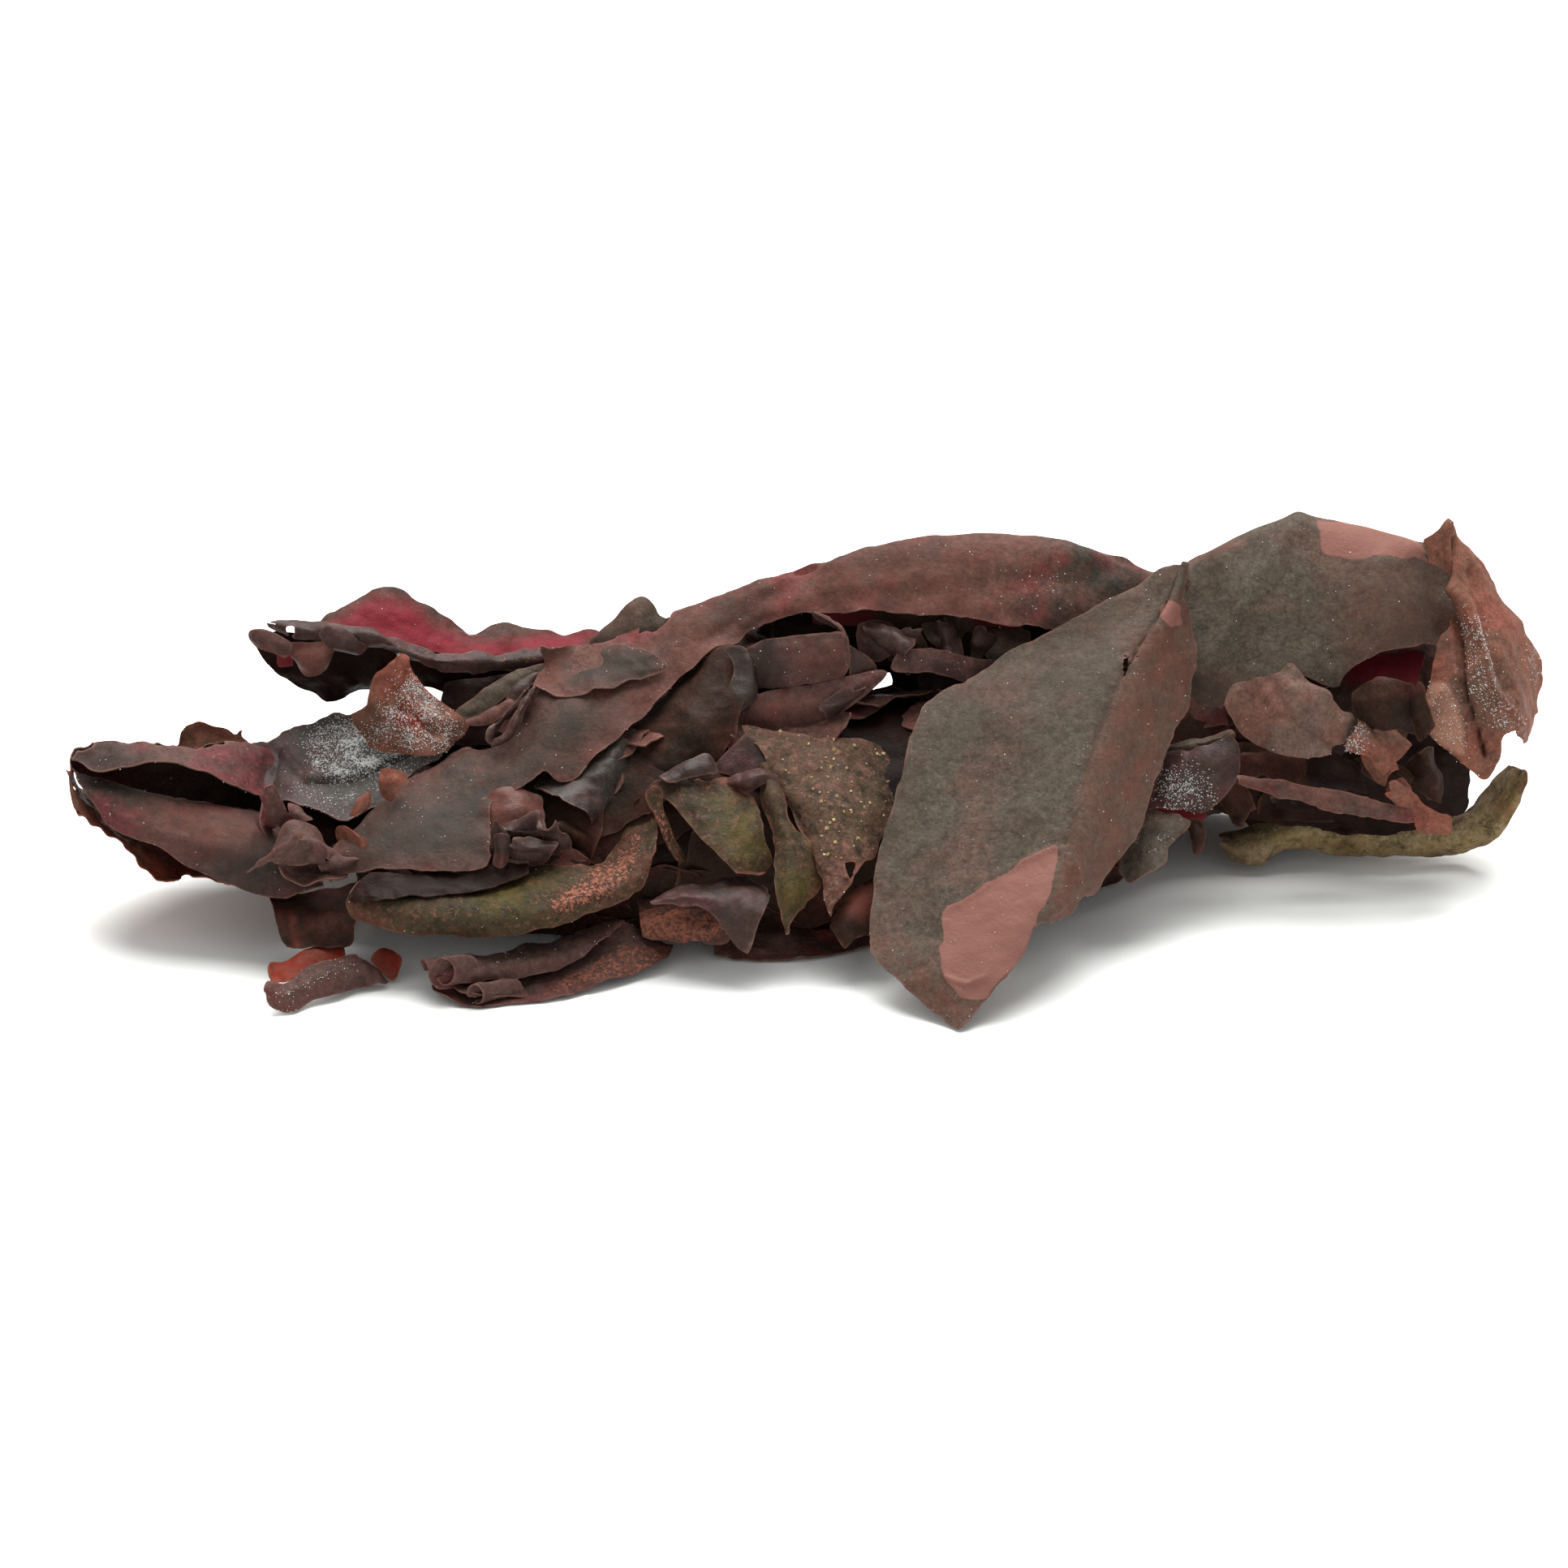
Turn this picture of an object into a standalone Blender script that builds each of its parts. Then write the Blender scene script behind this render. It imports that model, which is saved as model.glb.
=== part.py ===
"""A clump of dried dulse: thin wavy fronds lying on and in a tangle of smaller ones.

Each frond is a net of points, in millimetres, lofted to a smooth sheet and given a thickness. Most points
are (across, down, depth) as seen from the front, looking down at VIEW_TILT, because the clump is laid out
in that view; the fronds of the back and the underside are (across, depth, height) in space.
The origin is on the floor under the middle of the clump, +X along it and +Y away from the front.
"""

import math

import bpy
import bmesh
import numpy as np
from mathutils import noise
from mathutils import Vector

MM = 0.001
VIEW_TILT = math.radians(25.0)
FLOOR_DOWN = 112.9  # how far down the view the floor lies at depth 0
MIDDLE_ACROSS = 99.2
MIDDLE_DEPTH = 0.4

FROND_THICK = 0.8
CLEAR_GAP = 0.32  # between two fronds that touch
FRILL_HEIGHT = 0.45  # wave of a free edge
FRILL_LENGTH = 9.0
STEPS_ALONG = 2  # cells between two rows of a net
STEPS_ACROSS = 2
FLOOR_HEIGHT = 0.0
SOLVER = "MANIFOLD"
FROND_ROUGHNESS = 0.55

# The core of the tangle: a lumpy loaf with a flat underside.
CORE_RIBS = 15
CORE_SIDES = 18
CORE_LUMP = 1.6
CORE_LUMP_SIZE = 11.0
CORE_STATIONS = (
    # across, depth of the middle, half depth, height of the middle, half height
    (44.0, 2.0, 2.0, 8.0, 2.5),
    (52.0, 4.0, 9.0, 7.0, 8.0),
    (66.0, 7.0, 14.0, 7.0, 12.5),
    (84.0, 9.5, 16.5, 8.0, 15.0),
    (104.0, 10.5, 16.5, 8.0, 14.5),
    (126.0, 12.5, 16.0, 9.0, 15.0),
    (138.0, 17.0, 12.5, 11.0, 14.5),
    (148.0, 20.5, 9.5, 12.0, 13.0),
    (162.0, 22.0, 8.5, 13.0, 11.0),
    (172.0, 22.5, 5.0, 15.0, 6.0),
    (176.0, 22.5, 1.5, 16.0, 2.0),
)

# Fronds that show as pieces of their own, the uppermost first: a later one makes way for an earlier one.
SEEN_FRONDS = {
    "front_blade": [
        [(142.5, 70.3, 17.0), (143.5, 69.8, 16.0), (146.0, 69.0, 15.5), (146.3, 70.5, 17.0), (146.2, 72.5, 18.0)],
        [(134.0, 75.3, 12.5), (138.0, 76.5, 11.0), (143.0, 76.5, 9.5), (145.0, 77.2, 11.5), (147.0, 78.2, 14.0)],
        [(124.0, 81.5, 8.0), (131.0, 82.0, 6.0), (139.5, 82.0, 4.0), (143.5, 83.0, 6.5), (147.2, 84.0, 10.0)],
        [(114.0, 86.8, 3.0), (124.5, 88.5, 0.0), (136.5, 89.5, -2.5), (141.0, 90.0, 0.5), (144.8, 90.8, 4.0)],
        [(111.0, 95.0, -4.5), (122.5, 97.0, -7.0), (133.7, 97.0, -9.5), (138.3, 98.0, -6.0), (142.3, 97.5, -2.0)],
        [(108.6, 105.0, -12.0), (120.5, 106.0, -15.0), (131.2, 105.0, -16.5), (135.5, 105.5, -13.0),
         (138.5, 105.5, -9.0)],
        [(107.3, 114.0, -20.0), (117.5, 114.5, -22.5), (128.3, 112.0, -23.0), (130.5, 112.3, -20.5),
         (132.3, 112.2, -17.0)],
        [(110.0, 120.0, -26.0), (117.5, 120.3, -28.0), (125.5, 118.3, -27.5), (126.2, 118.0, -26.0),
         (126.8, 117.0, -24.5)],
        [(116.5, 125.8, -31.3), (117.8, 126.3, -32.3), (118.5, 126.8, -33.0), (119.0, 126.5, -32.3),
         (120.2, 125.4, -30.0)],
    ],
    "end_blade": [
        [(176.0, 66.0, 24.0), (177.3, 65.0, 23.5), (178.5, 64.2, 23.0), (179.3, 64.8, 23.5), (180.0, 66.0, 24.5)],
        [(177.5, 70.5, 21.0), (178.3, 70.5, 20.5), (179.2, 70.5, 19.5), (181.0, 70.0, 21.5), (182.8, 70.2, 24.0)],
        [(178.3, 76.0, 17.5), (179.4, 75.8, 17.0), (181.0, 75.5, 16.0), (183.8, 75.0, 19.0), (186.2, 75.2, 23.0)],
        [(176.8, 80.5, 14.0), (179.5, 80.5, 13.5), (182.6, 80.5, 12.5), (186.0, 80.0, 16.0), (189.5, 80.5, 22.0)],
        [(176.0, 85.5, 11.0), (179.5, 85.5, 10.0), (183.6, 85.5, 9.0), (186.5, 85.3, 13.0), (189.2, 85.5, 19.0)],
        [(175.2, 89.5, 9.0), (179.5, 90.0, 7.5), (184.5, 90.0, 7.0), (187.0, 89.7, 10.5), (188.6, 90.0, 15.0)],
        [(179.0, 92.8, 6.5), (181.0, 94.0, 5.5), (183.2, 94.8, 5.5), (186.0, 92.5, 8.5), (187.6, 91.6, 11.5)],
    ],
    "arch_blade": [
        [(143.0, 75.0, 29.0), (143.0, 71.0, 22.0), (144.0, 76.0, 18.0), (145.0, 81.0, 14.5), (146.0, 85.0, 13.0)],
        [(150.0, 69.5, 31.0), (150.0, 67.3, 25.0), (150.0, 73.0, 19.5), (150.0, 80.0, 15.0), (150.0, 86.3, 12.0)],
        [(156.0, 68.0, 32.0), (156.0, 64.5, 26.5), (156.0, 70.0, 20.5), (156.0, 77.5, 15.5), (154.5, 83.0, 12.0)],
        [(161.0, 67.5, 32.5), (161.0, 63.6, 27.0), (161.0, 69.0, 21.0), (161.0, 77.0, 16.0), (160.0, 82.0, 13.0)],
        [(167.0, 68.5, 32.5), (167.0, 65.0, 27.0), (167.0, 70.0, 21.0), (167.0, 77.0, 16.0), (165.0, 83.5, 13.0)],
        [(172.0, 70.0, 31.5), (172.0, 66.3, 26.5), (172.0, 71.0, 21.0), (172.0, 76.0, 17.0), (170.0, 80.8, 14.0)],
        [(178.8, 71.5, 30.0), (178.6, 68.5, 27.0), (178.8, 72.5, 24.5), (178.8, 76.0, 21.5), (178.0, 79.0, 18.5)],
    ],
    "ridge_blade": [
        [(42.5, 104.5, -5.0), (42.0, 103.5, -8.0), (41.8, 105.5, -11.5), (42.0, 107.8, -13.0)],
        [(50.5, 98.5, 3.0), (50.0, 96.5, -1.0), (50.0, 102.0, -9.5), (50.0, 107.3, -15.0)],
        [(57.5, 93.5, 9.0), (57.0, 92.0, 4.0), (57.5, 100.0, -7.5), (58.5, 107.3, -15.0)],
        [(64.5, 90.0, 13.0), (64.0, 88.5, 8.0), (63.5, 94.0, -1.0), (63.0, 99.5, -7.0)],
        [(67.5, 84.0, 19.0), (67.0, 81.5, 14.0), (68.5, 88.5, 3.5), (70.0, 95.5, -3.0)],
        [(74.0, 81.0, 22.5), (74.0, 78.0, 17.0), (75.8, 84.0, 8.0), (77.5, 90.0, 2.0)],
        [(81.5, 79.0, 24.0), (81.5, 76.0, 18.0), (83.0, 79.5, 12.5), (84.5, 83.0, 9.0)],
        [(91.0, 75.5, 26.0), (91.0, 72.5, 19.5), (91.5, 75.0, 15.5), (92.0, 77.8, 13.5)],
        [(100.0, 73.0, 28.0), (100.0, 69.7, 20.0), (99.5, 72.5, 16.0), (99.0, 75.7, 14.0)],
        [(108.0, 70.3, 30.0), (108.0, 66.8, 21.0), (108.0, 71.0, 15.5), (108.0, 75.4, 12.5)],
        [(117.0, 69.3, 30.5), (117.0, 65.7, 21.0), (116.5, 70.5, 15.0), (116.0, 75.7, 12.0)],
        [(126.0, 69.5, 30.5), (126.0, 66.0, 20.5), (125.0, 71.5, 14.5), (124.0, 77.0, 11.5)],
        [(134.0, 71.0, 29.5), (134.0, 67.5, 19.8), (132.5, 73.0, 15.0), (131.0, 78.0, 12.5)],
        [(142.0, 75.5, 25.5), (142.0, 70.7, 19.8), (140.5, 75.0, 16.0), (139.0, 79.0, 13.5)],
    ],
    "left_scoop": [
        [(9.5, 93.5, 0.0), (8.4, 92.6, 2.0), (8.3, 93.5, 3.5), (8.5, 94.6, 1.0), (8.8, 95.4, -1.0),
         (9.0, 96.0, -2.0)],
        [(12.3, 94.2, -2.0), (12.0, 91.3, 3.0), (12.0, 94.5, 5.5), (12.3, 95.9, -0.5), (12.0, 98.5, -5.0),
         (11.8, 100.8, -6.0)],
        [(18.5, 93.5, -3.0), (18.0, 91.6, 4.0), (18.0, 96.3, 7.0), (18.0, 97.2, -2.5), (17.5, 101.5, -8.5),
         (17.5, 104.5, -9.5)],
        [(25.0, 95.0, -3.5), (24.5, 91.8, 5.0), (25.0, 97.3, 8.0), (25.0, 98.0, -3.5), (24.0, 103.5, -10.5),
         (24.0, 107.5, -11.0)],
        [(31.5, 96.5, -1.0), (31.0, 91.8, 7.5), (31.5, 98.0, 9.5), (32.0, 99.5, -3.0), (32.0, 105.0, -11.0),
         (32.0, 110.0, -13.0)],
        [(37.0, 98.5, 4.0), (37.0, 94.0, 11.0), (37.0, 99.5, 12.0), (37.0, 101.5, 1.0), (38.0, 105.5, -8.5),
         (38.5, 108.5, -12.0)],
    ],
    "red_tip_flake": [
        [(49.0, 80.8, 8.3), (49.4, 80.6, 8.0), (49.9, 81.0, 8.3)],
        [(46.8, 82.8, 7.5), (49.3, 83.2, 6.5), (52.0, 83.9, 8.0)],
        [(45.5, 86.0, 7.0), (49.5, 86.5, 5.0), (54.3, 86.5, 7.5)],
        [(44.5, 88.3, 7.0), (50.0, 89.0, 3.5), (57.0, 89.5, 7.0)],
        [(46.0, 91.5, 5.0), (51.0, 92.0, 2.0), (54.8, 92.8, 4.5)],
    ],
    "upper_left_blade": [
        [(32.2, 75.8, 20.0), (32.5, 77.0, 18.5), (31.3, 77.5, 16.0), (30.8, 78.2, 15.5), (30.6, 78.8, 16.0)],
        [(36.5, 76.6, 21.0), (36.5, 78.5, 18.0), (34.5, 78.5, 14.0), (34.0, 80.5, 13.5), (34.3, 82.2, 15.0)],
        [(41.0, 75.0, 22.0), (41.0, 78.5, 17.5), (39.5, 77.2, 13.0), (39.5, 82.0, 12.0), (40.3, 86.3, 15.0)],
        [(46.5, 73.0, 23.0), (47.0, 79.0, 17.0), (46.5, 77.8, 11.5), (46.0, 81.5, 11.0), (46.0, 85.0, 14.5)],
        [(51.5, 73.4, 23.0), (52.5, 80.5, 16.0), (52.5, 80.3, 11.0), (52.0, 83.0, 11.0), (53.0, 84.5, 14.5)],
        [(57.5, 77.6, 21.0), (58.5, 80.8, 16.0), (59.0, 80.6, 11.0), (58.0, 82.7, 11.0), (57.5, 86.5, 14.5)],
        [(66.0, 77.7, 22.0), (66.0, 80.5, 18.0), (66.0, 80.2, 14.5), (65.0, 82.0, 13.5), (64.0, 85.5, 15.0)],
        [(71.5, 77.0, 22.5), (72.0, 79.5, 21.0), (72.0, 79.8, 20.0), (71.5, 81.0, 19.0), (71.0, 82.0, 18.5)],
    ],
    "salted_blade": [
        [(31.5, 91.3, 9.0), (32.0, 93.5, 6.0), (32.3, 96.0, 1.5), (33.0, 98.5, -2.0)],
        [(37.5, 89.3, 11.0), (37.5, 93.0, 5.5), (37.5, 96.0, 0.0), (38.0, 99.2, -4.0)],
        [(44.0, 87.7, 13.0), (44.0, 91.5, 7.0), (43.8, 96.0, 1.0), (43.5, 100.3, -4.5)],
        [(50.0, 88.5, 12.0), (50.0, 91.5, 7.5), (49.5, 94.2, 3.0), (49.5, 97.2, -1.0)],
        [(56.0, 89.0, 12.0), (56.0, 90.5, 9.0), (56.0, 92.0, 6.5), (56.0, 93.3, 4.5)],
    ],
    "bottom_roll": [
        [(53.5, 120.5, -23.0), (53.0, 118.2, -20.0), (54.0, 119.0, -16.5), (53.5, 121.0, -19.5),
         (54.0, 121.8, -22.0)],
        [(61.0, 121.0, -25.0), (60.0, 117.3, -19.0), (60.0, 117.5, -12.5), (60.5, 120.5, -18.3),
         (61.0, 124.3, -27.0)],
        [(69.0, 119.3, -23.5), (68.0, 116.4, -16.5), (68.0, 117.5, -12.0), (69.0, 119.5, -15.8),
         (69.5, 122.2, -22.1)],
        [(75.5, 116.5, -20.0), (75.0, 113.9, -14.5), (75.0, 115.5, -9.0), (76.0, 117.3, -11.0),
         (76.5, 120.3, -17.6)],
        [(81.5, 116.0, -17.5), (82.0, 115.6, -14.5), (82.0, 116.0, -11.0), (82.3, 117.0, -11.5),
         (82.8, 117.8, -12.5)],
    ],
    "bottom_curl": [
        [(33.5, 124.5, -27.5), (32.8, 121.5, -26.0), (34.0, 118.3, -22.5), (34.5, 118.8, -19.5),
         (34.5, 121.0, -20.0)],
        [(38.5, 123.2, -24.9), (39.0, 120.5, -25.0), (40.0, 117.0, -21.5), (40.5, 117.2, -18.5),
         (40.5, 119.0, -15.5)],
        [(44.5, 121.7, -21.0), (45.0, 120.0, -22.0), (45.5, 118.2, -19.5), (45.5, 118.5, -17.5),
         (45.0, 119.5, -15.8)],
        [(48.0, 121.3, -20.5), (48.2, 120.8, -20.5), (48.4, 120.3, -19.5), (48.3, 120.2, -18.5),
         (48.0, 120.3, -18.0)],
    ],
    "olive_tongue": [
        [(43.0, 109.5, -16.0), (42.7, 110.5, -17.5), (42.7, 111.5, -18.0), (43.3, 112.7, -18.0)],
        [(50.0, 108.6, -13.5), (50.0, 110.3, -18.0), (50.0, 113.0, -20.5), (50.0, 115.0, -20.0)],
        [(59.0, 108.6, -12.0), (59.0, 110.5, -18.0), (59.5, 113.5, -21.0), (60.0, 115.6, -20.5)],
        [(67.0, 107.0, -12.0), (67.5, 109.5, -17.0), (67.5, 112.3, -20.0), (68.0, 114.5, -19.5)],
        [(74.5, 106.0, -9.0), (75.0, 108.0, -14.0), (74.5, 110.5, -17.5), (74.0, 112.3, -17.5)],
        [(78.0, 101.5, -5.0), (78.7, 104.0, -9.0), (79.0, 107.0, -13.0), (78.8, 109.5, -14.5)],
        [(79.7, 98.3, -2.0), (80.2, 100.5, -5.0), (80.6, 103.0, -9.0), (80.5, 105.0, -11.0)],
    ],
    "olive_flap": [
        [(79.5, 97.0, -4.0), (83.0, 96.0, -3.5), (88.0, 96.0, -2.0)],
        [(80.5, 100.0, -7.0), (86.0, 99.5, -8.0), (92.5, 98.0, -4.0)],
        [(83.0, 104.5, -10.5), (88.5, 103.8, -12.0), (94.8, 102.0, -8.0)],
        [(83.0, 108.0, -13.0), (90.0, 107.3, -14.5), (95.0, 107.0, -11.0)],
    ],
    "olive_strip": [
        [(93.8, 95.0, -1.0), (94.2, 94.3, -2.0), (94.8, 94.2, -1.0)],
        [(94.5, 98.5, -5.0), (95.3, 98.3, -6.5), (96.8, 98.2, -5.0)],
        [(95.5, 103.5, -10.0), (97.0, 103.3, -11.5), (98.7, 103.0, -9.0)],
        [(95.7, 108.5, -15.0), (98.0, 108.5, -16.0), (101.0, 108.5, -13.0)],
        [(96.3, 112.5, -18.0), (97.5, 112.5, -18.5), (98.8, 112.0, -17.0)],
        [(96.9, 115.2, -20.0), (97.1, 115.1, -20.2), (97.4, 114.8, -19.8)],
    ],
    "olive_triangle": [
        [(91.8, 89.4, 4.0), (101.0, 90.2, 3.0), (112.0, 93.0, 5.0)],
        [(94.5, 94.0, -1.0), (103.0, 95.0, -2.0), (112.0, 97.5, 0.5)],
        [(97.5, 100.0, -6.5), (103.5, 100.5, -8.0), (110.5, 102.0, -5.5)],
        [(100.3, 106.5, -12.5), (103.8, 106.5, -13.0), (108.0, 107.0, -11.0)],
        [(102.1, 112.3, -17.5), (102.8, 111.5, -17.0), (103.7, 110.5, -16.0)],
    ],
    "hanging_curl": [
        [(84.0, 83.5, 12.0), (87.5, 80.8, 11.0), (91.5, 79.6, 11.0)],
        [(80.5, 87.5, 8.0), (86.0, 85.5, 6.0), (92.7, 83.5, 8.0)],
        [(77.5, 91.0, 4.0), (84.5, 90.0, 1.5), (91.3, 87.5, 4.0)],
        [(77.0, 94.0, 2.0), (83.0, 94.0, -1.0), (90.0, 91.5, 1.5)],
        [(78.5, 96.5, 1.0), (83.0, 96.8, -1.5), (87.5, 94.5, 0.0)],
    ],
    "hood_curl": [
        [(92.5, 79.5, 13.5), (92.5, 80.5, 11.5), (92.5, 83.0, 10.5), (92.5, 85.5, 10.5)],
        [(97.0, 77.0, 13.5), (97.0, 79.0, 10.5), (97.0, 82.5, 8.5), (97.0, 84.6, 8.5)],
        [(101.5, 76.5, 12.5), (102.0, 78.5, 9.5), (102.0, 81.5, 7.5), (102.0, 83.6, 7.8)],
        [(104.5, 78.5, 12.0), (105.2, 79.5, 9.5), (105.2, 81.5, 8.5), (104.8, 83.2, 9.0)],
    ],
    "long_band": [
        [(91.5, 86.3, 8.0), (91.5, 88.0, 6.5), (91.5, 89.5, 6.0)],
        [(98.0, 85.4, 7.3), (98.5, 87.6, 5.5), (98.5, 89.8, 5.0)],
        [(104.0, 84.0, 8.0), (104.0, 85.7, 6.5), (104.0, 87.2, 6.0)],
        [(108.0, 82.0, 9.0), (108.5, 83.0, 8.0), (108.8, 83.8, 7.5)],
        [(112.5, 79.9, 10.0), (112.5, 81.0, 9.2), (112.5, 82.6, 8.5)],
        [(118.0, 80.5, 11.0), (118.0, 82.0, 10.5), (118.0, 83.8, 10.0)],
        [(124.0, 82.0, 13.0), (124.0, 83.5, 12.5), (124.0, 85.0, 12.0)],
    ],
    "right_flap": [
        [(152.0, 85.0, 6.5), (152.3, 88.0, 4.5), (153.5, 91.3, 3.0)],
        [(156.5, 83.0, 6.0), (157.5, 87.5, 3.0), (157.5, 92.8, 1.5)],
        [(161.0, 83.3, 6.5), (161.8, 87.5, 3.5), (161.5, 93.2, 2.0)],
        [(165.0, 86.8, 7.0), (165.3, 88.8, 5.0), (164.2, 92.3, 3.5)],
        [(167.2, 88.3, 8.0), (167.0, 89.0, 7.5), (166.5, 90.0, 7.0)],
    ],
    "twisted_strip": [
        [(149.0, 94.3, 3.5), (149.0, 95.7, 3.0), (149.2, 97.2, 2.5)],
        [(157.0, 95.3, 1.0), (157.0, 96.5, 0.0), (157.0, 97.6, 0.5)],
        [(163.0, 96.3, 1.0), (163.0, 97.8, 0.0), (163.0, 99.0, 0.5)],
        [(169.0, 97.2, 1.5), (169.0, 99.0, 0.5), (168.5, 100.3, 1.0)],
        [(174.8, 100.0, 3.0), (175.0, 100.4, 2.8), (175.0, 101.0, 3.0)],
    ],
    "base_frond": [
        [(150.0, 100.5, 26.0), (150.5, 103.6, 18.0), (150.0, 104.3, 17.5), (150.0, 105.0, 18.0)],
        [(155.0, 99.5, 26.0), (155.0, 103.2, 17.0), (154.7, 105.0, 14.5), (154.5, 106.9, 14.0)],
        [(160.0, 98.5, 27.0), (160.0, 101.2, 18.0), (159.0, 103.0, 15.5), (158.5, 104.3, 16.5)],
        [(167.0, 98.5, 27.0), (167.0, 101.9, 17.5), (166.5, 104.0, 15.5), (166.5, 105.5, 16.8)],
        [(174.0, 98.5, 26.0), (174.0, 101.4, 17.5), (174.0, 103.8, 15.2), (174.0, 105.5, 16.8)],
        [(179.5, 97.5, 25.0), (180.0, 101.3, 17.0), (180.0, 103.8, 15.0), (180.0, 105.5, 16.8)],
        [(184.0, 95.5, 24.0), (184.0, 98.5, 17.0), (185.0, 100.5, 14.0), (185.3, 102.5, 14.5)],
        [(187.0, 93.0, 22.0), (187.3, 94.0, 18.0), (188.2, 94.8, 15.0), (188.6, 96.2, 14.0)],
    ],
    "right_grey_frond": [
        [(152.8, 88.5, 8.0), (153.0, 92.0, 4.8), (150.5, 99.8, 0.5)],
        [(147.5, 89.5, 7.5), (147.5, 94.0, 3.0), (146.0, 99.9, -0.5)],
        [(143.2, 91.0, 8.0), (142.8, 95.0, 4.0), (141.0, 99.4, 1.0)],
    ],
    "right_flake_upper": [
        [(167.8, 88.3, 8.0), (168.5, 88.4, 7.5), (170.2, 88.8, 11.0)],
        [(166.6, 91.5, 5.0), (169.3, 92.0, 4.0), (172.4, 91.5, 7.5)],
        [(168.6, 94.3, 3.2), (170.5, 94.6, 2.8), (174.0, 93.9, 5.5)],
        [(170.9, 96.6, 2.0), (171.3, 96.7, 2.0), (172.0, 96.4, 3.0)],
    ],
    "right_flake_lower": [
        [(171.0, 95.8, 6.0), (172.5, 95.0, 6.5), (174.5, 94.0, 9.0)],
        [(173.2, 98.8, 2.8), (174.8, 98.3, 2.5), (176.7, 98.3, 5.0)],
        [(174.8, 102.1, 1.0), (177.0, 102.1, 1.0), (179.0, 101.5, 2.5)],
    ],
    "inner_crimson": [
        [(163.0, 82.0, 19.5), (164.0, 86.0, 15.0), (165.5, 92.0, 9.0)],
        [(169.5, 80.5, 20.0), (170.0, 84.5, 15.5), (170.0, 91.0, 10.5)],
        [(175.5, 80.0, 20.0), (174.5, 84.5, 15.5), (173.5, 92.5, 10.0)],
    ],
    "pleats": [
        [(56.0, 82.8, 10.5), (56.0, 84.5, 9.5), (56.0, 86.6, 10.0), (56.5, 88.6, 7.5), (57.0, 90.5, 8.5)],
        [(61.0, 82.3, 10.0), (61.0, 84.0, 9.0), (61.0, 86.0, 9.5), (61.0, 88.0, 7.0), (61.0, 89.8, 8.0)],
        [(66.5, 81.8, 12.5), (66.5, 83.0, 11.5), (66.0, 84.6, 12.0), (65.5, 86.2, 9.5), (65.0, 88.0, 9.5)],
    ],
    "knot": [
        [(31.8, 98.6, -6.5), (32.3, 101.0, -10.5), (31.0, 104.0, -11.5), (30.6, 107.6, -13.0)],
        [(35.5, 101.5, -8.0), (36.0, 101.0, -13.0), (35.0, 105.0, -15.5), (33.5, 107.3, -14.5)],
        [(39.0, 102.0, -8.5), (39.0, 101.2, -12.5), (38.5, 104.5, -15.0), (38.0, 107.0, -14.5)],
        [(42.3, 104.5, -11.0), (42.5, 104.8, -13.0), (42.3, 106.0, -14.5), (42.0, 107.5, -14.8)],
    ],
    "square_piece": [
        [(33.0, 110.7, -10.0), (34.0, 114.0, -15.5), (35.2, 116.8, -18.0)],
        [(38.0, 110.5, -10.5), (38.5, 113.5, -16.0), (38.8, 116.8, -18.5)],
        [(46.0, 109.5, -9.0), (44.5, 112.5, -14.5), (43.0, 116.2, -17.5)],
        [(56.0, 109.0, -5.0), (54.0, 111.0, -9.0), (51.0, 114.0, -12.0)],
    ],
    "dark_roll": [
        [(66.0, 95.8, -1.0), (66.5, 97.0, -5.0), (66.5, 98.2, -3.0)],
        [(71.0, 94.0, 2.0), (72.0, 96.5, -5.0), (71.5, 100.2, -3.0)],
        [(77.0, 91.5, 5.5), (77.0, 95.0, -1.0), (76.5, 99.0, -1.0)],
    ],
    "ruffle": [
        [(60.0, 101.0, -8.0), (60.3, 103.0, -11.0), (60.5, 106.0, -11.5)],
        [(65.5, 98.5, -7.0), (65.5, 102.0, -12.0), (65.0, 106.3, -12.5)],
        [(72.5, 102.0, -6.0), (71.5, 104.0, -9.0), (70.5, 105.5, -10.5)],
    ],
    "grey_bottom_flap": [
        [(80.0, 110.3, -14.0), (80.0, 111.0, -16.0), (80.0, 112.0, -16.5)],
        [(86.0, 108.9, -12.0), (86.5, 110.0, -17.0), (86.5, 111.6, -18.5)],
        [(91.0, 108.7, -11.5), (91.0, 111.0, -17.5), (90.5, 116.0, -20.5)],
        [(94.8, 109.5, -12.0), (94.5, 111.5, -17.0), (92.3, 117.8, -21.5)],
    ],
    "crusted_fold": [
        [(78.5, 111.0, -8.0), (79.0, 113.0, -12.0), (79.0, 115.5, -13.5)],
        [(84.0, 110.0, -6.0), (84.0, 113.0, -13.0), (84.0, 116.4, -15.5)],
        [(90.0, 110.0, -5.0), (90.0, 113.0, -12.0), (90.0, 116.5, -14.5)],
    ],
    "red_corner": [
        [(108.0, 107.5, -7.0), (108.5, 111.0, -12.5), (108.5, 115.5, -16.0)],
        [(104.8, 110.5, -13.0), (105.0, 112.5, -16.0), (105.5, 115.5, -18.0)],
        [(102.6, 114.0, -15.0), (102.8, 115.0, -18.0), (104.0, 117.5, -20.0)],
    ],
}

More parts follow.
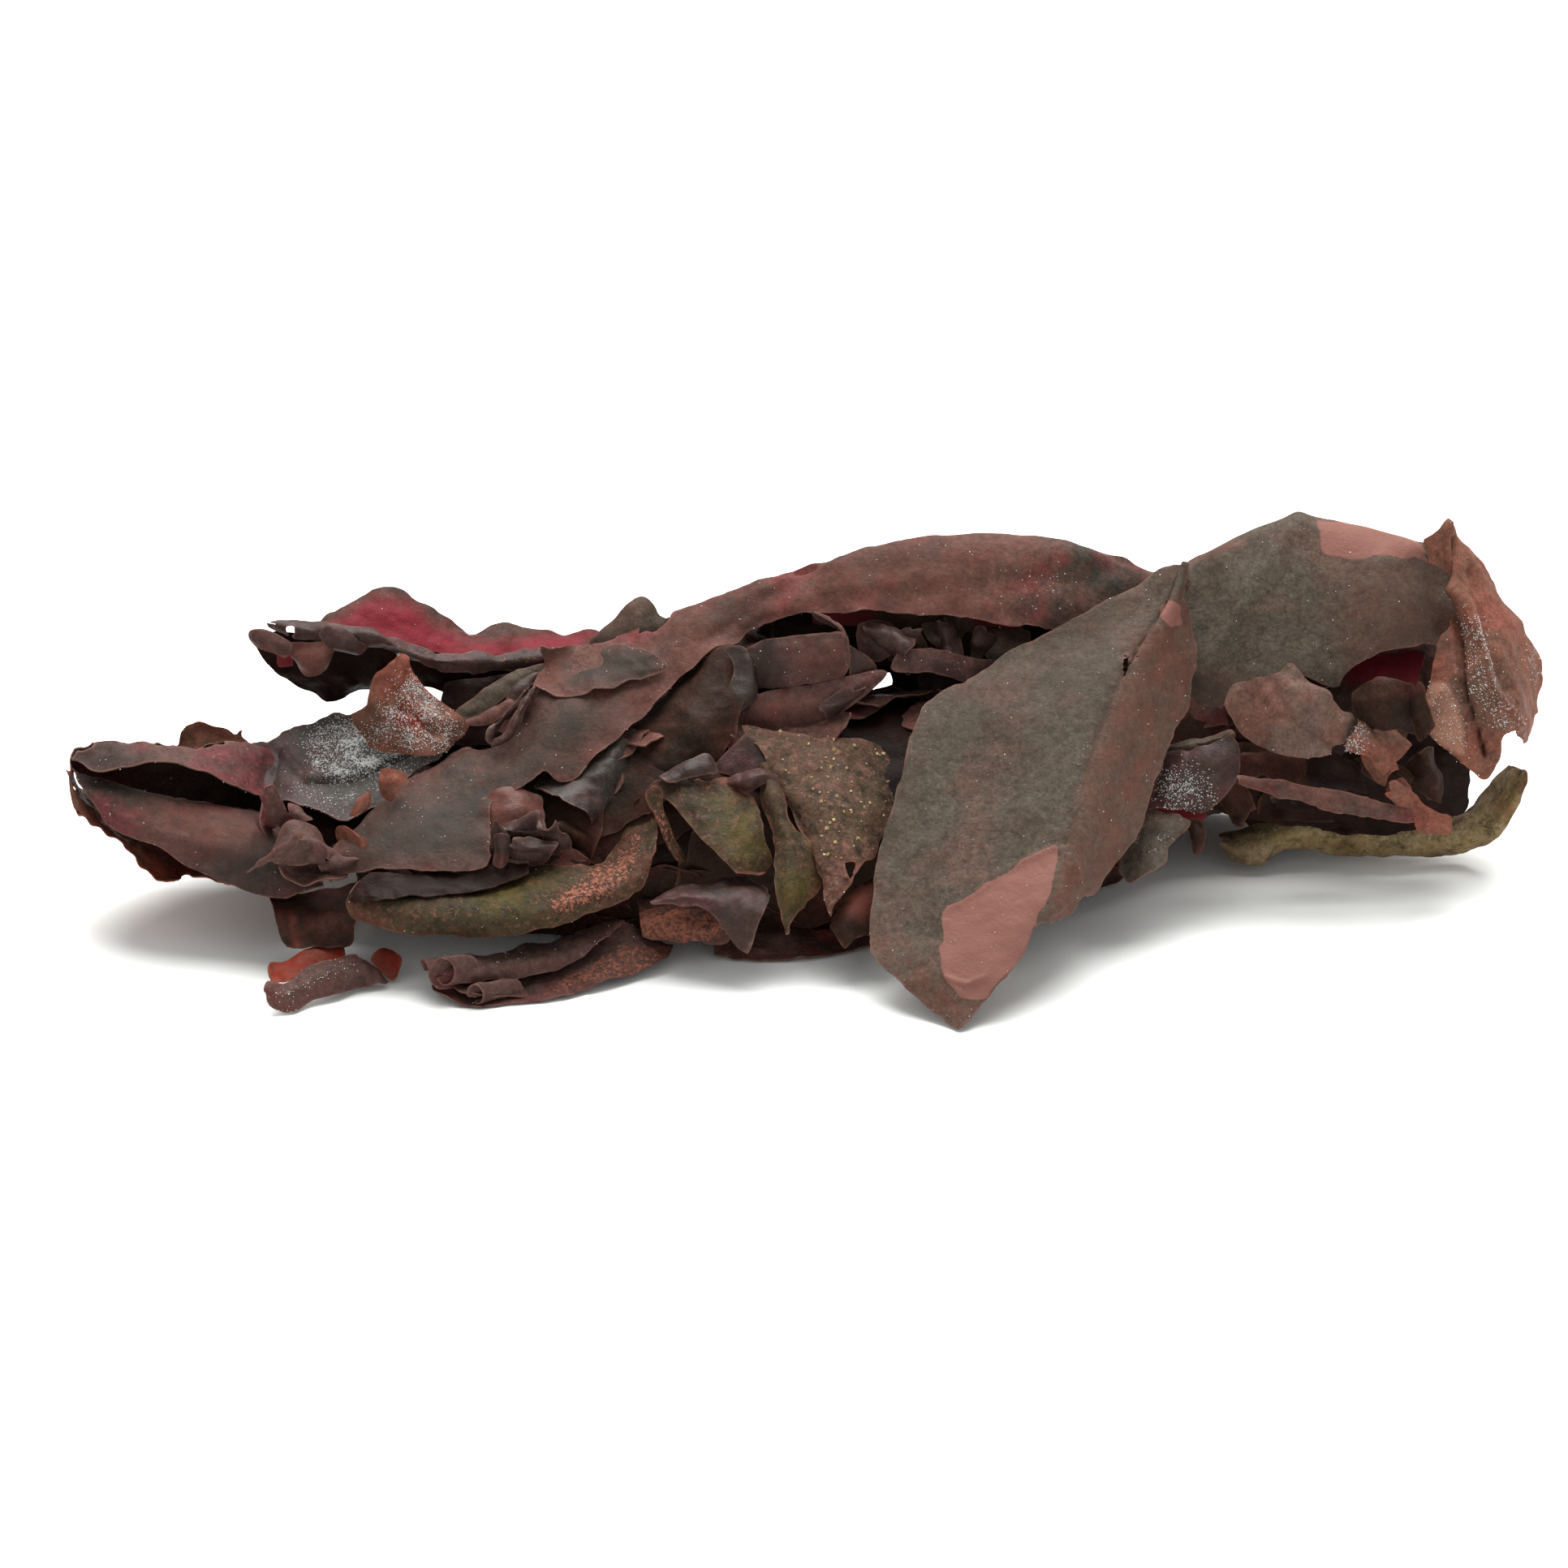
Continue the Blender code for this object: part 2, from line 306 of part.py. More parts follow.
# Fronds of the back, (across, depth, height) in space.
BACK_FRONDS = {
    "back_upper_blade": [
        [(103.0, 26.0, 31.0), (102.5, 28.0, 29.0), (101.5, 29.5, 26.5)],
        [(92.0, 24.0, 30.0), (92.0, 29.5, 25.0), (91.0, 32.0, 18.5)],
        [(80.0, 22.0, 28.5), (80.0, 28.0, 23.0), (78.5, 31.0, 15.5)],
        [(69.0, 19.0, 24.5), (69.0, 25.0, 19.0), (67.5, 27.5, 12.5)],
        [(59.0, 16.0, 18.5), (58.5, 20.0, 15.5), (58.0, 22.0, 12.0)],
    ],
    "back_long_blade": [
        [(153.0, 25.5, 31.0), (152.5, 28.0, 29.5), (151.5, 30.0, 27.0)],
        [(139.0, 24.0, 30.0), (137.5, 30.5, 24.5), (135.5, 33.0, 17.5)],
        [(124.0, 24.0, 27.0), (122.0, 31.0, 20.0), (120.0, 33.5, 11.0)],
        [(107.5, 24.5, 16.0), (106.0, 30.5, 12.0), (104.0, 33.0, 5.5)],
        [(90.0, 24.0, 18.0), (89.0, 28.5, 11.0), (88.0, 31.0, 3.0)],
        [(75.0, 22.0, 15.0), (74.5, 26.5, 8.5), (74.0, 28.5, 2.0)],
        [(61.0, 20.0, 9.0), (61.0, 22.5, 6.0), (61.0, 24.0, 3.0)],
    ],
    "back_right_blade": [
        [(146.0, 25.5, 26.0), (146.0, 28.5, 22.0), (147.0, 30.5, 17.0)],
        [(156.0, 26.5, 31.0), (156.0, 32.5, 24.0), (157.0, 33.3, 15.0)],
        [(166.0, 26.0, 30.0), (167.0, 32.5, 23.0), (168.0, 32.5, 12.0)],
        [(175.0, 25.5, 27.5), (176.5, 30.5, 21.0), (178.0, 30.0, 12.0)],
        [(182.0, 25.0, 23.0), (183.0, 27.0, 18.5), (183.5, 27.0, 14.5)],
        [(187.0, 24.0, 18.5), (187.2, 24.5, 17.5), (187.3, 24.8, 16.5)],
    ],
    "back_low_blade": [
        [(177.0, 25.5, 10.5), (177.2, 26.5, 9.0), (177.0, 27.5, 7.0)],
        [(164.0, 25.5, 11.0), (164.0, 29.0, 7.5), (164.0, 30.5, 3.0)],
        [(150.0, 25.5, 12.0), (150.0, 30.0, 7.0), (150.0, 32.0, 1.2)],
        [(136.0, 25.5, 10.0), (136.0, 29.5, 5.5), (135.0, 32.0, 0.8)],
        [(124.0, 24.0, 6.5), (123.0, 27.5, 4.0), (122.0, 30.0, 1.5)],
        [(114.0, 23.0, 4.0), (114.0, 24.5, 3.0), (114.0, 26.0, 2.0)],
    ],
    "back_left_blade": [
        [(66.0, 16.0, 14.0), (66.0, 21.0, 9.0), (66.0, 23.0, 3.0)],
        [(54.0, 13.0, 15.0), (54.0, 19.5, 10.0), (54.0, 22.0, 3.0)],
        [(41.0, 11.0, 15.0), (41.0, 17.0, 11.0), (40.0, 20.0, 5.0)],
        [(28.0, 10.5, 15.0), (28.0, 14.0, 11.0), (27.0, 16.0, 7.0)],
        [(17.0, 9.5, 14.0), (17.0, 11.0, 12.5), (17.0, 12.0, 11.0)],
    ],
}

# Smaller fronds that are one body with the core.
TANGLE_SEEN = {
    "ragged_frond": [
        [(8.5, 94.5, 5.5), (8.0, 96.5, 2.0), (8.3, 97.3, 0.0)],
        [(13.5, 97.5, 10.0), (12.8, 101.2, 3.0), (12.2, 102.6, -3.0)],
        [(24.0, 102.0, 12.0), (22.0, 106.5, 3.0), (21.5, 108.4, -5.0)],
        [(36.0, 103.0, 8.0), (35.0, 107.5, 0.0), (33.0, 109.6, -9.0)],
        [(50.0, 102.0, 6.0), (49.0, 106.0, -1.0), (48.0, 108.5, -9.0)],
    ],
    "floor_strip": [
        [(87.0, 112.5, 0.0), (88.0, 116.0, -8.5), (88.0, 118.0, -12.3)],
        [(96.0, 112.0, 0.0), (96.0, 116.0, -8.5), (96.0, 118.5, -13.2)],
        [(104.0, 112.0, 1.0), (104.0, 115.5, -7.0), (104.0, 117.5, -11.0)],
        [(112.0, 110.0, 3.0), (111.0, 112.5, -3.0), (110.0, 115.0, -7.0)],
    ],
    "lower_grey": [
        [(150.0, 96.0, 5.0), (149.0, 99.0, 0.0), (146.5, 103.0, -2.5)],
        [(144.0, 96.5, 5.0), (143.0, 102.0, -2.0), (142.5, 106.3, -6.0)],
        [(139.5, 98.5, 4.0), (139.0, 104.0, -2.5), (138.8, 108.0, -6.0)],
    ],
    "inner_fold_left": [
        [(94.0, 79.0, 17.0), (100.0, 78.8, 17.0), (106.3, 78.0, 17.5)],
        [(94.0, 84.5, 14.5), (100.0, 84.5, 13.5), (106.0, 82.0, 14.5)],
        [(94.0, 90.5, 13.0), (100.0, 91.0, 11.0), (106.0, 91.5, 10.0)],
    ],
    "inner_fold_top": [
        [(104.5, 74.5, 17.5), (105.0, 78.0, 16.3), (105.0, 81.5, 16.0)],
        [(109.0, 74.5, 17.5), (109.0, 78.0, 16.0), (109.0, 81.8, 15.6)],
        [(114.5, 74.5, 17.5), (114.5, 78.0, 16.3), (114.0, 82.0, 16.6)],
    ],
    "inner_fold_right": [
        [(112.5, 77.5, 17.5), (118.0, 77.5, 17.0), (125.0, 79.0, 17.0)],
        [(113.0, 82.0, 15.5), (118.0, 82.5, 15.0), (125.0, 84.0, 14.5)],
        [(113.5, 90.0, 12.0), (119.0, 90.5, 10.5), (125.0, 91.0, 9.5)],
    ],
}
TANGLE_SPACE = {
    "under_left": [
        [(44.0, -12.0, 6.0), (43.0, 0.0, 2.5), (44.0, 12.0, 5.0)],
        [(58.0, -12.0, 3.0), (57.0, 2.0, 0.8), (58.0, 16.0, 3.0)],
        [(72.0, -9.0, 1.0), (72.0, 5.0, 1.5), (73.0, 20.0, 1.0)],
        [(86.0, -8.0, 3.0), (86.0, 6.0, 0.8), (86.0, 22.0, 2.0)],
    ],
    "under_right": [
        [(90.0, -10.0, 1.5), (90.0, 6.0, 1.5), (91.0, 24.0, 3.0)],
        [(106.0, -9.0, 1.0), (105.0, 8.0, 0.8), (106.0, 26.0, 1.0)],
        [(122.0, -8.0, 3.0), (122.0, 9.0, 1.0), (122.0, 27.0, 3.0)],
        [(138.0, -2.0, 6.0), (138.0, 12.0, 1.5), (138.0, 27.0, 1.0)],
    ],
    "low_right": [
        [(140.0, 8.0, 1.0), (140.0, 12.0, 4.0), (140.0, 20.0, 3.0)],
        [(148.0, 7.0, 2.0), (148.0, 11.0, 5.0), (148.0, 22.0, 6.0)],
        [(158.0, 10.5, 8.0), (158.0, 12.0, 11.0), (158.0, 22.0, 12.0)],
        [(168.0, 13.0, 11.0), (168.0, 15.0, 14.0), (168.0, 22.0, 15.0)],
    ],
}

# Colours of the sub-parts: red, green, blue.
TAUPE = (0.085, 0.055, 0.052)
WINE = (0.075, 0.026, 0.028)
BRICK = (0.11, 0.040, 0.034)
OLIVE = (0.075, 0.058, 0.032)
CRIMSON = (0.16, 0.012, 0.020)
FROND_COLOURS = {
    "front_blade": TAUPE,
    "arch_blade": TAUPE,
    "salted_blade": TAUPE,
    "hood_curl": TAUPE,
    "end_blade": BRICK,
    "red_tip_flake": BRICK,
    "bottom_curl": BRICK,
    "right_flap": BRICK,
    "upper_left_blade": CRIMSON,
    "olive_tongue": OLIVE,
    "olive_flap": OLIVE,
    "olive_strip": OLIVE,
    "olive_triangle": OLIVE,
    "base_frond": OLIVE,
    "right_grey_frond": TAUPE,
    "right_flake_upper": BRICK,
    "right_flake_lower": BRICK,
    "inner_crimson": CRIMSON,
}


def seen(point):
    """World place of a point given across, down and depth as seen from the front."""
    across, down, depth = point
    height = (FLOOR_DOWN - down - depth * math.sin(VIEW_TILT)) / math.cos(VIEW_TILT)
    return in_space((across, depth, height))


def in_space(point):
    across, depth, height = point
    lowest = FROND_THICK / 2 + FLOOR_HEIGHT
    return (across - MIDDLE_ACROSS, depth - MIDDLE_DEPTH, max(height, lowest))


def smooth_through(points, steps):
    """A Catmull-Rom curve through the first axis of the points, with this many steps between two."""
    ends = np.concatenate([2 * points[:1] - points[1:2], points, 2 * points[-1:] - points[-2:-1]])
    made = []
    for i in range(len(points) - 1):
        a, b, c, d = ends[i : i + 4]
        for step in range(steps):
            t = step / steps
            made.append(
                0.5 * (2 * b + (c - a) * t + (2 * a - 5 * b + 4 * c - d) * t**2 + (3 * b - a - 3 * c + d) * t**3)
            )
    made.append(points[-1])
    return np.array(made)


def sheet_points(net, place):
    """The grid of a frond's middle surface, its free edges waved a little."""
    rows = np.array([[place(point) for point in row] for row in net])
    grid = smooth_through(rows, STEPS_ALONG)
    grid = smooth_through(grid.transpose(1, 0, 2), STEPS_ACROSS).transpose(1, 0, 2)
    normals = sheet_normals(grid)
    for column in (0, -1):
        run = np.linalg.norm(np.diff(grid[:, column], axis=0), axis=1)
        along = np.concatenate([[0.0], np.cumsum(run)])
        wave = FRILL_HEIGHT * np.sin(2 * math.pi * along / FRILL_LENGTH)
        grid[:, column] += normals[:, column] * wave[:, None]
    grid[..., 2] = np.maximum(grid[..., 2], FROND_THICK / 2 + FLOOR_HEIGHT)
    return grid


def sheet_normals(grid):
    normals = np.cross(np.gradient(grid, axis=0), np.gradient(grid, axis=1))
    return normals / np.maximum(np.linalg.norm(normals, axis=2, keepdims=True), 1e-9)


def grown(grid, by):
    """The grid with its border pushed outwards along the surface."""
    wider = grid.copy()
    for edge, inner in ((0, 1), (-1, -2)):
        for axis in (0, 1):
            border = np.take(grid, edge, axis=axis)
            step = border - np.take(grid, inner, axis=axis)
            step /= np.maximum(np.linalg.norm(step, axis=1, keepdims=True), 1e-9)
            if axis == 0:
                wider[edge] += step * by
            else:
                wider[:, edge] += step * by
    return wider


def new_object(name, bm):
    mesh = bpy.data.meshes.new(name)
    bm.to_mesh(mesh)
    bm.free()
    mesh.shade_smooth()
    obj = bpy.data.objects.new(name, mesh)
    bpy.context.scene.collection.objects.link(obj)
    return obj


def sheet_object(name, grid, thick):
    """A closed thin solid: the grid as triangles, thickened by half to each side and flat where it rests."""
    bm = bmesh.new()
    rows, columns = grid.shape[:2]
    verts = [[bm.verts.new(Vector(grid[i, j]) * MM) for j in range(columns)] for i in range(rows)]
    for i in range(rows - 1):
        for j in range(columns - 1):
            a, b, c, d = verts[i][j], verts[i + 1][j], verts[i + 1][j + 1], verts[i][j + 1]
            bm.faces.new((a, b, c))
            bm.faces.new((a, c, d))
    obj = new_object(name, bm)
    solidify = obj.modifiers.new("Thickness", "SOLIDIFY")
    solidify.thickness = thick * MM
    solidify.offset = 0.0
    bake_modifiers(obj)
    for vert in obj.data.vertices:
        vert.co.z = max(vert.co.z, FLOOR_HEIGHT * MM)
    face_outwards(obj)
    return obj


def bake_modifiers(obj):
    """Replaces the object's mesh by what its modifiers make of it."""
    graph = bpy.context.evaluated_depsgraph_get()
    made = bpy.data.meshes.new_from_object(obj.evaluated_get(graph))
    obj.modifiers.clear()
    old = obj.data
    obj.data = made
    bpy.data.meshes.remove(old)


def face_outwards(obj):
    bm = bmesh.new()
    bm.from_mesh(obj.data)
    bmesh.ops.triangulate(bm, faces=bm.faces)
    bmesh.ops.recalc_face_normals(bm, faces=bm.faces)
    if bm.calc_volume(signed=True) < 0:
        bmesh.ops.reverse_faces(bm, faces=bm.faces)
    bm.to_mesh(obj.data)
    bm.free()


def islands(bm):
    """The connected bodies of a mesh, as lists of vertices."""
    left = set(bm.verts)
    found = []
    while left:
        queue = [left.pop()]
        body = list(queue)
        while queue:
            for edge in queue.pop().link_edges:
                for vert in edge.verts:
                    if vert in left:
                        left.remove(vert)
                        body.append(vert)
                        queue.append(vert)
        found.append(body)
    return found


def body_volume(body):
    """Volume inside a closed body, from its triangles; a sealed hollow counts as negative."""
    faces = {face for vert in body for face in vert.link_faces}
    return sum(
        face.verts[0].co.dot(face.verts[i].co.cross(face.verts[i + 1].co))
        for face in faces
        for i in range(1, len(face.verts) - 1)
    )


def keep_largest(obj):
    """Drops loose scraps, and fills sealed hollows by dropping their inner skins."""
    bm = bmesh.new()
    bm.from_mesh(obj.data)
    bodies = sorted(islands(bm), key=body_volume)
    for body in bodies[:-1]:
        bmesh.ops.delete(bm, geom=body, context="VERTS")
    bm.to_mesh(obj.data)
    bm.free()


def box_of(obj):
    corners = np.array([vert.co for vert in obj.data.vertices])
    return corners.min(axis=0), corners.max(axis=0)


def apart(first, second):
    (low_a, high_a), (low_b, high_b) = first, second
    return bool((high_a < low_b).any() or (high_b < low_a).any())


def make_way(obj, cutters):
    """Cuts the object clear of every piece that was laid before it."""
    for cutter in cutters:
        if apart(box_of(obj), box_of(cutter)):
            continue
        cut = obj.modifiers.new("Clear of " + cutter.name, "BOOLEAN")
        cut.operation = "DIFFERENCE"
        cut.solver = SOLVER
        cut.object = cutter
        bake_modifiers(obj)
        keep_largest(obj)


def core_ring(across):
    """One lumpy section of the core, flat where it reaches the floor."""
    table = np.array(CORE_STATIONS)
    depth, half_depth, height, half_height = (
        np.interp(across, table[:, 0], table[:, column]) for column in range(1, 5)
    )
    ring = []
    for side in range(CORE_SIDES):
        angle = 2 * math.pi * side / CORE_SIDES
        point = Vector(
            (
                across - MIDDLE_ACROSS,
                depth - MIDDLE_DEPTH + half_depth * math.cos(angle),
                height + half_height * math.sin(angle),
            )
        )
        point.y += CORE_LUMP * noise.noise(point / CORE_LUMP_SIZE) * math.cos(angle)
        point.z += CORE_LUMP * noise.noise(point / CORE_LUMP_SIZE) * math.sin(angle)
        point.z = max(point.z, FLOOR_HEIGHT)
        ring.append(point * MM)
    return ring


def core_object():
    bm = bmesh.new()
    first, last = CORE_STATIONS[0][0], CORE_STATIONS[-1][0]
    rings = []
    for rib in range(CORE_RIBS):
        across = first + (last - first) * rib / (CORE_RIBS - 1)
        rings.append([bm.verts.new(point) for point in core_ring(across)])
    for near, far in zip(rings, rings[1:]):
        for side in range(CORE_SIDES):
            other = (side + 1) % CORE_SIDES
            bm.faces.new((near[side], near[other], far[other], far[side]))
    bm.faces.new(rings[0])
    bm.faces.new(rings[-1])
    obj = new_object("tangle", bm)
    face_outwards(obj)
    return obj


def fuse(obj, parts):
    """One Boolean union of the object with the parts, which are then removed."""
    group = bpy.data.collections.new("fused")
    bpy.context.scene.collection.children.link(group)
    for part in parts:
        bpy.context.scene.collection.objects.unlink(part)
        group.objects.link(part)
    union = obj.modifiers.new("Fused", "BOOLEAN")
    union.operation = "UNION"
    union.operand_type = "COLLECTION"
    union.solver = SOLVER
    union.collection = group
    bake_modifiers(obj)
    for part in parts:
        bpy.data.objects.remove(part)
    bpy.data.collections.remove(group)
    keep_largest(obj)


def give_material(obj, colour):
    material = bpy.data.materials.new(obj.name + "_finish")
    material.use_nodes = True
    shader = material.node_tree.nodes["Principled BSDF"]
    shader.inputs["Base Color"].default_value = (*colour, 1.0)
    shader.inputs["Roughness"].default_value = FROND_ROUGHNESS
    shader.inputs["Metallic"].default_value = 0.0
    material.diffuse_color = (*colour, 1.0)
    obj.data.materials.clear()
    obj.data.materials.append(material)


def build():
    for obj in list(bpy.data.objects):
        bpy.data.objects.remove(obj)
    laid = []
    cutters = []
    for nets, place in ((SEEN_FRONDS, seen), (BACK_FRONDS, in_space)):
        for name, net in nets.items():
            grid = sheet_points(net, place)
            frond = sheet_object(name, grid, FROND_THICK)
            make_way(frond, cutters)
            laid.append(frond)
            cutter = sheet_object(name + "_room", grown(grid, CLEAR_GAP), FROND_THICK + 2 * CLEAR_GAP)
            cutters.append(cutter)
    small = []
    for nets, place in ((TANGLE_SEEN, seen), (TANGLE_SPACE, in_space)):
        for name, net in nets.items():
            small.append(sheet_object(name, sheet_points(net, place), FROND_THICK))
    tangle = core_object()
    fuse(tangle, small)
    make_way(tangle, cutters)
    laid.append(tangle)
    for cutter in cutters:
        bpy.data.objects.remove(cutter)
    for obj in laid:
        give_material(obj, FROND_COLOURS.get(obj.name, WINE))


build()
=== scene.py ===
import math

import bpy
import numpy as np
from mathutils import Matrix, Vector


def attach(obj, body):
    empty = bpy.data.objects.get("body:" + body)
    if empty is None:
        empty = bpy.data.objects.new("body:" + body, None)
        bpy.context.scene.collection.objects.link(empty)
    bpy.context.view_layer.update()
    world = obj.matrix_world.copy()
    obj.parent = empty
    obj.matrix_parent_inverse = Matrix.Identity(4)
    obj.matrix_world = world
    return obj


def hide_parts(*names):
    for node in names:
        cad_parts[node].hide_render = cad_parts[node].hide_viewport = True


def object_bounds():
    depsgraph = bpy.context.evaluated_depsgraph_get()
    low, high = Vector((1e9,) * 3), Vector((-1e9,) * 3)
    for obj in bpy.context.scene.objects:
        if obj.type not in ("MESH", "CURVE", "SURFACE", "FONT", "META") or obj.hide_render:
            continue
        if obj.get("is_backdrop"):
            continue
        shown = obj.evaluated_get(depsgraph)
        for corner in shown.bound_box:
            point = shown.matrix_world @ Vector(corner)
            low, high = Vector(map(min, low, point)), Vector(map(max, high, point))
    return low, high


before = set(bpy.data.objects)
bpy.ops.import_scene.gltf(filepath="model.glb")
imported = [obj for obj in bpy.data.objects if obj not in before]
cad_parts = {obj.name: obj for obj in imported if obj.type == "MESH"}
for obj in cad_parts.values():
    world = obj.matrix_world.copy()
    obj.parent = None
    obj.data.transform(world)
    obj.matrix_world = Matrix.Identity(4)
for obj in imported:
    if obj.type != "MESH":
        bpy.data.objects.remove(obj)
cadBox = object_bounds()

# Everything below is laid out in millimetres. The fronds that show from the front are placed by
# (across, down, depth) of the front view, which looks down by the tilt; outlines and patches are drawn
# in that view too, in tenths of a millimetre.
mm = 0.001
frontView = {
    "tilt": 25,  # degrees that the view looks down
    "floorDown": 112.9,  # where the floor lies in the view at depth 0
    "middleAcross": 99.2,
    "middleDepth": 0.4,
    "width": 0.1932,  # metres that the picture spans
    "aim": (-0.0026, -0.0004, 0.0163),  # across, depth, and up in the picture
}
sinTilt = math.sin(math.radians(frontView["tilt"]))
cosTilt = math.cos(math.radians(frontView["tilt"]))
towardsViewer = np.array([0.0, -cosTilt, sinTilt])

frondDefaults = {
    "step": 0.38,  # millimetres between grid lines
    "thick": 0.17,
    "spread": 1.2,  # how far a sheet with an outline runs on past its net before it is trimmed
    "margin": 0.5,  # the same for a sheet without one, whose corners are rounded
    "rag": 0.5,  # how uneven the torn edge is
    "frill": 0.6,  # how much a free edge waves
    "broad": 0.4,  # height of wide undulations
    "crumple": 0.32,  # height of small dents
    "wrinkle": 0.16,
    "seed": 1,
}
waveSizes = {  # millimetres from wave to wave
    "wide": 11.0,
    "middle": 6.0,
    "dent": 2.9,
    "wrinkle": 1.7,
    "frill": 3.6,
    "fineFrill": 1.8,
    "tear": 3.2,
    "fineTear": 1.6,
    "finestTear": 0.8,
    "notch": 2.4,
    "drift": 2.6,
    "fineDrift": 1.1,
}
tearing = {
    "notchFrom": 0.45,  # the share of the noise that makes no notch
    "notchDepth": 2.4,
    "reach": 0.6,  # millimetres that a full wave moves the edge
    "holeReach": 0.3,
    "frillReach": 2.2,  # how far in from the edge the frill fades
    "smallestPatch": 0.06,  # share of a sheet below which a loose part is dropped
    "slide": 0.9,  # grid steps that a vertex may slide onto the edge
    "patchDrift": 4.0,  # tenths of a millimetre that the border of a coloured patch wanders
    "deepestRun": 8.0,  # millimetres from the edge beyond which it has no effect
    "sharpAngle": 55.0,  # degrees above which an edge stays sharp
}


def seen(points):
    points = np.asarray(points, float)
    across, down, depth = points[..., 0], points[..., 1], points[..., 2]
    height = (frontView["floorDown"] - down - depth * sinTilt) / cosTilt
    return np.stack([across - frontView["middleAcross"], depth - frontView["middleDepth"], height], -1)


def inSpace(points):
    points = np.asarray(points, float)
    return points - np.array([frontView["middleAcross"], frontView["middleDepth"], 0.0])


def inPicture(points):  # back from space to the front view, in tenths of a millimetre
    depth = points[..., 1] + frontView["middleDepth"]
    down = frontView["floorDown"] - points[..., 2] * cosTilt - depth * sinTilt
    return np.stack([points[..., 0] + frontView["middleAcross"], down], -1) * 10


def softNoise(points, size, seed):  # smooth values from -1 to 1, one cell every size
    spots = points / size + seed * 7.31
    cell = np.floor(spots).astype(np.int64)
    part = spots - cell
    part = part * part * (3 - 2 * part)
    total = 0.0
    for corner in range(8):
        bits = [(corner >> axis) & 1 for axis in range(3)]
        mix = 1.0
        key = np.int64(seed * 7919 + 17)
        for axis in range(3):
            mix = mix * (part[..., axis] if bits[axis] else 1 - part[..., axis])
            key = key ^ ((cell[..., axis] + bits[axis]) * (73856093, 19349663, 83492791)[axis])
        key = (key ^ (key >> 13)) * 1274126177
        total = total + mix * (((key ^ (key >> 16)) & 65535) / 32767.5 - 1)
    return total


def waves(points, kind, seed):
    return softNoise(points, waveSizes[kind], seed)


def alongCurve(knots, spots):  # a smooth curve through the knots, along the first axis
    ends = np.concatenate([2 * knots[:1] - knots[1:2], knots, 2 * knots[-1:] - knots[-2:-1]])
    i = np.clip(spots.astype(int), 0, len(knots) - 2)
    t = (spots - i).reshape(-1, *[1] * (knots.ndim - 1))
    a, b, c, d = ends[i], ends[i + 1], ends[i + 2], ends[i + 3]
    return 0.5 * (2 * b + (c - a) * t + (2 * a - 5 * b + 4 * c - d) * t**2 + (3 * b - a - 3 * c + d) * t**3)


def evenSpots(knots, step):
    run = np.linalg.norm(np.diff(knots, axis=0), axis=2).mean(axis=1)
    along = np.concatenate([[0.0], np.cumsum(run)])
    count = max(4, int(round(along[-1] / step)))
    return np.interp(np.linspace(0, along[-1], count + 1), along, np.arange(len(knots)))


def runOn(knots, by):  # the net with one more row at each end, this far out
    for edge, inner, first in ((0, 1, True), (-1, -2, False)):
        out = knots[edge] - knots[inner]
        out = out / np.maximum(np.linalg.norm(out, axis=-1, keepdims=True), 0.3) * by
        row = (knots[edge] + out)[None]
        knots = np.concatenate([row, knots] if first else [knots, row])
    return knots


def layGrid(net, place, step, spread):
    knots = place(net)
    if spread:
        knots = runOn(knots, spread)
        knots = runOn(knots.transpose(1, 0, 2), spread).transpose(1, 0, 2)
    grid = alongCurve(knots, evenSpots(knots, step)).transpose(1, 0, 2)
    return alongCurve(grid, evenSpots(grid, step)).transpose(1, 0, 2)


def gridNormals(grid):
    normals = np.cross(np.gradient(grid, axis=0), np.gradient(grid, axis=1))
    return normals / np.maximum(np.linalg.norm(normals, axis=2, keepdims=True), 1e-6)


def borderRun(grid):  # millimetres along the sheet to its border, less in the corners
    runs = []
    for axis in (0, 1):
        run = np.linalg.norm(np.diff(grid, axis=axis), axis=2)
        along = np.cumsum(run, axis=axis)
        along = np.concatenate([np.zeros_like(np.take(along, [0], axis=axis)), along], axis=axis)
        runs.append(np.minimum(along, np.take(along, [-1], axis=axis) - along))
    return runs[0] + runs[1] - np.hypot(*runs)


def smoothLoop(points, steps):
    points = np.asarray(points, float)
    a, b, c, d = (np.roll(points, shift, axis=0) for shift in (1, 0, -1, -2))
    made = []
    for step in range(steps):
        t = step / steps
        made.append(
            b + 0.35 * ((c - a) * t + (2 * a - 5 * b + 4 * c - d) * t**2 + (3 * b - a - 3 * c + d) * t**3)
            + 0.3 * t * (c - b)
        )
    return np.stack(made, 1).reshape(-1, 2)


def lineGap(spots, start, end):  # distance to a stretch of line, and the side of it
    stretch = end - start
    off = spots - start
    part = np.clip((off @ stretch) / max(stretch @ stretch, 1e-9), 0, 1)
    gap = np.linalg.norm(off - part[..., None] * stretch, axis=-1)
    return gap, stretch[0] * off[..., 1] - stretch[1] * off[..., 0]


def insideLoop(spots, loop):  # above 0 inside, in the loop's own unit
    loop = smoothLoop(loop, 3)
    nearest = np.full(spots.shape[:-1], 1e9)
    inside = np.zeros(spots.shape[:-1], bool)
    for start, end in zip(loop, np.roll(loop, -1, axis=0)):
        nearest = np.minimum(nearest, lineGap(spots, start, end)[0])
        crosses = (start[1] > spots[..., 1]) != (end[1] > spots[..., 1])
        rise = end[1] - start[1] if end[1] != start[1] else 1e-9
        inside ^= crosses & (spots[..., 0] < start[0] + (spots[..., 1] - start[1]) / rise * (end[0] - start[0]))
    return np.where(inside, nearest, -nearest)


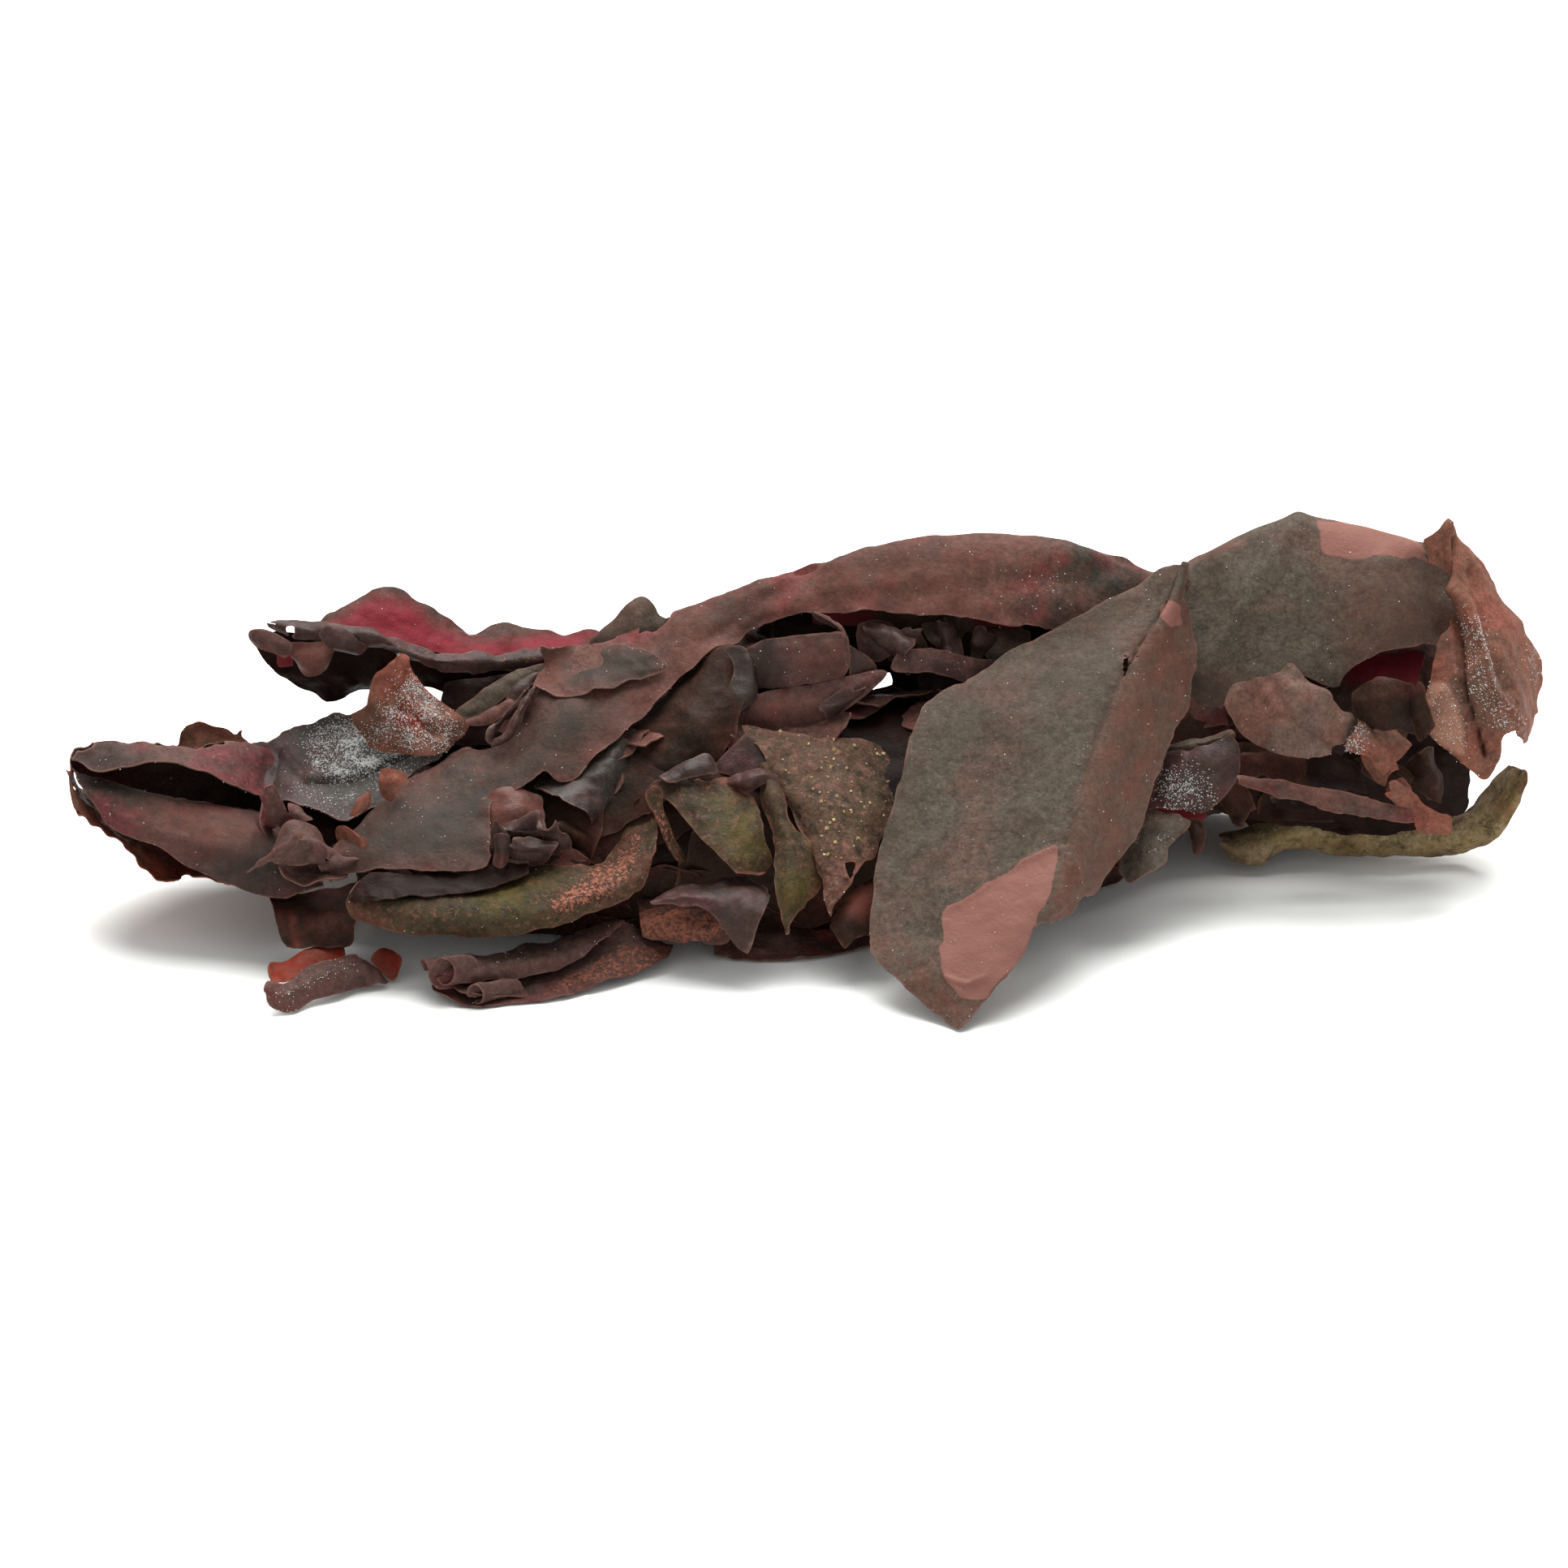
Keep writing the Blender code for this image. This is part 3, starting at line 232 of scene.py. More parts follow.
def patchMask(spots, patches):  # 0 to 1, each patch a loop and the softness of its edge
    mask = np.zeros(spots.shape[:-1])
    for loop, soft, amount in patches:
        mask = np.maximum(mask, amount * np.clip(0.5 + insideLoop(spots, loop) / (2 * soft), 0, 1))
    return mask


def foldIn(grid, normals, creases):
    spots = inPicture(grid)
    towards = np.sign(normals @ towardsViewer)[..., None] * normals
    for line, depth, width, kind in creases:
        line = np.asarray(line, float)
        gap = np.full(spots.shape[:-1], 1e9)
        side = np.zeros(spots.shape[:-1])
        for start, end in zip(line[:-1], line[1:]):
            here, turn = lineGap(spots, start, end)
            side = np.where(here < gap, np.sign(turn), side)
            gap = np.minimum(gap, here)
        if kind == "step":  # the right of the line drops back, fading away from it
            amount = (side > 0) * np.exp(-gap / (width * 10)) * np.clip(gap / 2.0, 0, 1)
        else:
            amount = np.exp(-((gap / (width * 10)) ** 2))
        grid = grid - towards * (depth * amount)[..., None]
    return grid


def withoutScraps(kept):  # leaves out what the torn edge cut loose from the sheet
    patch = np.where(kept, np.arange(1, kept.size + 1).reshape(kept.shape), 0)
    before = None
    while before is None or (patch != before).any():
        before = patch.copy()
        for side in (patch, patch.T):  # from each face to the next, both ways along and across
            side[1:] = np.maximum(side[1:], side[:-1])
            side[:-1] = np.maximum(side[:-1], side[1:])
        patch *= kept
    size = np.bincount(patch.ravel(), minlength=1)
    return kept & (size[patch] > tearing["smallestPatch"] * kept.sum())


def tornEdge(grid, seed):
    notches = np.maximum(waves(grid, "notch", seed + 8) - tearing["notchFrom"], 0)
    fine = 0.5 * waves(grid, "fineTear", seed + 3) + 0.3 * waves(grid, "finestTear", seed + 9)
    return waves(grid, "tear", seed) + fine - tearing["notchDepth"] * notches


def laySheet(name, values):
    # One thin sheet as a mesh object: grid, dents, torn edge, thickness.
    v = {**frondDefaults, **values}
    out = v["spread"] if "outline" in v else v["margin"]
    grid = layGrid(v["net"], v.get("place", seen), v["step"], out)
    spots = inPicture(grid)
    rag = v["rag"] * tornEdge(grid, v["seed"])
    if "outline" in v:
        facing = gridNormals(grid) @ towardsViewer
        turned = np.clip(1.6 - 2.5 * facing * np.sign(np.median(facing)), 0, 1)  # where it folds out of sight
        outside = insideLoop(spots, v["outline"]) / 10 + tearing["reach"] * rag
        room = np.minimum(borderRun(grid), outside + v.get("foldsOver", 0.0) * turned)
    else:
        room = borderRun(grid) - out + tearing["reach"] * rag
    for hole in v.get("holes", ()):
        room = np.minimum(room, -insideLoop(spots, hole) / 10 + tearing["holeReach"] * rag)
    # vertices next to what is trimmed off slide along the sheet onto the torn edge
    kept = withoutScraps((room[:-1, :-1] + room[1:, :-1] + room[1:, 1:] + room[:-1, 1:]) > 0)
    lost = np.zeros(room.shape, bool)
    used = np.zeros(room.shape, bool)
    for i in (0, 1):
        for j in (0, 1):
            part = (slice(i, room.shape[0] - 1 + i), slice(j, room.shape[1] - 1 + j))
            lost[part] |= ~kept
            used[part] |= kept
    slopeI, slopeJ = np.gradient(room)
    steep = np.maximum(slopeI**2 + slopeJ**2, 1e-4)
    slides = [
        np.clip(-room * slope / steep, -tearing["slide"], tearing["slide"]) * (lost & used) for slope in (slopeI,
                                                                                                          slopeJ)
    ]
    shaped = shapeSheet(grid, room, v)
    shaped = shaped + sum(np.gradient(shaped, axis=axis) * slide[..., None] for axis, slide in enumerate(slides))
    rows, columns = room.shape
    bpy.ops.mesh.primitive_grid_add(x_subdivisions=columns - 1, y_subdivisions=rows - 1, size=2)
    obj = bpy.context.object
    obj.name = name
    obj.data.name = name
    obj.data.vertices.foreach_set("co", (shaped * mm).ravel())
    writeMasks(obj, grid, room, v)
    dropFaces(obj, ~kept)
    thicken(obj, v["thick"])
    return obj


def shapeSheet(grid, room, v):
    seed = v["seed"]
    normals = gridNormals(grid)
    grid = foldIn(grid, normals, v.get("creases", ()))
    nearEdge = np.exp(-np.maximum(room, 0) / tearing["frillReach"])
    wave = (
        v["broad"] * waves(grid, "wide", seed)
        + 0.5 * v["broad"] * waves(grid, "middle", seed + 1)
        + v["crumple"] * waves(grid, "dent", seed + 2)
        + v["wrinkle"] * (1 - 2 * np.abs(waves(grid, "wrinkle", seed + 4)))
        + v["frill"] * nearEdge * (waves(grid, "frill", seed + 5) + 0.5 * waves(grid, "fineFrill", seed + 6))
    )
    shaped = grid + normals * wave[..., None]
    lowest = v["thick"] / 2 + v.get("lift", 0.0)
    shaped[..., 2] = np.maximum(shaped[..., 2], lowest)
    return shaped


def writeMasks(obj, grid, room, v):
    facing = gridNormals(grid) @ towardsViewer
    seenSide = np.clip(0.6 + 4 * facing * np.sign(np.median(facing)), 0, 1)
    drift = [waves(grid, "drift", v["seed"] + k) + 0.6 * waves(grid, "fineDrift", v["seed"] + k + 1) for k in (20,
                                                                                                               23)]
    spots = inPicture(grid) + tearing["patchDrift"] * np.stack(drift, axis=-1)
    # the masks in this order: stains with one painted light patch, salt, crust, tints with a painted glow of light
    # through thin parts, and painted shade with a darker tone
    masks = {key: seenSide * patchMask(spots, v.get(key, ())) for key in ("stainAndPaintedLight", "salt", "crust", "warm", "paintedShadeAndTint")}
    masks["edgeRun"] = np.clip(room, 0, tearing["deepestRun"])
    for key, values in masks.items():
        layer = obj.data.attributes.new(key, "FLOAT", "POINT")
        layer.data.foreach_set("value", values.astype(np.float32).ravel())


def dropFaces(obj, away):
    if not away.any():
        return
    bpy.context.tool_settings.mesh_select_mode = (False, False, True)
    obj.data.polygons.foreach_set("select", away.ravel())
    obj.data.vertices.foreach_set("select", np.zeros(len(obj.data.vertices), bool))
    obj.data.edges.foreach_set("select", np.zeros(len(obj.data.edges), bool))
    bpy.ops.object.mode_set(mode="EDIT")
    bpy.ops.mesh.delete(type="FACE")
    bpy.ops.object.mode_set(mode="OBJECT")


def applyAll(obj):
    bpy.context.view_layer.objects.active = obj
    for modifier in list(obj.modifiers):
        bpy.ops.object.modifier_apply(modifier=modifier.name)


def thicken(obj, thick):
    solid = obj.modifiers.new("thickness", "SOLIDIFY")
    solid.thickness = thick * mm
    solid.offset = 0.0
    applyAll(obj)
    bpy.ops.object.shade_smooth_by_angle(angle=math.radians(tearing["sharpAngle"]))


def deselectAll():
    bpy.ops.object.select_all(action="DESELECT")


def joinSheets(name, sheets):
    deselectAll()
    for sheet in sheets:
        sheet.select_set(True)
    bpy.context.view_layer.objects.active = sheets[0]
    if len(sheets) > 1:
        bpy.ops.object.join()
    obj = bpy.context.view_layer.objects.active
    obj.name = name
    obj.data.name = name
    return obj


def makePiece(name, sheets, finish, slot, *nodes):
    obj = joinSheets(name, sheets)
    spots = np.empty(3 * len(obj.data.vertices))
    obj.data.vertices.foreach_get("co", spots)
    spots[2::3] = np.maximum(spots[2::3], 0.0)  # nothing reaches below the floor
    obj.data.vertices.foreach_set("co", spots)
    obj.data.materials.clear()
    obj.data.materials.append(finishes[finish])
    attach(obj, "root")
    if nodes:
        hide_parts(*nodes)
    pieces.append(obj)
    return obj


def layPiece(name, values, finish, slot, *nodes):
    return makePiece(name, [laySheet(name, values)], finish, slot, *nodes)


pieces = []
deselectAll()

# finishes


def feed(tree, made, inputs):
    for key, value in inputs.items():
        if isinstance(value, bpy.types.NodeSocket):
            tree.links.new(value, made.inputs[key])
        else:
            made.inputs[key].default_value = value
    return made


def addNode(tree, kind, inputs=None, **settings):
    made = tree.nodes.new(kind)
    for key, value in settings.items():
        setattr(made, key, value)
    return feed(tree, made, inputs or {})


def newGroup(name, output, **inputs):  # an input is given by its first value, or by its kind where it has none
    kinds = {"Vector": "NodeSocketVector", "Color": "NodeSocketColor", "Float": "NodeSocketFloat"}
    tree = bpy.data.node_groups.new(name, "ShaderNodeTree")
    for key, value in inputs.items():
        kind = value if isinstance(value, str) else "Float"
        socket = tree.interface.new_socket(name=key, in_out="INPUT", socket_type=kinds[kind])
        if not isinstance(value, str):
            socket.default_value = value
    kind = "Color" if output == "Color" else "Float"
    tree.interface.new_socket(name=output, in_out="OUTPUT", socket_type=kinds[kind])
    source = tree.nodes.new("NodeGroupInput").outputs
    sink = tree.nodes.new("NodeGroupOutput").inputs
    return tree, source, sink


def blendColour(tree, factor, first, second, how="MIX"):
    sockets = {0: factor, 6: first, 7: second}
    return addNode(tree, "ShaderNodeMix", sockets, data_type="RGBA", blend_type=how).outputs[2]


def ramped(tree, value, low, high, to=(0.0, 1.0)):
    inputs = {"Value": value, "From Min": low, "From Max": high, "To Min": to[0], "To Max": to[1]}
    return addNode(tree, "ShaderNodeMapRange", inputs).outputs[0]


def worked(tree, how, *values):
    return addNode(tree, "ShaderNodeMath", dict(enumerate(values)), operation=how).outputs[0]


def cloud(tree, vector, scale, detail=3.0, rough=0.55):
    inputs = {"Vector": vector, "Scale": scale, "Detail": detail, "Roughness": rough}
    return addNode(tree, "ShaderNodeTexNoise", inputs).outputs[0]


def timesBrightness(tree, colour, brightness):
    grey = addNode(tree, "ShaderNodeCombineColor", {"Red": brightness, "Green": brightness, "Blue": brightness})
    return blendColour(tree, 1.0, colour, grey.outputs[0], "MULTIPLY")


def mottleGroup():  # blotches of three tones, a fine change of brightness, and painted shade along the fine creases
    tree, source, sink = newGroup(
        "frondMottle", "Color", Vector="Vector", Base="Color", Second="Color", Third="Color", Spread=0.5
    )
    place = source["Vector"]
    wide = cloud(tree, place, 62.0, 4.0, 0.62)
    red = cloud(tree, place, 84.0, 4.0, 0.65)
    narrow = cloud(tree, place, 290.0, 5.0, 0.7)
    low = worked(tree, "SUBTRACT", 0.70, worked(tree, "MULTIPLY", source["Spread"], 0.38))
    tone = blendColour(tree, ramped(tree, wide, low, worked(tree, "ADD", low, 0.12)), source["Base"],
                       source["Second"])
    tone = blendColour(tree, ramped(tree, red, 0.50, 0.62, (0.0, 0.85)), tone, source["Third"])
    tone = blendColour(tree, ramped(tree, narrow, 0.52, 0.64, (0.0, 0.55)), tone, source["Second"])
    coarse = ramped(tree, cloud(tree, place, 900.0, 3.0, 0.7), 0.3, 0.7, (0.72, 1.28))
    fine = ramped(tree, cloud(tree, place, 2600.0, 2.0, 0.6), 0.3, 0.7, (0.78, 1.22))
    # painted shade in the creases: darker along the crease lines of the same fine noise that the leathery grain bumps
    # into valleys
    creaseShade = worked(tree, "ABSOLUTE", worked(tree, "SUBTRACT", cloud(tree, place, 230.0, 4.0, 0.62), 0.5))
    brightness = worked(tree, "MULTIPLY", worked(tree, "MULTIPLY", coarse, fine),
                   ramped(tree, creaseShade, 0.0, 0.03, (0.8, 1.0)))
    tone = timesBrightness(tree, tone, brightness)
    tree.links.new(tone, sink["Color"])
    return tree


def saltGroup():  # powdery white grains, denser where the mask is high
    tree, source, sink = newGroup("saltDust", "Mask", Vector="Vector", Amount=0.0, Everywhere=0.0)
    place = source["Vector"]
    clumps = cloud(tree, place, 420.0, 4.0, 0.7)
    grains = cloud(tree, place, 3600.0, 2.0, 0.7)
    amount = worked(tree, "MULTIPLY", source["Amount"], ramped(tree, clumps, 0.34, 0.62, (0.15, 1.0)))
    amount = worked(tree, "ADD", amount, source["Everywhere"])
    edge = worked(tree, "SUBTRACT", 0.80, worked(tree, "MULTIPLY", amount, 0.42))
    mask = ramped(tree, grains, edge, worked(tree, "ADD", edge, 0.09))
    tree.links.new(mask, sink["Mask"])
    return tree


def crustGroup():  # patchy scabs inside a mask
    tree, source, sink = newGroup("scabbyCrust", "Mask", Vector="Vector", Amount=0.0)
    blots = cloud(tree, source["Vector"], 1900.0, 5.0, 0.8)
    edge = worked(tree, "SUBTRACT", 0.78, worked(tree, "MULTIPLY", source["Amount"], 0.36))
    mask = ramped(tree, blots, edge, worked(tree, "ADD", edge, 0.06))
    tree.links.new(mask, sink["Mask"])
    return tree


def speckleGroup():  # fine pink and dark dots
    tree, source, sink = newGroup("fineSpeckle", "Color", Vector="Vector", Color="Color", Dots="Color", Amount=0.3)
    place, amount = source["Vector"], source["Amount"]
    darkBlots = ramped(tree, cloud(tree, place, 520.0, 4.0, 0.75), 0.50, 0.66)
    tone = blendColour(tree, worked(tree, "MULTIPLY", darkBlots, amount), source["Color"], (0.012, 0.012, 0.007, 1.0))
    dots = ramped(tree, cloud(tree, place, 1150.0, 4.0, 0.8), 0.54, 0.66)
    tone = blendColour(tree, worked(tree, "MULTIPLY", dots, amount), tone, source["Dots"])
    tree.links.new(tone, sink["Color"])
    return tree


def rimGroup():  # 1 on the torn edge, fading inwards over the width; the line it draws is partly the edge's own red tint, partly a painted highlight where light catches the edge
    tree, source, sink = newGroup("rimTintAndHighlight", "Mask", Run=5.0, Vector="Vector", Width=0.5)
    uneven = ramped(tree, cloud(tree, source["Vector"], 700.0, 3.0, 0.6), 0.3, 0.7, (0.4, 1.6))
    reach = worked(tree, "MULTIPLY", source["Width"], uneven)
    mask = worked(tree, "SUBTRACT", 1.0, worked(tree, "DIVIDE", source["Run"], reach))
    tree.links.new(worked(tree, "MAXIMUM", mask, 0.0), sink["Mask"])
    return tree


def grainGroup():  # leathery height: creases, pimples, pores
    tree, source, sink = newGroup("leatheryGrain", "Height", Vector="Vector", Creases=1.0)
    place = source["Vector"]
    creases = worked(tree, "ABSOLUTE", worked(tree, "SUBTRACT", cloud(tree, place, 230.0, 4.0, 0.6), 0.5))
    creases = worked(tree, "MULTIPLY", worked(tree, "MULTIPLY", creases, 2.2), source["Creases"])
    pimples = worked(tree, "MULTIPLY", cloud(tree, place, 1400.0, 3.0, 0.6), 0.22)
    pores = worked(tree, "MULTIPLY", cloud(tree, place, 4200.0, 1.0, 0.5), 0.16)
    total = worked(tree, "ADD", worked(tree, "ADD", creases, pimples), pores)
    tree.links.new(total, sink["Height"])
    return tree


groups = {
    "mottle": mottleGroup(),
    "salt": saltGroup(),
    "crust": crustGroup(),
    "speckle": speckleGroup(),
    "rim": rimGroup(),
    "grain": grainGroup(),
}


def useGroup(tree, key, inputs):
    made = tree.nodes.new("ShaderNodeGroup")
    made.node_tree = groups[key]
    return feed(tree, made, inputs).outputs[0]


def rgba(colour):
    return (*colour, 1.0)


saltWhite = (0.34, 0.34, 0.325)


def frondFinish(name, v):
    material = bpy.data.materials.new(name)
    material.use_nodes = True
    tree = material.node_tree
    shader = tree.nodes["Principled BSDF"]
    place = addNode(tree, "ShaderNodeTexCoord").outputs["Object"]

    def mask(key):
        return addNode(tree, "ShaderNodeAttribute", attribute_name=key).outputs["Fac"]

    tones = {"Vector": place, "Base": rgba(v["base"]), "Second": rgba(v["second"]), "Third": rgba(v["third"])}
    colour = useGroup(tree, "mottle", {**tones, "Spread": v["spread"]})
    margin = ramped(tree, mask("edgeRun"), 0.0, 3.5, (v["edgeBlush"], 0.0))
    colour = blendColour(tree, margin, colour, rgba(v["third"]))
    # painted shade, partly a real darker tone: inside the shade mask the colour darkens towards a dimmed second tone
    shadeTone = [0.8 * part for part in v["second"]]
    colour = blendColour(tree, worked(tree, "MULTIPLY", mask("paintedShadeAndTint"), 0.9), colour, rgba(shadeTone))
    # tint patches, red or yellow-green; on the crimson fronds they paint the glow of light shining through the thin
    # sheet
    broken = ramped(tree, cloud(tree, place, 330.0, 4.0, 0.7), 0.36, 0.60, (1.0 - v["brokenUp"], 1.0))
    colour = blendColour(tree, worked(tree, "MULTIPLY", mask("warm"), broken), colour, rgba(v["warm"]))
    colour = useGroup(tree, "speckle", {"Vector": place, "Color": colour, "Dots": rgba(v["dots"]),
                                        "Amount": v["speckle"]})
    # pale stain patches; on the end blade the same mask paints a lighter patch as light on a lobe
    stainAndPaintedLight = ramped(tree, mask("stainAndPaintedLight"), 0.42, 0.58)
    colour = blendColour(tree, worked(tree, "MULTIPLY", stainAndPaintedLight, v["stainAndPaintedLightStrength"]), colour, rgba(v["stainAndPaintedLight"]))
    crust = useGroup(tree, "crust", {"Vector": place, "Amount": mask("crust")})
    colour = blendColour(tree, crust, colour, rgba(v["crust"]))
    # the torn edge's line: partly its own red tint, partly a painted highlight
    rim = useGroup(tree, "rim", {"Run": mask("edgeRun"), "Vector": place, "Width": v["rimWidth"]})
    colour = blendColour(tree, worked(tree, "MULTIPLY", rim, 0.8), colour, rgba(v["rim"]))
    salt = useGroup(tree, "salt", {"Vector": place, "Amount": mask("salt"), "Everywhere": v["dust"]})
    colour = blendColour(tree, salt, colour, rgba(saltWhite))
    tree.links.new(colour, shader.inputs["Base Color"])
    satin = ramped(tree, cloud(tree, place, 240.0, 3.0, 0.6), 0.3, 0.7, (v["rough"] - 0.07, v["rough"] + 0.09))
    rough = worked(tree, "MINIMUM", worked(tree, "ADD", satin, worked(tree, "MULTIPLY", salt, 0.35)), 0.95)
    tree.links.new(rough, shader.inputs["Roughness"])
    grain = useGroup(tree, "grain", {"Vector": place, "Creases": v["creases"]})
    height = worked(tree, "ADD", grain, worked(tree, "MULTIPLY", worked(tree, "ADD", salt, crust), 0.5))
    bump = addNode(tree, "ShaderNodeBump", {"Height": height, "Strength": v["bump"], "Distance": 0.0004})
    tree.links.new(bump.outputs[0], shader.inputs["Normal"])
    shader.inputs["Specular IOR Level"].default_value = v["shine"]
    shader.inputs["Sheen Weight"].default_value = v["bloom"]
    shader.inputs["Sheen Roughness"].default_value = 0.45
    return material


finishDefaults = {
    "base": (0.08, 0.05, 0.04),
    "second": (0.06, 0.045, 0.035),
    "third": (0.09, 0.035, 0.03),
    "spread": 0.5,
    # tint colour; on thin crimson parts it paints the glow of light shining through
    "warm": (0.12, 0.04, 0.03),
    # stain colour, also the colour of a painted light patch on the end blade
    "stainAndPaintedLight": (0.19, 0.084, 0.067),
    "stainAndPaintedLightStrength": 0.92,
    "crust": (0.23, 0.085, 0.055),
    # the rim colour is partly a painted highlight on the torn edge
    "rim": (0.14, 0.07, 0.054),
    "rimWidth": 0.24,
    "edgeBlush": 0.22,
    "brokenUp": 0.6,
    "speckle": 0.22,
    "dots": (0.13, 0.052, 0.044),
    "dust": 0,
    "rough": 0.52,
    "creases": 1,
    "bump": 0.5,
    "shine": 0.045,
    "bloom": 0.004,
}
finishValues = {
    "taupe": {
        "base": (0.072, 0.058, 0.044), "second": (0.06, 0.044, 0.032), "third": (0.094, 0.056, 0.043),
        "edgeBlush": 0.15, "speckle": 0.08,
    },
    "wine": {"base": (0.09, 0.047, 0.037), "second": (0.036, 0.032, 0.025), "third": (0.125, 0.03, 0.028)},
    "mauve": {"base": (0.074, 0.045, 0.037), "second": (0.028, 0.025, 0.02), "third": (0.11, 0.028, 0.03)},
    # painted shade, partly a real darker tone: a dimmed, greyer copy of the mauve tone for small folds, most of them
    # lying in shade
    "paintedShadeAndTint": {
        "base": (0.038, 0.022, 0.017), "second": (0.02, 0.016, 0.012), "third": (0.058, 0.02, 0.018),
        "rim": (0.11, 0.055, 0.044), "shine": 0.15, "rough": 0.5, "dots": (0.085, 0.04, 0.032),
    },
    "slate": {
        "base": (0.03, 0.026, 0.021), "second": (0.02, 0.015, 0.012), "third": (0.048, 0.021, 0.018), "shine": 0.2,
        "dots": (0.08, 0.045, 0.038),
    },
    "brick": {
        "stainAndPaintedLight": (0.255, 0.125, 0.085), "base": (0.148, 0.064, 0.042), "second": (0.098, 0.052, 0.037),
        "third": (0.16, 0.05, 0.035), "warm": (0.165, 0.018, 0.009), "rim": (0.19, 0.06, 0.036),
        "dots": (0.22, 0.095, 0.07),
    },
    # a dark brown frond whose tint patches paint red: its own red with a painted glow of light shining through
    "crimson": {
        "base": (0.052, 0.031, 0.023), "second": (0.038, 0.03, 0.023), "third": (0.07, 0.022, 0.018),
        "warm": (0.145, 0.014, 0.02), "rim": (0.07, 0.026, 0.021), "edgeBlush": 0, "brokenUp": 0.15, "speckle": 0.12,
        "dots": (0.1, 0.04, 0.034),
    },
    "olive": {
        "base": (0.04, 0.032, 0.017), "second": (0.022, 0.018, 0.01), "third": (0.085, 0.031, 0.02),
        "warm": (0.085, 0.066, 0.012), "bump": 0.8, "rough": 0.62, "shine": 0.08, "rim": (0.14, 0.055, 0.038),
        "speckle": 0.75, "dots": (0.15, 0.062, 0.04),
    },
    # painted light: the olive tone made several times lighter for the base frond, which lies in shade, on top of its
    # real lighter tone
    "paintedLightOlive": {
        "base": (0.25, 0.19, 0.105), "second": (0.12, 0.09, 0.04), "third": (0.13, 0.05, 0.03),
        "warm": (0.17, 0.125, 0.02), "bump": 0.8, "rough": 0.62, "shine": 0.08, "speckle": 0.7,
        "dots": (0.19, 0.09, 0.06),
    },
    "russet": {
        "base": (0.07, 0.044, 0.027), "second": (0.03, 0.025, 0.014), "third": (0.12, 0.048, 0.036), "bump": 0.8,
        "rough": 0.62, "shine": 0.08, "speckle": 0.8, "dots": (0.2, 0.085, 0.062), "rim": (0.15, 0.062, 0.044),
    },
    "clay": {
        "base": (0.112, 0.075, 0.06), "second": (0.078, 0.056, 0.043), "third": (0.135, 0.062, 0.048),
        "edgeBlush": 0.1,
    },
    "umber": {
        "base": (0.026, 0.014, 0.009), "second": (0.013, 0.009, 0.006), "third": (0.044, 0.014, 0.01),
        "warm": (0.11, 0.03, 0.022), "rim": (0.075, 0.032, 0.022), "dots": (0.055, 0.024, 0.018),
    },
    # painted shade: near black, for sheets put where only shade shows
    "dark": {
        "base": (0.01, 0.004, 0.003), "second": (0.006, 0.003, 0.002), "third": (0.018, 0.006, 0.004),
        "rim": (0.026, 0.011, 0.008), "bloom": 0, "shine": 0.06, "dots": (0.02, 0.008, 0.006),
    },
}
finishes = {name: frondFinish(name + "Frond", {**finishDefaults, **v}) for name, v in finishValues.items()}


def grainFinish(name, colour, rough):
    material = bpy.data.materials.new(name)
    material.use_nodes = True
    tree = material.node_tree
    shader = tree.nodes["Principled BSDF"]
    place = addNode(tree, "ShaderNodeTexCoord").outputs["Object"]
    brightness = ramped(tree, cloud(tree, place, 900.0), 0.3, 0.7, (0.75, 1.1))
    tone = timesBrightness(tree, rgba(colour), brightness)
    tree.links.new(tone, shader.inputs["Base Color"])
    shader.inputs["Roughness"].default_value = rough
    return material


finishes["salt"] = grainFinish("saltGrain", (0.55, 0.55, 0.53), 0.55)
finishes["yellow"] = grainFinish("yellowSpeck", (0.34, 0.24, 0.10), 0.6)
print("finishes made")

# fronds that show from the front

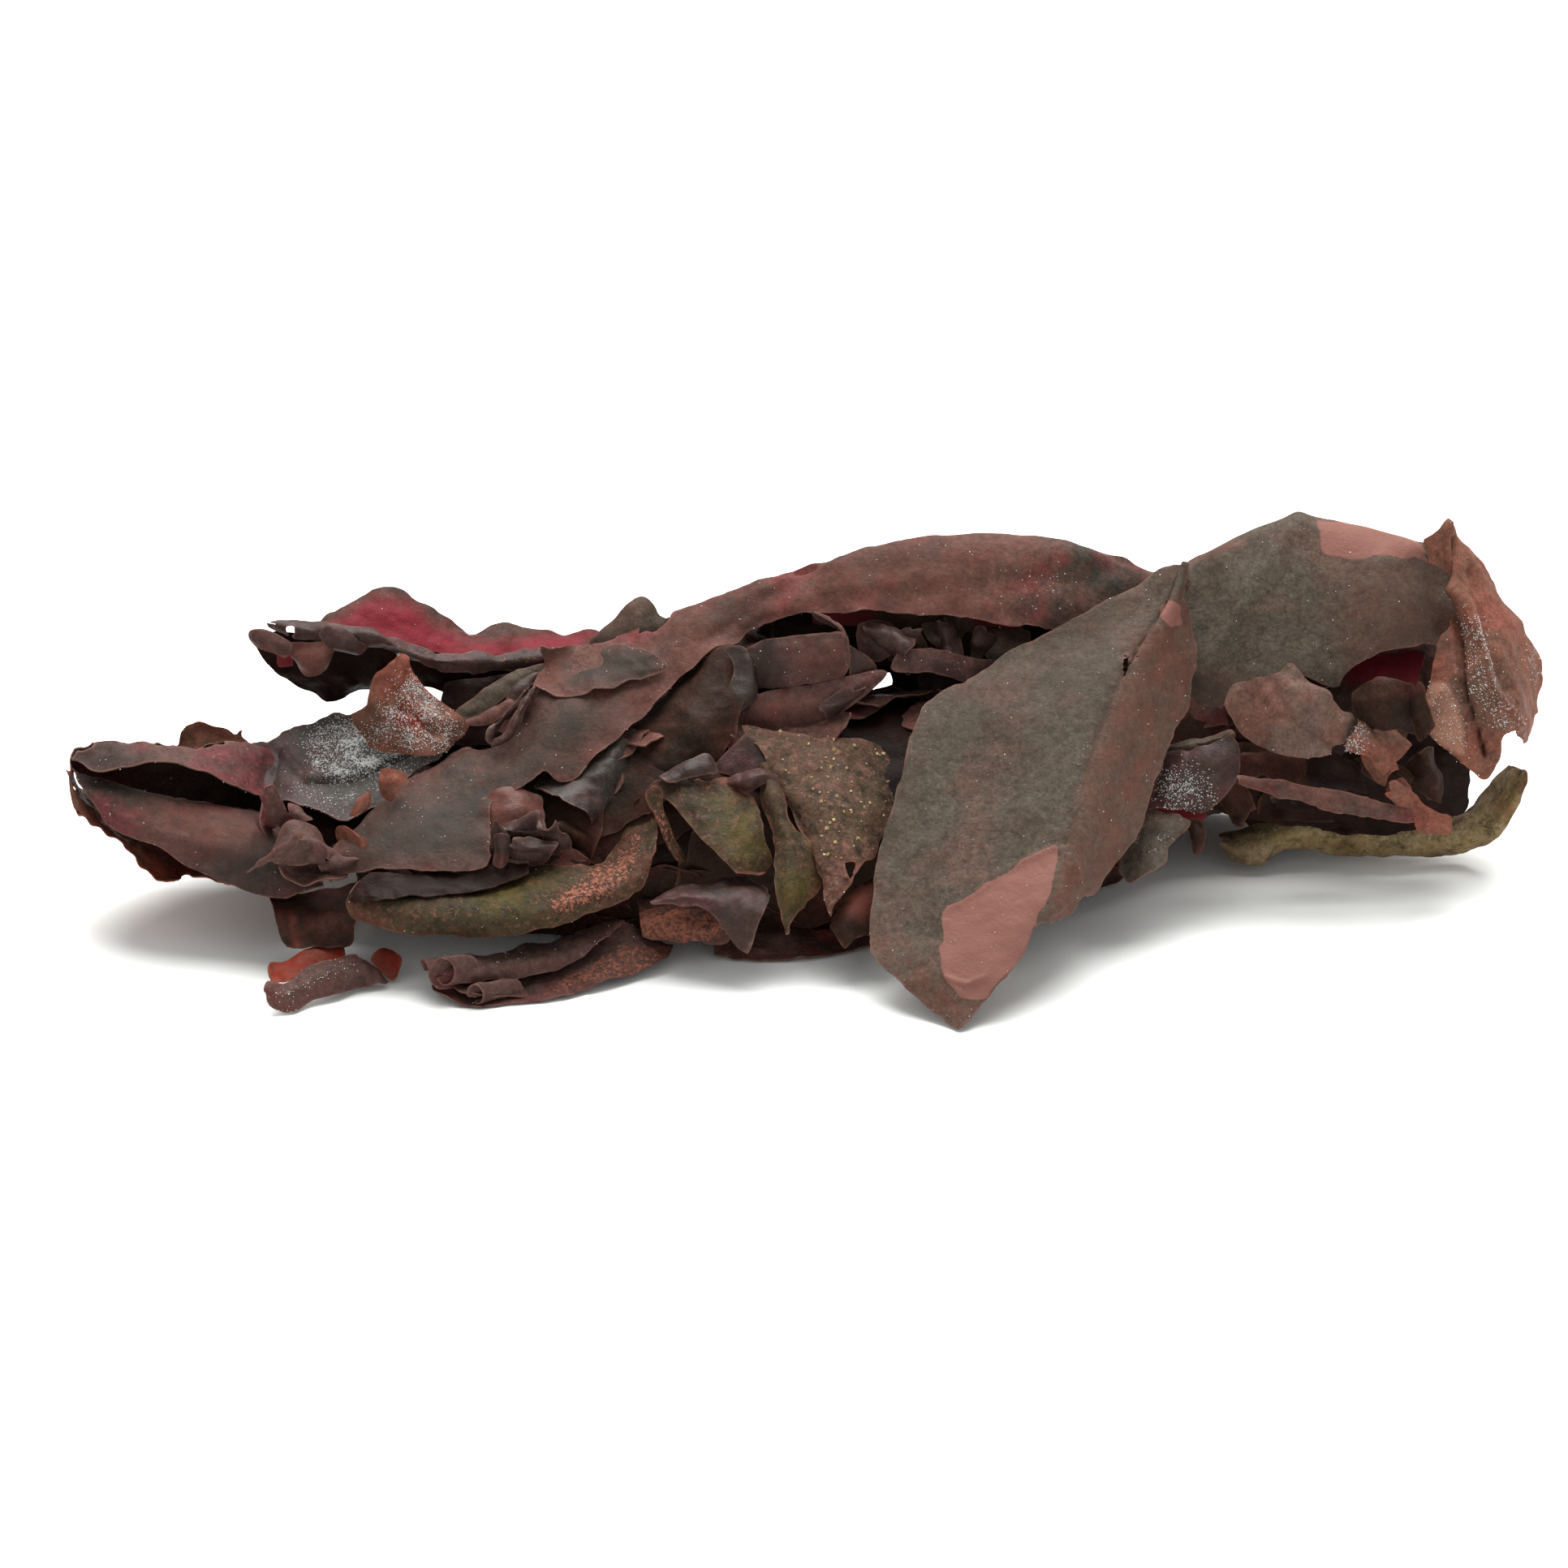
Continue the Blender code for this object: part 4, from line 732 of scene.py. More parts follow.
frontBlade = {
    "net": [
        [(142.5, 70.3, 17), (143.5, 69.8, 16), (146, 69, 15.5), (146.3, 70.5, 17), (146.2, 72.5, 18)],
        [(134, 75.3, 12.5), (138, 76.5, 11), (143, 76.5, 9.5), (145, 77.2, 11.5), (147, 78.2, 14)],
        [(124, 81.5, 8), (131, 82, 6), (139.5, 82, 4), (143.5, 83, 6.5), (147.2, 84, 10)],
        [(114, 86.8, 3), (124.5, 88.5, 0), (136.5, 89.5, -2.5), (141, 90, 0.5), (144.8, 90.8, 4)],
        [(111, 95, -4.5), (122.5, 97, -7), (133.7, 97, -9.5), (138.3, 98, -6), (142.3, 97.5, -2)],
        [(108.6, 105, -12), (120.5, 106, -15), (131.2, 105, -16.5), (135.5, 105.5, -13), (138.5, 105.5, -9)],
        [(107.3, 114, -20), (117.5, 114.5, -22.5), (128.3, 112, -23), (130.5, 112.3, -20.5), (132.3, 112.2, -17)],
        [(110, 120, -26), (117.5, 120.3, -28), (125.5, 118.3, -27.5), (126.2, 118, -26), (126.8, 117, -24.5)],
        [(116.5, 125.8, -31.3), (117.8, 126.3, -32.3), (118.5, 126.8, -33), (119, 126.5, -32.3), (120.2, 125.4, -30)],
    ],
    "outline": [
        (1428, 703), (1370, 735), (1310, 770), (1250, 802), (1200, 835), (1140, 865), (1125, 900), (1110, 950),
        (1095, 1010), (1080, 1060), (1074, 1120), (1072, 1175), (1100, 1203), (1145, 1240), (1182, 1269),
        (1205, 1245), (1230, 1212), (1258, 1182), (1275, 1142), (1305, 1132), (1345, 1100), (1375, 1065),
        (1402, 1025), (1415, 985), (1430, 945), (1446, 900), (1465, 870), (1473, 815), (1468, 775), (1458, 735),
        (1466, 692), (1445, 694),
    ],
    "holes": [[(1386, 800), (1390, 812), (1386, 834), (1383, 815)], [(1400, 800), (1403, 808), (1399, 818)]],
    "creases": [
        ([(1460, 690), (1440, 740), (1400, 800), (1375, 860), (1350, 920), (1330, 985),
          (1315, 1045)], 0.7, 2.2, "step"),
        ([(1460, 690), (1440, 740), (1400, 800), (1378, 850)], 0.5, 0.25, "groove"),
        ([(1260, 800), (1200, 920), (1160, 1040)], -0.35, 2, "groove"),
        ([(1310, 1048), (1330, 1085), (1300, 1120)], -0.6, 0.5, "groove"),
        ([(1303, 1042), (1258, 1062), (1200, 1102), (1164, 1124), (1161, 1160), (1166, 1205),
          (1186, 1226)], -0.3, 0.22, "groove"),
        ([(1166, 1205), (1190, 1213), (1214, 1205)], -0.35, 0.3, "groove"),
    ],
    "stainAndPaintedLight": [
        ([(1160, 1122), (1200, 1100), (1260, 1060), (1303, 1042), (1296, 1090), (1275, 1142), (1258, 1184),
          (1230, 1214), (1212, 1232), (1185, 1225), (1165, 1205), (1160, 1160)], 3, 1),
        ([(1430, 742), (1444, 738), (1454, 748), (1455, 768), (1440, 770), (1430, 760)], 3, 0.9),
    ],
    "warm": [
        ([(1465, 730), (1400, 800), (1375, 860), (1350, 920), (1330, 985), (1315, 1045), (1290, 1140), (1345, 1105),
          (1402, 1028), (1430, 948), (1465, 872), (1475, 815)], 12, 0.55),
        ([(1080, 1150), (1160, 1200), (1220, 1240), (1182, 1275), (1100, 1210)], 25, 0.35),
    ],
    "salt": [
        ([(1100, 1170), (1160, 1080), (1260, 850), (1340, 780), (1440, 760), (1460, 860), (1300, 1100),
          (1190, 1240)], 60, 0.05),
    ],
    # painted shade, partly a darker tone, on the upper part of the blade
    "paintedShadeAndTint": [([(1230, 800), (1350, 730), (1470, 690), (1440, 740), (1350, 900), (1150, 900)], 60, 0.4)],
    "step": 0.42, "broad": 0.3, "crumple": 0.14, "wrinkle": 0.05, "frill": 0.35, "seed": 11,
}
layPiece("frontBlade", frontBlade, "taupe", "taupe", "front_blade")

archBlade = {
    "foldsOver": 3,
    "net": [
        [(143, 75, 29), (143, 71, 22), (144, 76, 18), (145, 81, 14.5), (146, 85, 13)],
        [(150, 69.5, 31), (150, 67.3, 25), (150, 73, 19.5), (150, 80, 15), (150, 86.3, 12)],
        [(156, 68, 32), (156, 64.5, 26.5), (156, 70, 20.5), (156, 77.5, 15.5), (154.5, 83, 12)],
        [(161, 67.5, 32.5), (161, 63.6, 27), (161, 69, 21), (161, 77, 16), (160, 82, 13)],
        [(167, 68.5, 32.5), (167, 65, 27), (167, 70, 21), (167, 77, 16), (165, 83.5, 13)],
        [(172, 70, 31.5), (172, 66.3, 26.5), (172, 71, 21), (172, 76, 17), (170, 80.8, 14)],
        [(178.8, 71.5, 30), (178.6, 68.5, 27), (178.8, 72.5, 24.5), (178.8, 76, 21.5), (178, 79, 18.5)],
    ],
    "outline": [
        (1440, 702), (1450, 690), (1472, 675), (1520, 672), (1560, 645), (1600, 635), (1635, 647), (1700, 652),
        (1732, 665), (1775, 695), (1795, 720), (1800, 800), (1765, 793), (1700, 805), (1660, 830), (1645, 855),
        (1612, 870), (1540, 875), (1500, 872), (1465, 872), (1440, 860), (1420, 800),
    ],
    "creases": [
        ([(1600, 640), (1555, 710), (1510, 780), (1480, 832)], -0.7, 1.2, "groove"),
        ([(1480, 700), (1500, 760), (1470, 820)], 0.5, 1.5, "groove"),
        ([(1700, 700), (1690, 760), (1650, 830)], -0.5, 1.6, "groove"),
        ([(1765, 690), (1772, 740), (1785, 790)], 1.4, 1.6, "groove"),
    ],
    "stainAndPaintedLight": [
        ([(1620, 640), (1630, 680), (1650, 690), (1755, 690), (1785, 700), (1732, 660), (1700, 645),
          (1635, 640)], 3, 0.68),
    ],
    # painted shade where the arch turns in against the end blade and under its lower edge
    "paintedShadeAndTint": [
        ([(1690, 700), (1740, 715), (1790, 740), (1790, 800), (1720, 800), (1700, 760)], 30, 0.55),
        ([(1450, 800), (1500, 830), (1560, 840), (1520, 880), (1450, 880)], 16, 0.7),
    ],
    "warm": [
        ([(1445, 690), (1475, 668), (1530, 668), (1470, 690)], 6, 0.9),
        ([(1640, 690), (1770, 690), (1790, 790), (1700, 800), (1660, 820)], 30, 0.3),
    ],
    "step": 0.45, "crumple": 0.14, "wrinkle": 0.04, "frill": 0.3, "seed": 12,
}
layPiece("archBlade", archBlade, "taupe", "taupe", "arch_blade")

endBlade = {
    "net": [
        [(176, 66, 24), (177.3, 65, 23.5), (178.5, 64.2, 23), (179.3, 64.8, 23.5), (180, 66, 24.5)],
        [(177.5, 70.5, 21), (178.3, 70.5, 20.5), (179.2, 70.5, 19.5), (181, 70, 21.5), (182.8, 70.2, 24)],
        [(178.3, 76, 17.5), (179.4, 75.8, 17), (181, 75.5, 16), (183.8, 75, 19), (186.2, 75.2, 23)],
        [(176.8, 80.5, 14), (179.5, 80.5, 13.5), (182.6, 80.5, 12.5), (186, 80, 16), (189.5, 80.5, 22)],
        [(176, 85.5, 11), (179.5, 85.5, 10), (183.6, 85.5, 9), (186.5, 85.3, 13), (189.2, 85.5, 19)],
        [(175.2, 89.5, 9), (179.5, 90, 7.5), (184.5, 90, 7), (187, 89.7, 10.5), (188.6, 90, 15)],
        [(179, 92.8, 6.5), (181, 94, 5.5), (183.2, 94.8, 5.5), (186, 92.5, 8.5), (187.6, 91.6, 11.5)],
    ],
    "outline": [
        (1745, 672), (1762, 660), (1785, 641), (1797, 660), (1820, 690), (1845, 725), (1860, 750), (1890, 795),
        (1898, 812), (1892, 850), (1888, 885), (1875, 916), (1862, 902), (1850, 912), (1832, 957), (1815, 957),
        (1790, 927), (1752, 900), (1750, 880), (1765, 840), (1770, 795), (1785, 770), (1790, 720), (1780, 700),
        (1760, 690),
    ],
    "creases": [
        ([(1785, 645), (1790, 720), (1805, 745), (1825, 800), (1835, 850), (1865, 895)], -1.1, 0.45, "groove"),
        ([(1790, 665), (1786, 735), (1800, 790), (1806, 860), (1830, 930)], 1.6, 0.4, "groove"),
        ([(1812, 700), (1830, 780), (1855, 850)], 0.8, 0.5, "groove"),
        ([(1760, 880), (1785, 850), (1800, 830)], -0.7, 0.4, "groove"),
    ],
    # painted light: a lighter patch on the left lobe, which its own shape leaves too dark
    "stainAndPaintedLight": [([(1750, 850), (1775, 835), (1800, 850), (1812, 930), (1790, 935), (1752, 900)], 14, 0.66)],
    # painted shade in the concavity beside the arch and along the fold
    "paintedShadeAndTint": [
        ([(1772, 690), (1788, 700), (1796, 760), (1786, 800), (1766, 790), (1780, 740)], 7, 0.9),
        ([(1800, 700), (1806, 760), (1815, 800), (1806, 800), (1796, 740)], 5, 0.5),
    ],
    "salt": [
        ([(1752, 850), (1800, 840), (1815, 930), (1760, 905)], 14, 0.55),
        ([(1800, 760), (1830, 765), (1845, 850), (1870, 895), (1850, 905), (1815, 860)], 12, 0.75),
        ([(1880, 800), (1895, 812), (1890, 850), (1875, 840)], 8, 0.6),
    ],
    "step": 0.36, "crumple": 0.22, "frill": 0.35, "seed": 13,
}
layPiece("endBlade", endBlade, "brick", "brick", "end_blade")

ridgeBlade = {
    "net": [
        [(42.5, 104.5, -5), (42, 103.5, -8), (41.8, 105.5, -11.5), (42, 107.8, -13)],
        [(50.5, 98.5, 3), (50, 96.5, -1), (50, 102, -9.5), (50, 107.3, -15)],
        [(57.5, 93.5, 9), (57, 92, 4), (57.5, 100, -7.5), (58.5, 107.3, -15)],
        [(64.5, 90, 13), (64, 88.5, 8), (63.5, 94, -1), (63, 99.5, -7)],
        [(67.5, 84, 19), (67, 81.5, 14), (68.5, 88.5, 3.5), (70, 95.5, -3)],
        [(74, 81, 22.5), (74, 78, 17), (75.8, 84, 8), (77.5, 90, 2)],
        [(81.5, 79, 24), (81.5, 76, 18), (83, 79.5, 12.5), (84.5, 83, 9)],
        [(91, 75.5, 26), (91, 72.5, 19.5), (91.5, 75, 15.5), (92, 77.8, 13.5)],
        [(100, 73, 28), (100, 69.7, 20), (99.5, 72.5, 16), (99, 75.7, 14)],
        [(108, 70.3, 30), (108, 66.8, 21), (108, 71, 15.5), (108, 75.4, 12.5)],
        [(117, 69.3, 30.5), (117, 65.7, 21), (116.5, 70.5, 15), (116, 75.7, 12)],
        [(126, 69.5, 30.5), (126, 66, 20.5), (125, 71.5, 14.5), (124, 77, 11.5)],
        [(134, 71, 29.5), (134, 67.5, 19.8), (132.5, 73, 15), (131, 78, 12.5)],
        [(142, 75.5, 25.5), (142, 70.7, 19.8), (140.5, 75, 16), (139, 79, 13.5)],
    ],
    "outline": [
        (700, 797), (738, 797), (752, 790), (766, 778), (785, 774), (783, 785), (802, 777), (824, 762), (850, 735),
        (868, 722), (890, 726), (910, 710), (935, 708), (960, 706), (1000, 680), (1050, 655), (1100, 643),
        (1150, 640), (1190, 634), (1215, 625), (1255, 637), (1308, 652), (1350, 655), (1385, 670), (1430, 690),
        (1400, 790), (1290, 775), (1230, 769), (1175, 757), (1135, 757), (1040, 752), (975, 757), (925, 775),
        (905, 797), (880, 803), (850, 825), (828, 838), (800, 872), (770, 903), (740, 925), (715, 955), (690, 962),
        (670, 951), (645, 970), (610, 985), (602, 998), (603, 1040), (604, 1068), (560, 1075), (480, 1072),
        (440, 1078), (400, 1087), (330, 1102), (395, 1060), (420, 1040), (440, 1010), (470, 985), (500, 965),
        (560, 920), (603, 918), (622, 910), (640, 885), (657, 845), (672, 800),
    ],
    "creases": [
        ([(745, 800), (700, 880), (640, 950)], -0.4, 2, "groove"),
        ([(1000, 700), (940, 740), (870, 790)], 0.5, 1.2, "groove"),
        ([(1380, 700), (1250, 720), (1130, 730), (1020, 740)], 0.5, 1.6, "groove"),
        ([(530, 1050), (545, 1045), (558, 1052), (545, 1060), (530, 1050)], 0.35, 0.18, "groove"),
    ],
    "warm": [
        ([(860, 740), (1000, 700), (1080, 672), (1200, 660), (1260, 665), (1200, 760), (1040, 752), (930, 770),
          (860, 820), (800, 870), (740, 925), (780, 830)], 35, 0.45),
    ],
    "salt": [
        ([(1240, 700), (1305, 700), (1310, 745), (1250, 745)], 20, 0.25),
        ([(480, 960), (640, 900), (700, 940), (620, 1060), (460, 1060)], 45, 0.08),
    ],
    "step": 0.45, "crumple": 0.18, "wrinkle": 0.06, "frill": 0.6, "rag": 0.6, "seed": 14,
    # painted shade, partly a darker tone, on the lower left and under the fold
    "paintedShadeAndTint": [
        ([(450, 990), (560, 960), (640, 900), (700, 860), (770, 880), (700, 950), (620, 1010), (600, 1070),
          (440, 1075)], 40, 0.9),
        ([(1020, 690), (1120, 665), (1160, 690), (1060, 725)], 25, 0.6),
    ],
}
layPiece("ridgeBlade", ridgeBlade, "wine", "wine", "ridge_blade")

pinkLobe = {  # a small ragged lobe lying on the ridge
    "net": [
        [(65.6, 84.6, 8.4), (66, 82, 12.1), (66.9, 79.7, 11)],
        [(69.3, 85.8, 6.1), (70, 82.8, 10.3), (70.6, 79.8, 14.4)],
        [(75, 84.6, 6.4), (75.2, 82.2, 9.7), (75.4, 79.8, 13.1)],
        [(79.6, 83.4, 7.6), (79.6, 81.8, 9.2), (79.4, 80.4, 11.2)],
        [(82.3, 82.4, 8.6), (82.2, 82, 9), (82, 81.6, 9.4)],
    ],
    "outline": [
        (668, 798), (740, 797), (770, 796), (793, 803), (815, 815), (822, 822), (800, 834), (775, 838), (755, 845),
        (735, 849), (715, 857), (690, 858), (675, 856), (655, 846), (662, 835), (672, 820),
    ],
    # painted shade, partly a greyer tone, over most of the lobe
    "paintedShadeAndTint": [([(690, 795), (810, 800), (800, 845), (690, 845)], 15, 0.95)],
    "warm": [([(668, 800), (700, 800), (695, 850), (660, 850)], 12, 0.6)],
    "step": 0.3, "broad": 0.15, "frill": 0.35, "rag": 0.4, "crumple": 0.1, "spread": 0.6, "seed": 15,
}
layPiece("pinkLobe", pinkLobe, "wine", "wine")

ridgeBack = {  # a fold standing behind the ridge
    "net": [
        [(72.6, 79, 16), (72.8, 79.8, 15.5), (73, 81, 15)], [(75.4, 76.6, 17.5), (75.6, 78.5, 16), (75.6, 81, 15)],
        [(79, 73.8, 19), (79.2, 77, 16.5), (79.2, 81, 15.5)], [(81.8, 76.2, 18), (82, 78, 16.8), (82, 81, 15.5)],
        [(85.5, 75, 18), (85.5, 78, 17), (85.5, 80.5, 16)],
    ],
    # painted shade on the fold behind the ridge
    "paintedShadeAndTint": [([(720, 780), (780, 760), (790, 800), (730, 805)], 14, 0.6)],
    "step": 0.32, "rag": 0.3, "frill": 0.4, "crumple": 0.25, "margin": 0.2, "seed": 62,
}
layPiece("ridgeBack", ridgeBack, "taupe", "wine")

leftScoop = {
    "net": [
        [(9.5, 93.5, 0), (8.6, 92.4, 2), (8.6, 94, 3.5), (8.9, 95, 1), (9.2, 95.8, -1), (9.4, 96.4, -2)],
        [(12.3, 94.4, -2), (12.2, 91.2, 3), (12, 96, 6.5), (12.5, 95.9, -0.5), (12.3, 98.5, -5), (12.1, 100.6, -6)],
        [(18.5, 93.6, -3), (18, 91.6, 4), (18, 99, 8.5), (18, 97.6, -2.5), (17.8, 101.5, -8.5), (17.8, 104, -9.5)],
        [(25, 95, -3.5), (24.5, 91.8, 5), (25, 100.5, 9), (25, 99, -3.5), (24.2, 103.5, -10.5), (24, 107.3, -11)],
        [(31.5, 97, -1), (31, 91.8, 7.5), (31.5, 101, 10), (32, 100.3, -3), (32, 105, -11), (32, 110, -13)],
        [(37, 98.5, 4), (37, 94, 11), (37, 101, 12), (37, 102, 1), (38, 105.5, -8.5), (38.5, 108.5, -12)],
    ],
    "outline": [
        (88, 930), (95, 921), (104, 921), (120, 912), (135, 906), (160, 914), (200, 920), (240, 921), (280, 915),
        (320, 908), (400, 890), (420, 1100), (330, 1106), (290, 1093), (260, 1081), (225, 1063), (178, 1036),
        (140, 1022), (112, 990), (97, 962), (87, 944),
    ],
    # its own red tint with a painted glow of light through the thin scoop
    "warm": [([(165, 985), (230, 980), (300, 1000), (330, 1030), (290, 1045), (200, 1035), (160, 1015)], 22, 0.6)],
    "step": 0.42, "crumple": 0.18, "frill": 0.35, "seed": 16,
    # painted shade, partly a darker tone, on the low part, the top band and in the hollow
    "paintedShadeAndTint": [
        ([(230, 1040), (300, 1010), (400, 1030), (400, 1100), (300, 1100)], 25, 0.8),
        ([(90, 930), (250, 915), (330, 900), (330, 960), (120, 950)], 18, 0.6),
        ([(275, 975), (350, 985), (350, 1050), (285, 1030)], 14, 0.9),
    ],
}
layPiece("leftScoop", leftScoop, "mauve", "wine", "left_scoop")

backTip = {  # thin torn tip standing behind the scoop
    "net": [
        [(21.5, 93.8, 9), (22.3, 91, 10), (22.8, 89, 10.5)], [(26, 93.8, 9), (26, 91, 10.5), (26, 88.8, 11)],
        [(31.5, 93.8, 9.5), (31, 91.5, 10.5), (31, 89, 11)],
    ],
    "outline": [
        (214, 930), (217, 915), (222, 902), (229, 893), (245, 890), (262, 897), (280, 901), (290, 905), (296, 895),
        (303, 894), (300, 906), (309, 915), (305, 930),
    ],
    "step": 0.3, "seed": 44,
}
layPiece("backTip", backTip, "brick", "taupe")

redTipFlake = {
    "net": [
        [(49, 80.8, 8.3), (49.4, 80.6, 8), (49.9, 81, 8.3)], [(46.8, 82.8, 7.5), (49.3, 83.2, 6.5), (52, 83.9, 8)],
        [(45.5, 86, 7), (49.5, 86.5, 5), (54.3, 86.5, 7.5)], [(44.5, 88.3, 7), (50, 89, 3.5), (57, 89.5, 7)],
        [(46, 91.5, 5), (51, 92, 2), (54.8, 92.8, 4.5)],
    ],
    "outline": [
        (494, 805), (505, 818), (520, 838), (540, 862), (560, 880), (573, 896), (550, 925), (500, 935), (445, 915),
        (430, 887), (455, 868), (456, 845), (465, 828), (482, 815),
    ],
    "creases": [
        ([(496, 815), (492, 850), (508, 885)], -0.6, 0.6, "groove"),
        ([(490, 870), (515, 885), (535, 905)], 0.8, 0.5, "groove"),
    ],
    "warm": [
        ([(488, 872), (505, 862), (528, 885), (520, 902), (495, 895)], 5, 1),
        ([(465, 830), (500, 815), (520, 850), (470, 860)], 14, 0.25),
    ],
    "salt": [([(470, 880), (505, 825), (560, 885), (550, 925), (450, 915)], 14, 0.75)],
    # painted shade, partly a darker tone, at the lower corners
    "paintedShadeAndTint": [
        ([(430, 890), (460, 860), (480, 900), (440, 915)], 8, 0.7),
        ([(500, 900), (560, 880), (570, 900), (530, 930)], 8, 0.5),
    ],
    "step": 0.28, "crumple": 0.25, "seed": 17,
}
layPiece("redTipFlake", redTipFlake, "brick", "brick", "red_tip_flake")

upperLeftBlade = {  # crimson inner face, its own red with a painted glow of light shining through, and a brown rim
    "net": [
        [(38.5, 76.5, 15), (38.6, 76.8, 14.5), (38.7, 77.1, 14)],
        [(44.5, 73.7, 20), (44, 75.3, 17.5), (43.5, 78.2, 14)],
        [(48, 72.5, 21.5), (48.5, 75.5, 17.5), (49, 79.9, 13.5)],
        [(52.5, 74.2, 21.5), (53, 77.5, 17.5), (53, 81.6, 13.5)],
        [(57.5, 77.8, 20.5), (58, 79.2, 17.5), (59, 82, 14)], [(61, 76.7, 21.5), (62, 78.8, 18), (63, 82, 15)],
        [(67, 77.7, 22.5), (67, 79.2, 19.5), (67, 80.8, 16.5)], [(74, 78, 23), (73.5, 79.2, 21), (73, 80.4, 19.5)],
    ],
    "warm": [
        ([(395, 775), (440, 748), (475, 733), (505, 742), (540, 768), (580, 790), (690, 782), (736, 784), (700, 806),
          (620, 812), (560, 816), (520, 806), (470, 788), (430, 778)], 9, 1),
    ],
    "step": 0.34, "rag": 0.5, "crumple": 0.25, "frill": 0.5, "seed": 18,
}
layPiece("upperLeftBlade", upperLeftBlade, "crimson", "crimson", "upper_left_blade")

upperLeftFolds = {
    "band": {
        "net": [
            [(32.3, 76, 12), (32.6, 76.8, 11.5), (33, 77.6, 12)],
            [(36.5, 76.7, 12.5), (37, 77.6, 11.2), (37.5, 78.8, 11.8)],
            [(41, 76.8, 12.5), (41.5, 78.2, 10.8), (42.5, 80.2, 11.5)],
            [(46, 77.4, 12), (46.5, 78.6, 10.2), (46.5, 79.9, 11)], [(52, 80, 12), (52, 81, 10.2), (52, 82, 11)],
            [(59, 80.4, 12.5), (59, 81.6, 10.8), (58.5, 82.9, 11.5)],
            [(67.5, 79.9, 14.5), (67.5, 81, 13), (67.5, 81.9, 13.5)],
        ],
        "holes": [[(353, 771), (361, 770), (364, 778), (358, 786), (352, 780)], [(327, 766), (340, 768), (334, 772)]],
        "crust": [([(600, 800), (670, 800), (670, 815), (600, 822)], 6, 0.6)],
        "rag": 0.6, "frill": 0.5, "seed": 45,
    },
    "lobe": {
        "net": [
            [(35.5, 78.9, 11.6), (35.3, 80.6, 10.4), (36.2, 82.2, 11)],
            [(37.4, 78.9, 11.2), (37.6, 81.2, 9.4), (37.8, 83.4, 10.6)],
            [(39.4, 79, 11), (39.8, 81, 9.2), (40.1, 82.7, 10.4)],
            [(41.3, 78.6, 11.4), (41.3, 80.4, 10.6), (40.9, 82, 11.2)],
        ],
        "warm": [([(360, 790), (405, 785), (400, 830), (370, 830)], 10, 0.5)],
        "salt": [([(360, 800), (405, 800), (390, 832)], 10, 0.25)], "rag": 0.2, "frill": 0.5, "crumple": 0.25,
        "margin": 0.2, "seed": 46,
    },
    "leftFold": {
        "net": [
            [(30.6, 77.6, 12.2), (30.8, 78.2, 12), (31.2, 78.8, 12.3)],
            [(32.6, 77.6, 11.6), (32.8, 78.8, 10.6), (32.9, 79.9, 11.4)],
            [(34.4, 78.2, 11.2), (34.6, 79.6, 10), (34.4, 80.9, 11)],
            [(35.9, 79.2, 11.3), (35.7, 80.2, 10.6), (35.3, 81.3, 11.3)],
        ],
        "rag": 0.3, "frill": 0.5, "crumple": 0.3, "margin": 0.2, "seed": 59,
    },
    "nook": {
        "net": [
            [(34, 80.3, 11.4), (34.1, 81, 12.2), (34.2, 81.8, 11.6)],
            [(35.8, 80.4, 11.2), (35.8, 81.1, 11.8), (35.9, 81.8, 11.3)],
        ],
        # painted glow of red light through the small nook
        "warm": [([(330, 790), (370, 790), (370, 830), (330, 830)], 2, 1)],
        "seed": 60,
    },
    "greyLobe": {
        "net": [
            [(39.5, 78, 11), (40.2, 77.2, 10.4), (41.2, 76.9, 10.7)],
            [(40.4, 79.2, 10.2), (41.4, 78.6, 9.2), (42.6, 77.8, 10.2)],
            [(42, 80.1, 10.4), (43, 79.8, 9.4), (44, 79, 10.4)],
            [(43.6, 80.5, 11), (44.4, 80.2, 10.6), (45, 79.6, 11.2)],
        ],
        "rag": 0.2, "frill": 0.5, "crumple": 0.3, "margin": 0.2, "seed": 61,
    },
}
# the underside of the upper left curl, near black: painted shade
paintedShadeUnderside = {
    "net": [
        [(30.9, 78, 15), (31, 78.6, 15.2), (31.2, 79.2, 15.5)], [(35, 78.2, 14.5), (34.7, 81, 15), (34.5, 83.2, 16)],
        [(40.5, 78.2, 14), (40.5, 82.5, 14.8), (40.5, 86.5, 17)],
        [(46, 78.2, 13.5), (46, 82, 14.5), (45.5, 85.2, 16.5)],
        [(52, 80.2, 13.5), (52.5, 82.5, 14), (53, 84.6, 15.5)], [(58, 81.2, 14), (58, 84, 14.5), (57.5, 86.5, 15.5)],
        [(65, 80.8, 15), (65, 83.5, 15.5), (64, 85.5, 16)],
    ],
    "step": 0.4, "rag": 0.5, "seed": 47,
}
for name, v in upperLeftFolds.items():
    v["step"] = 0.3
    finish = {"lobe": "wine", "nook": "crimson", "leftFold": "mauve"}.get(name, "paintedShadeAndTint")
    makePiece("upperLeft" + name.capitalize(), [laySheet(name, v)], finish, "wine")
layPiece("paintedShadeUnderside", paintedShadeUnderside, "dark", "wine")

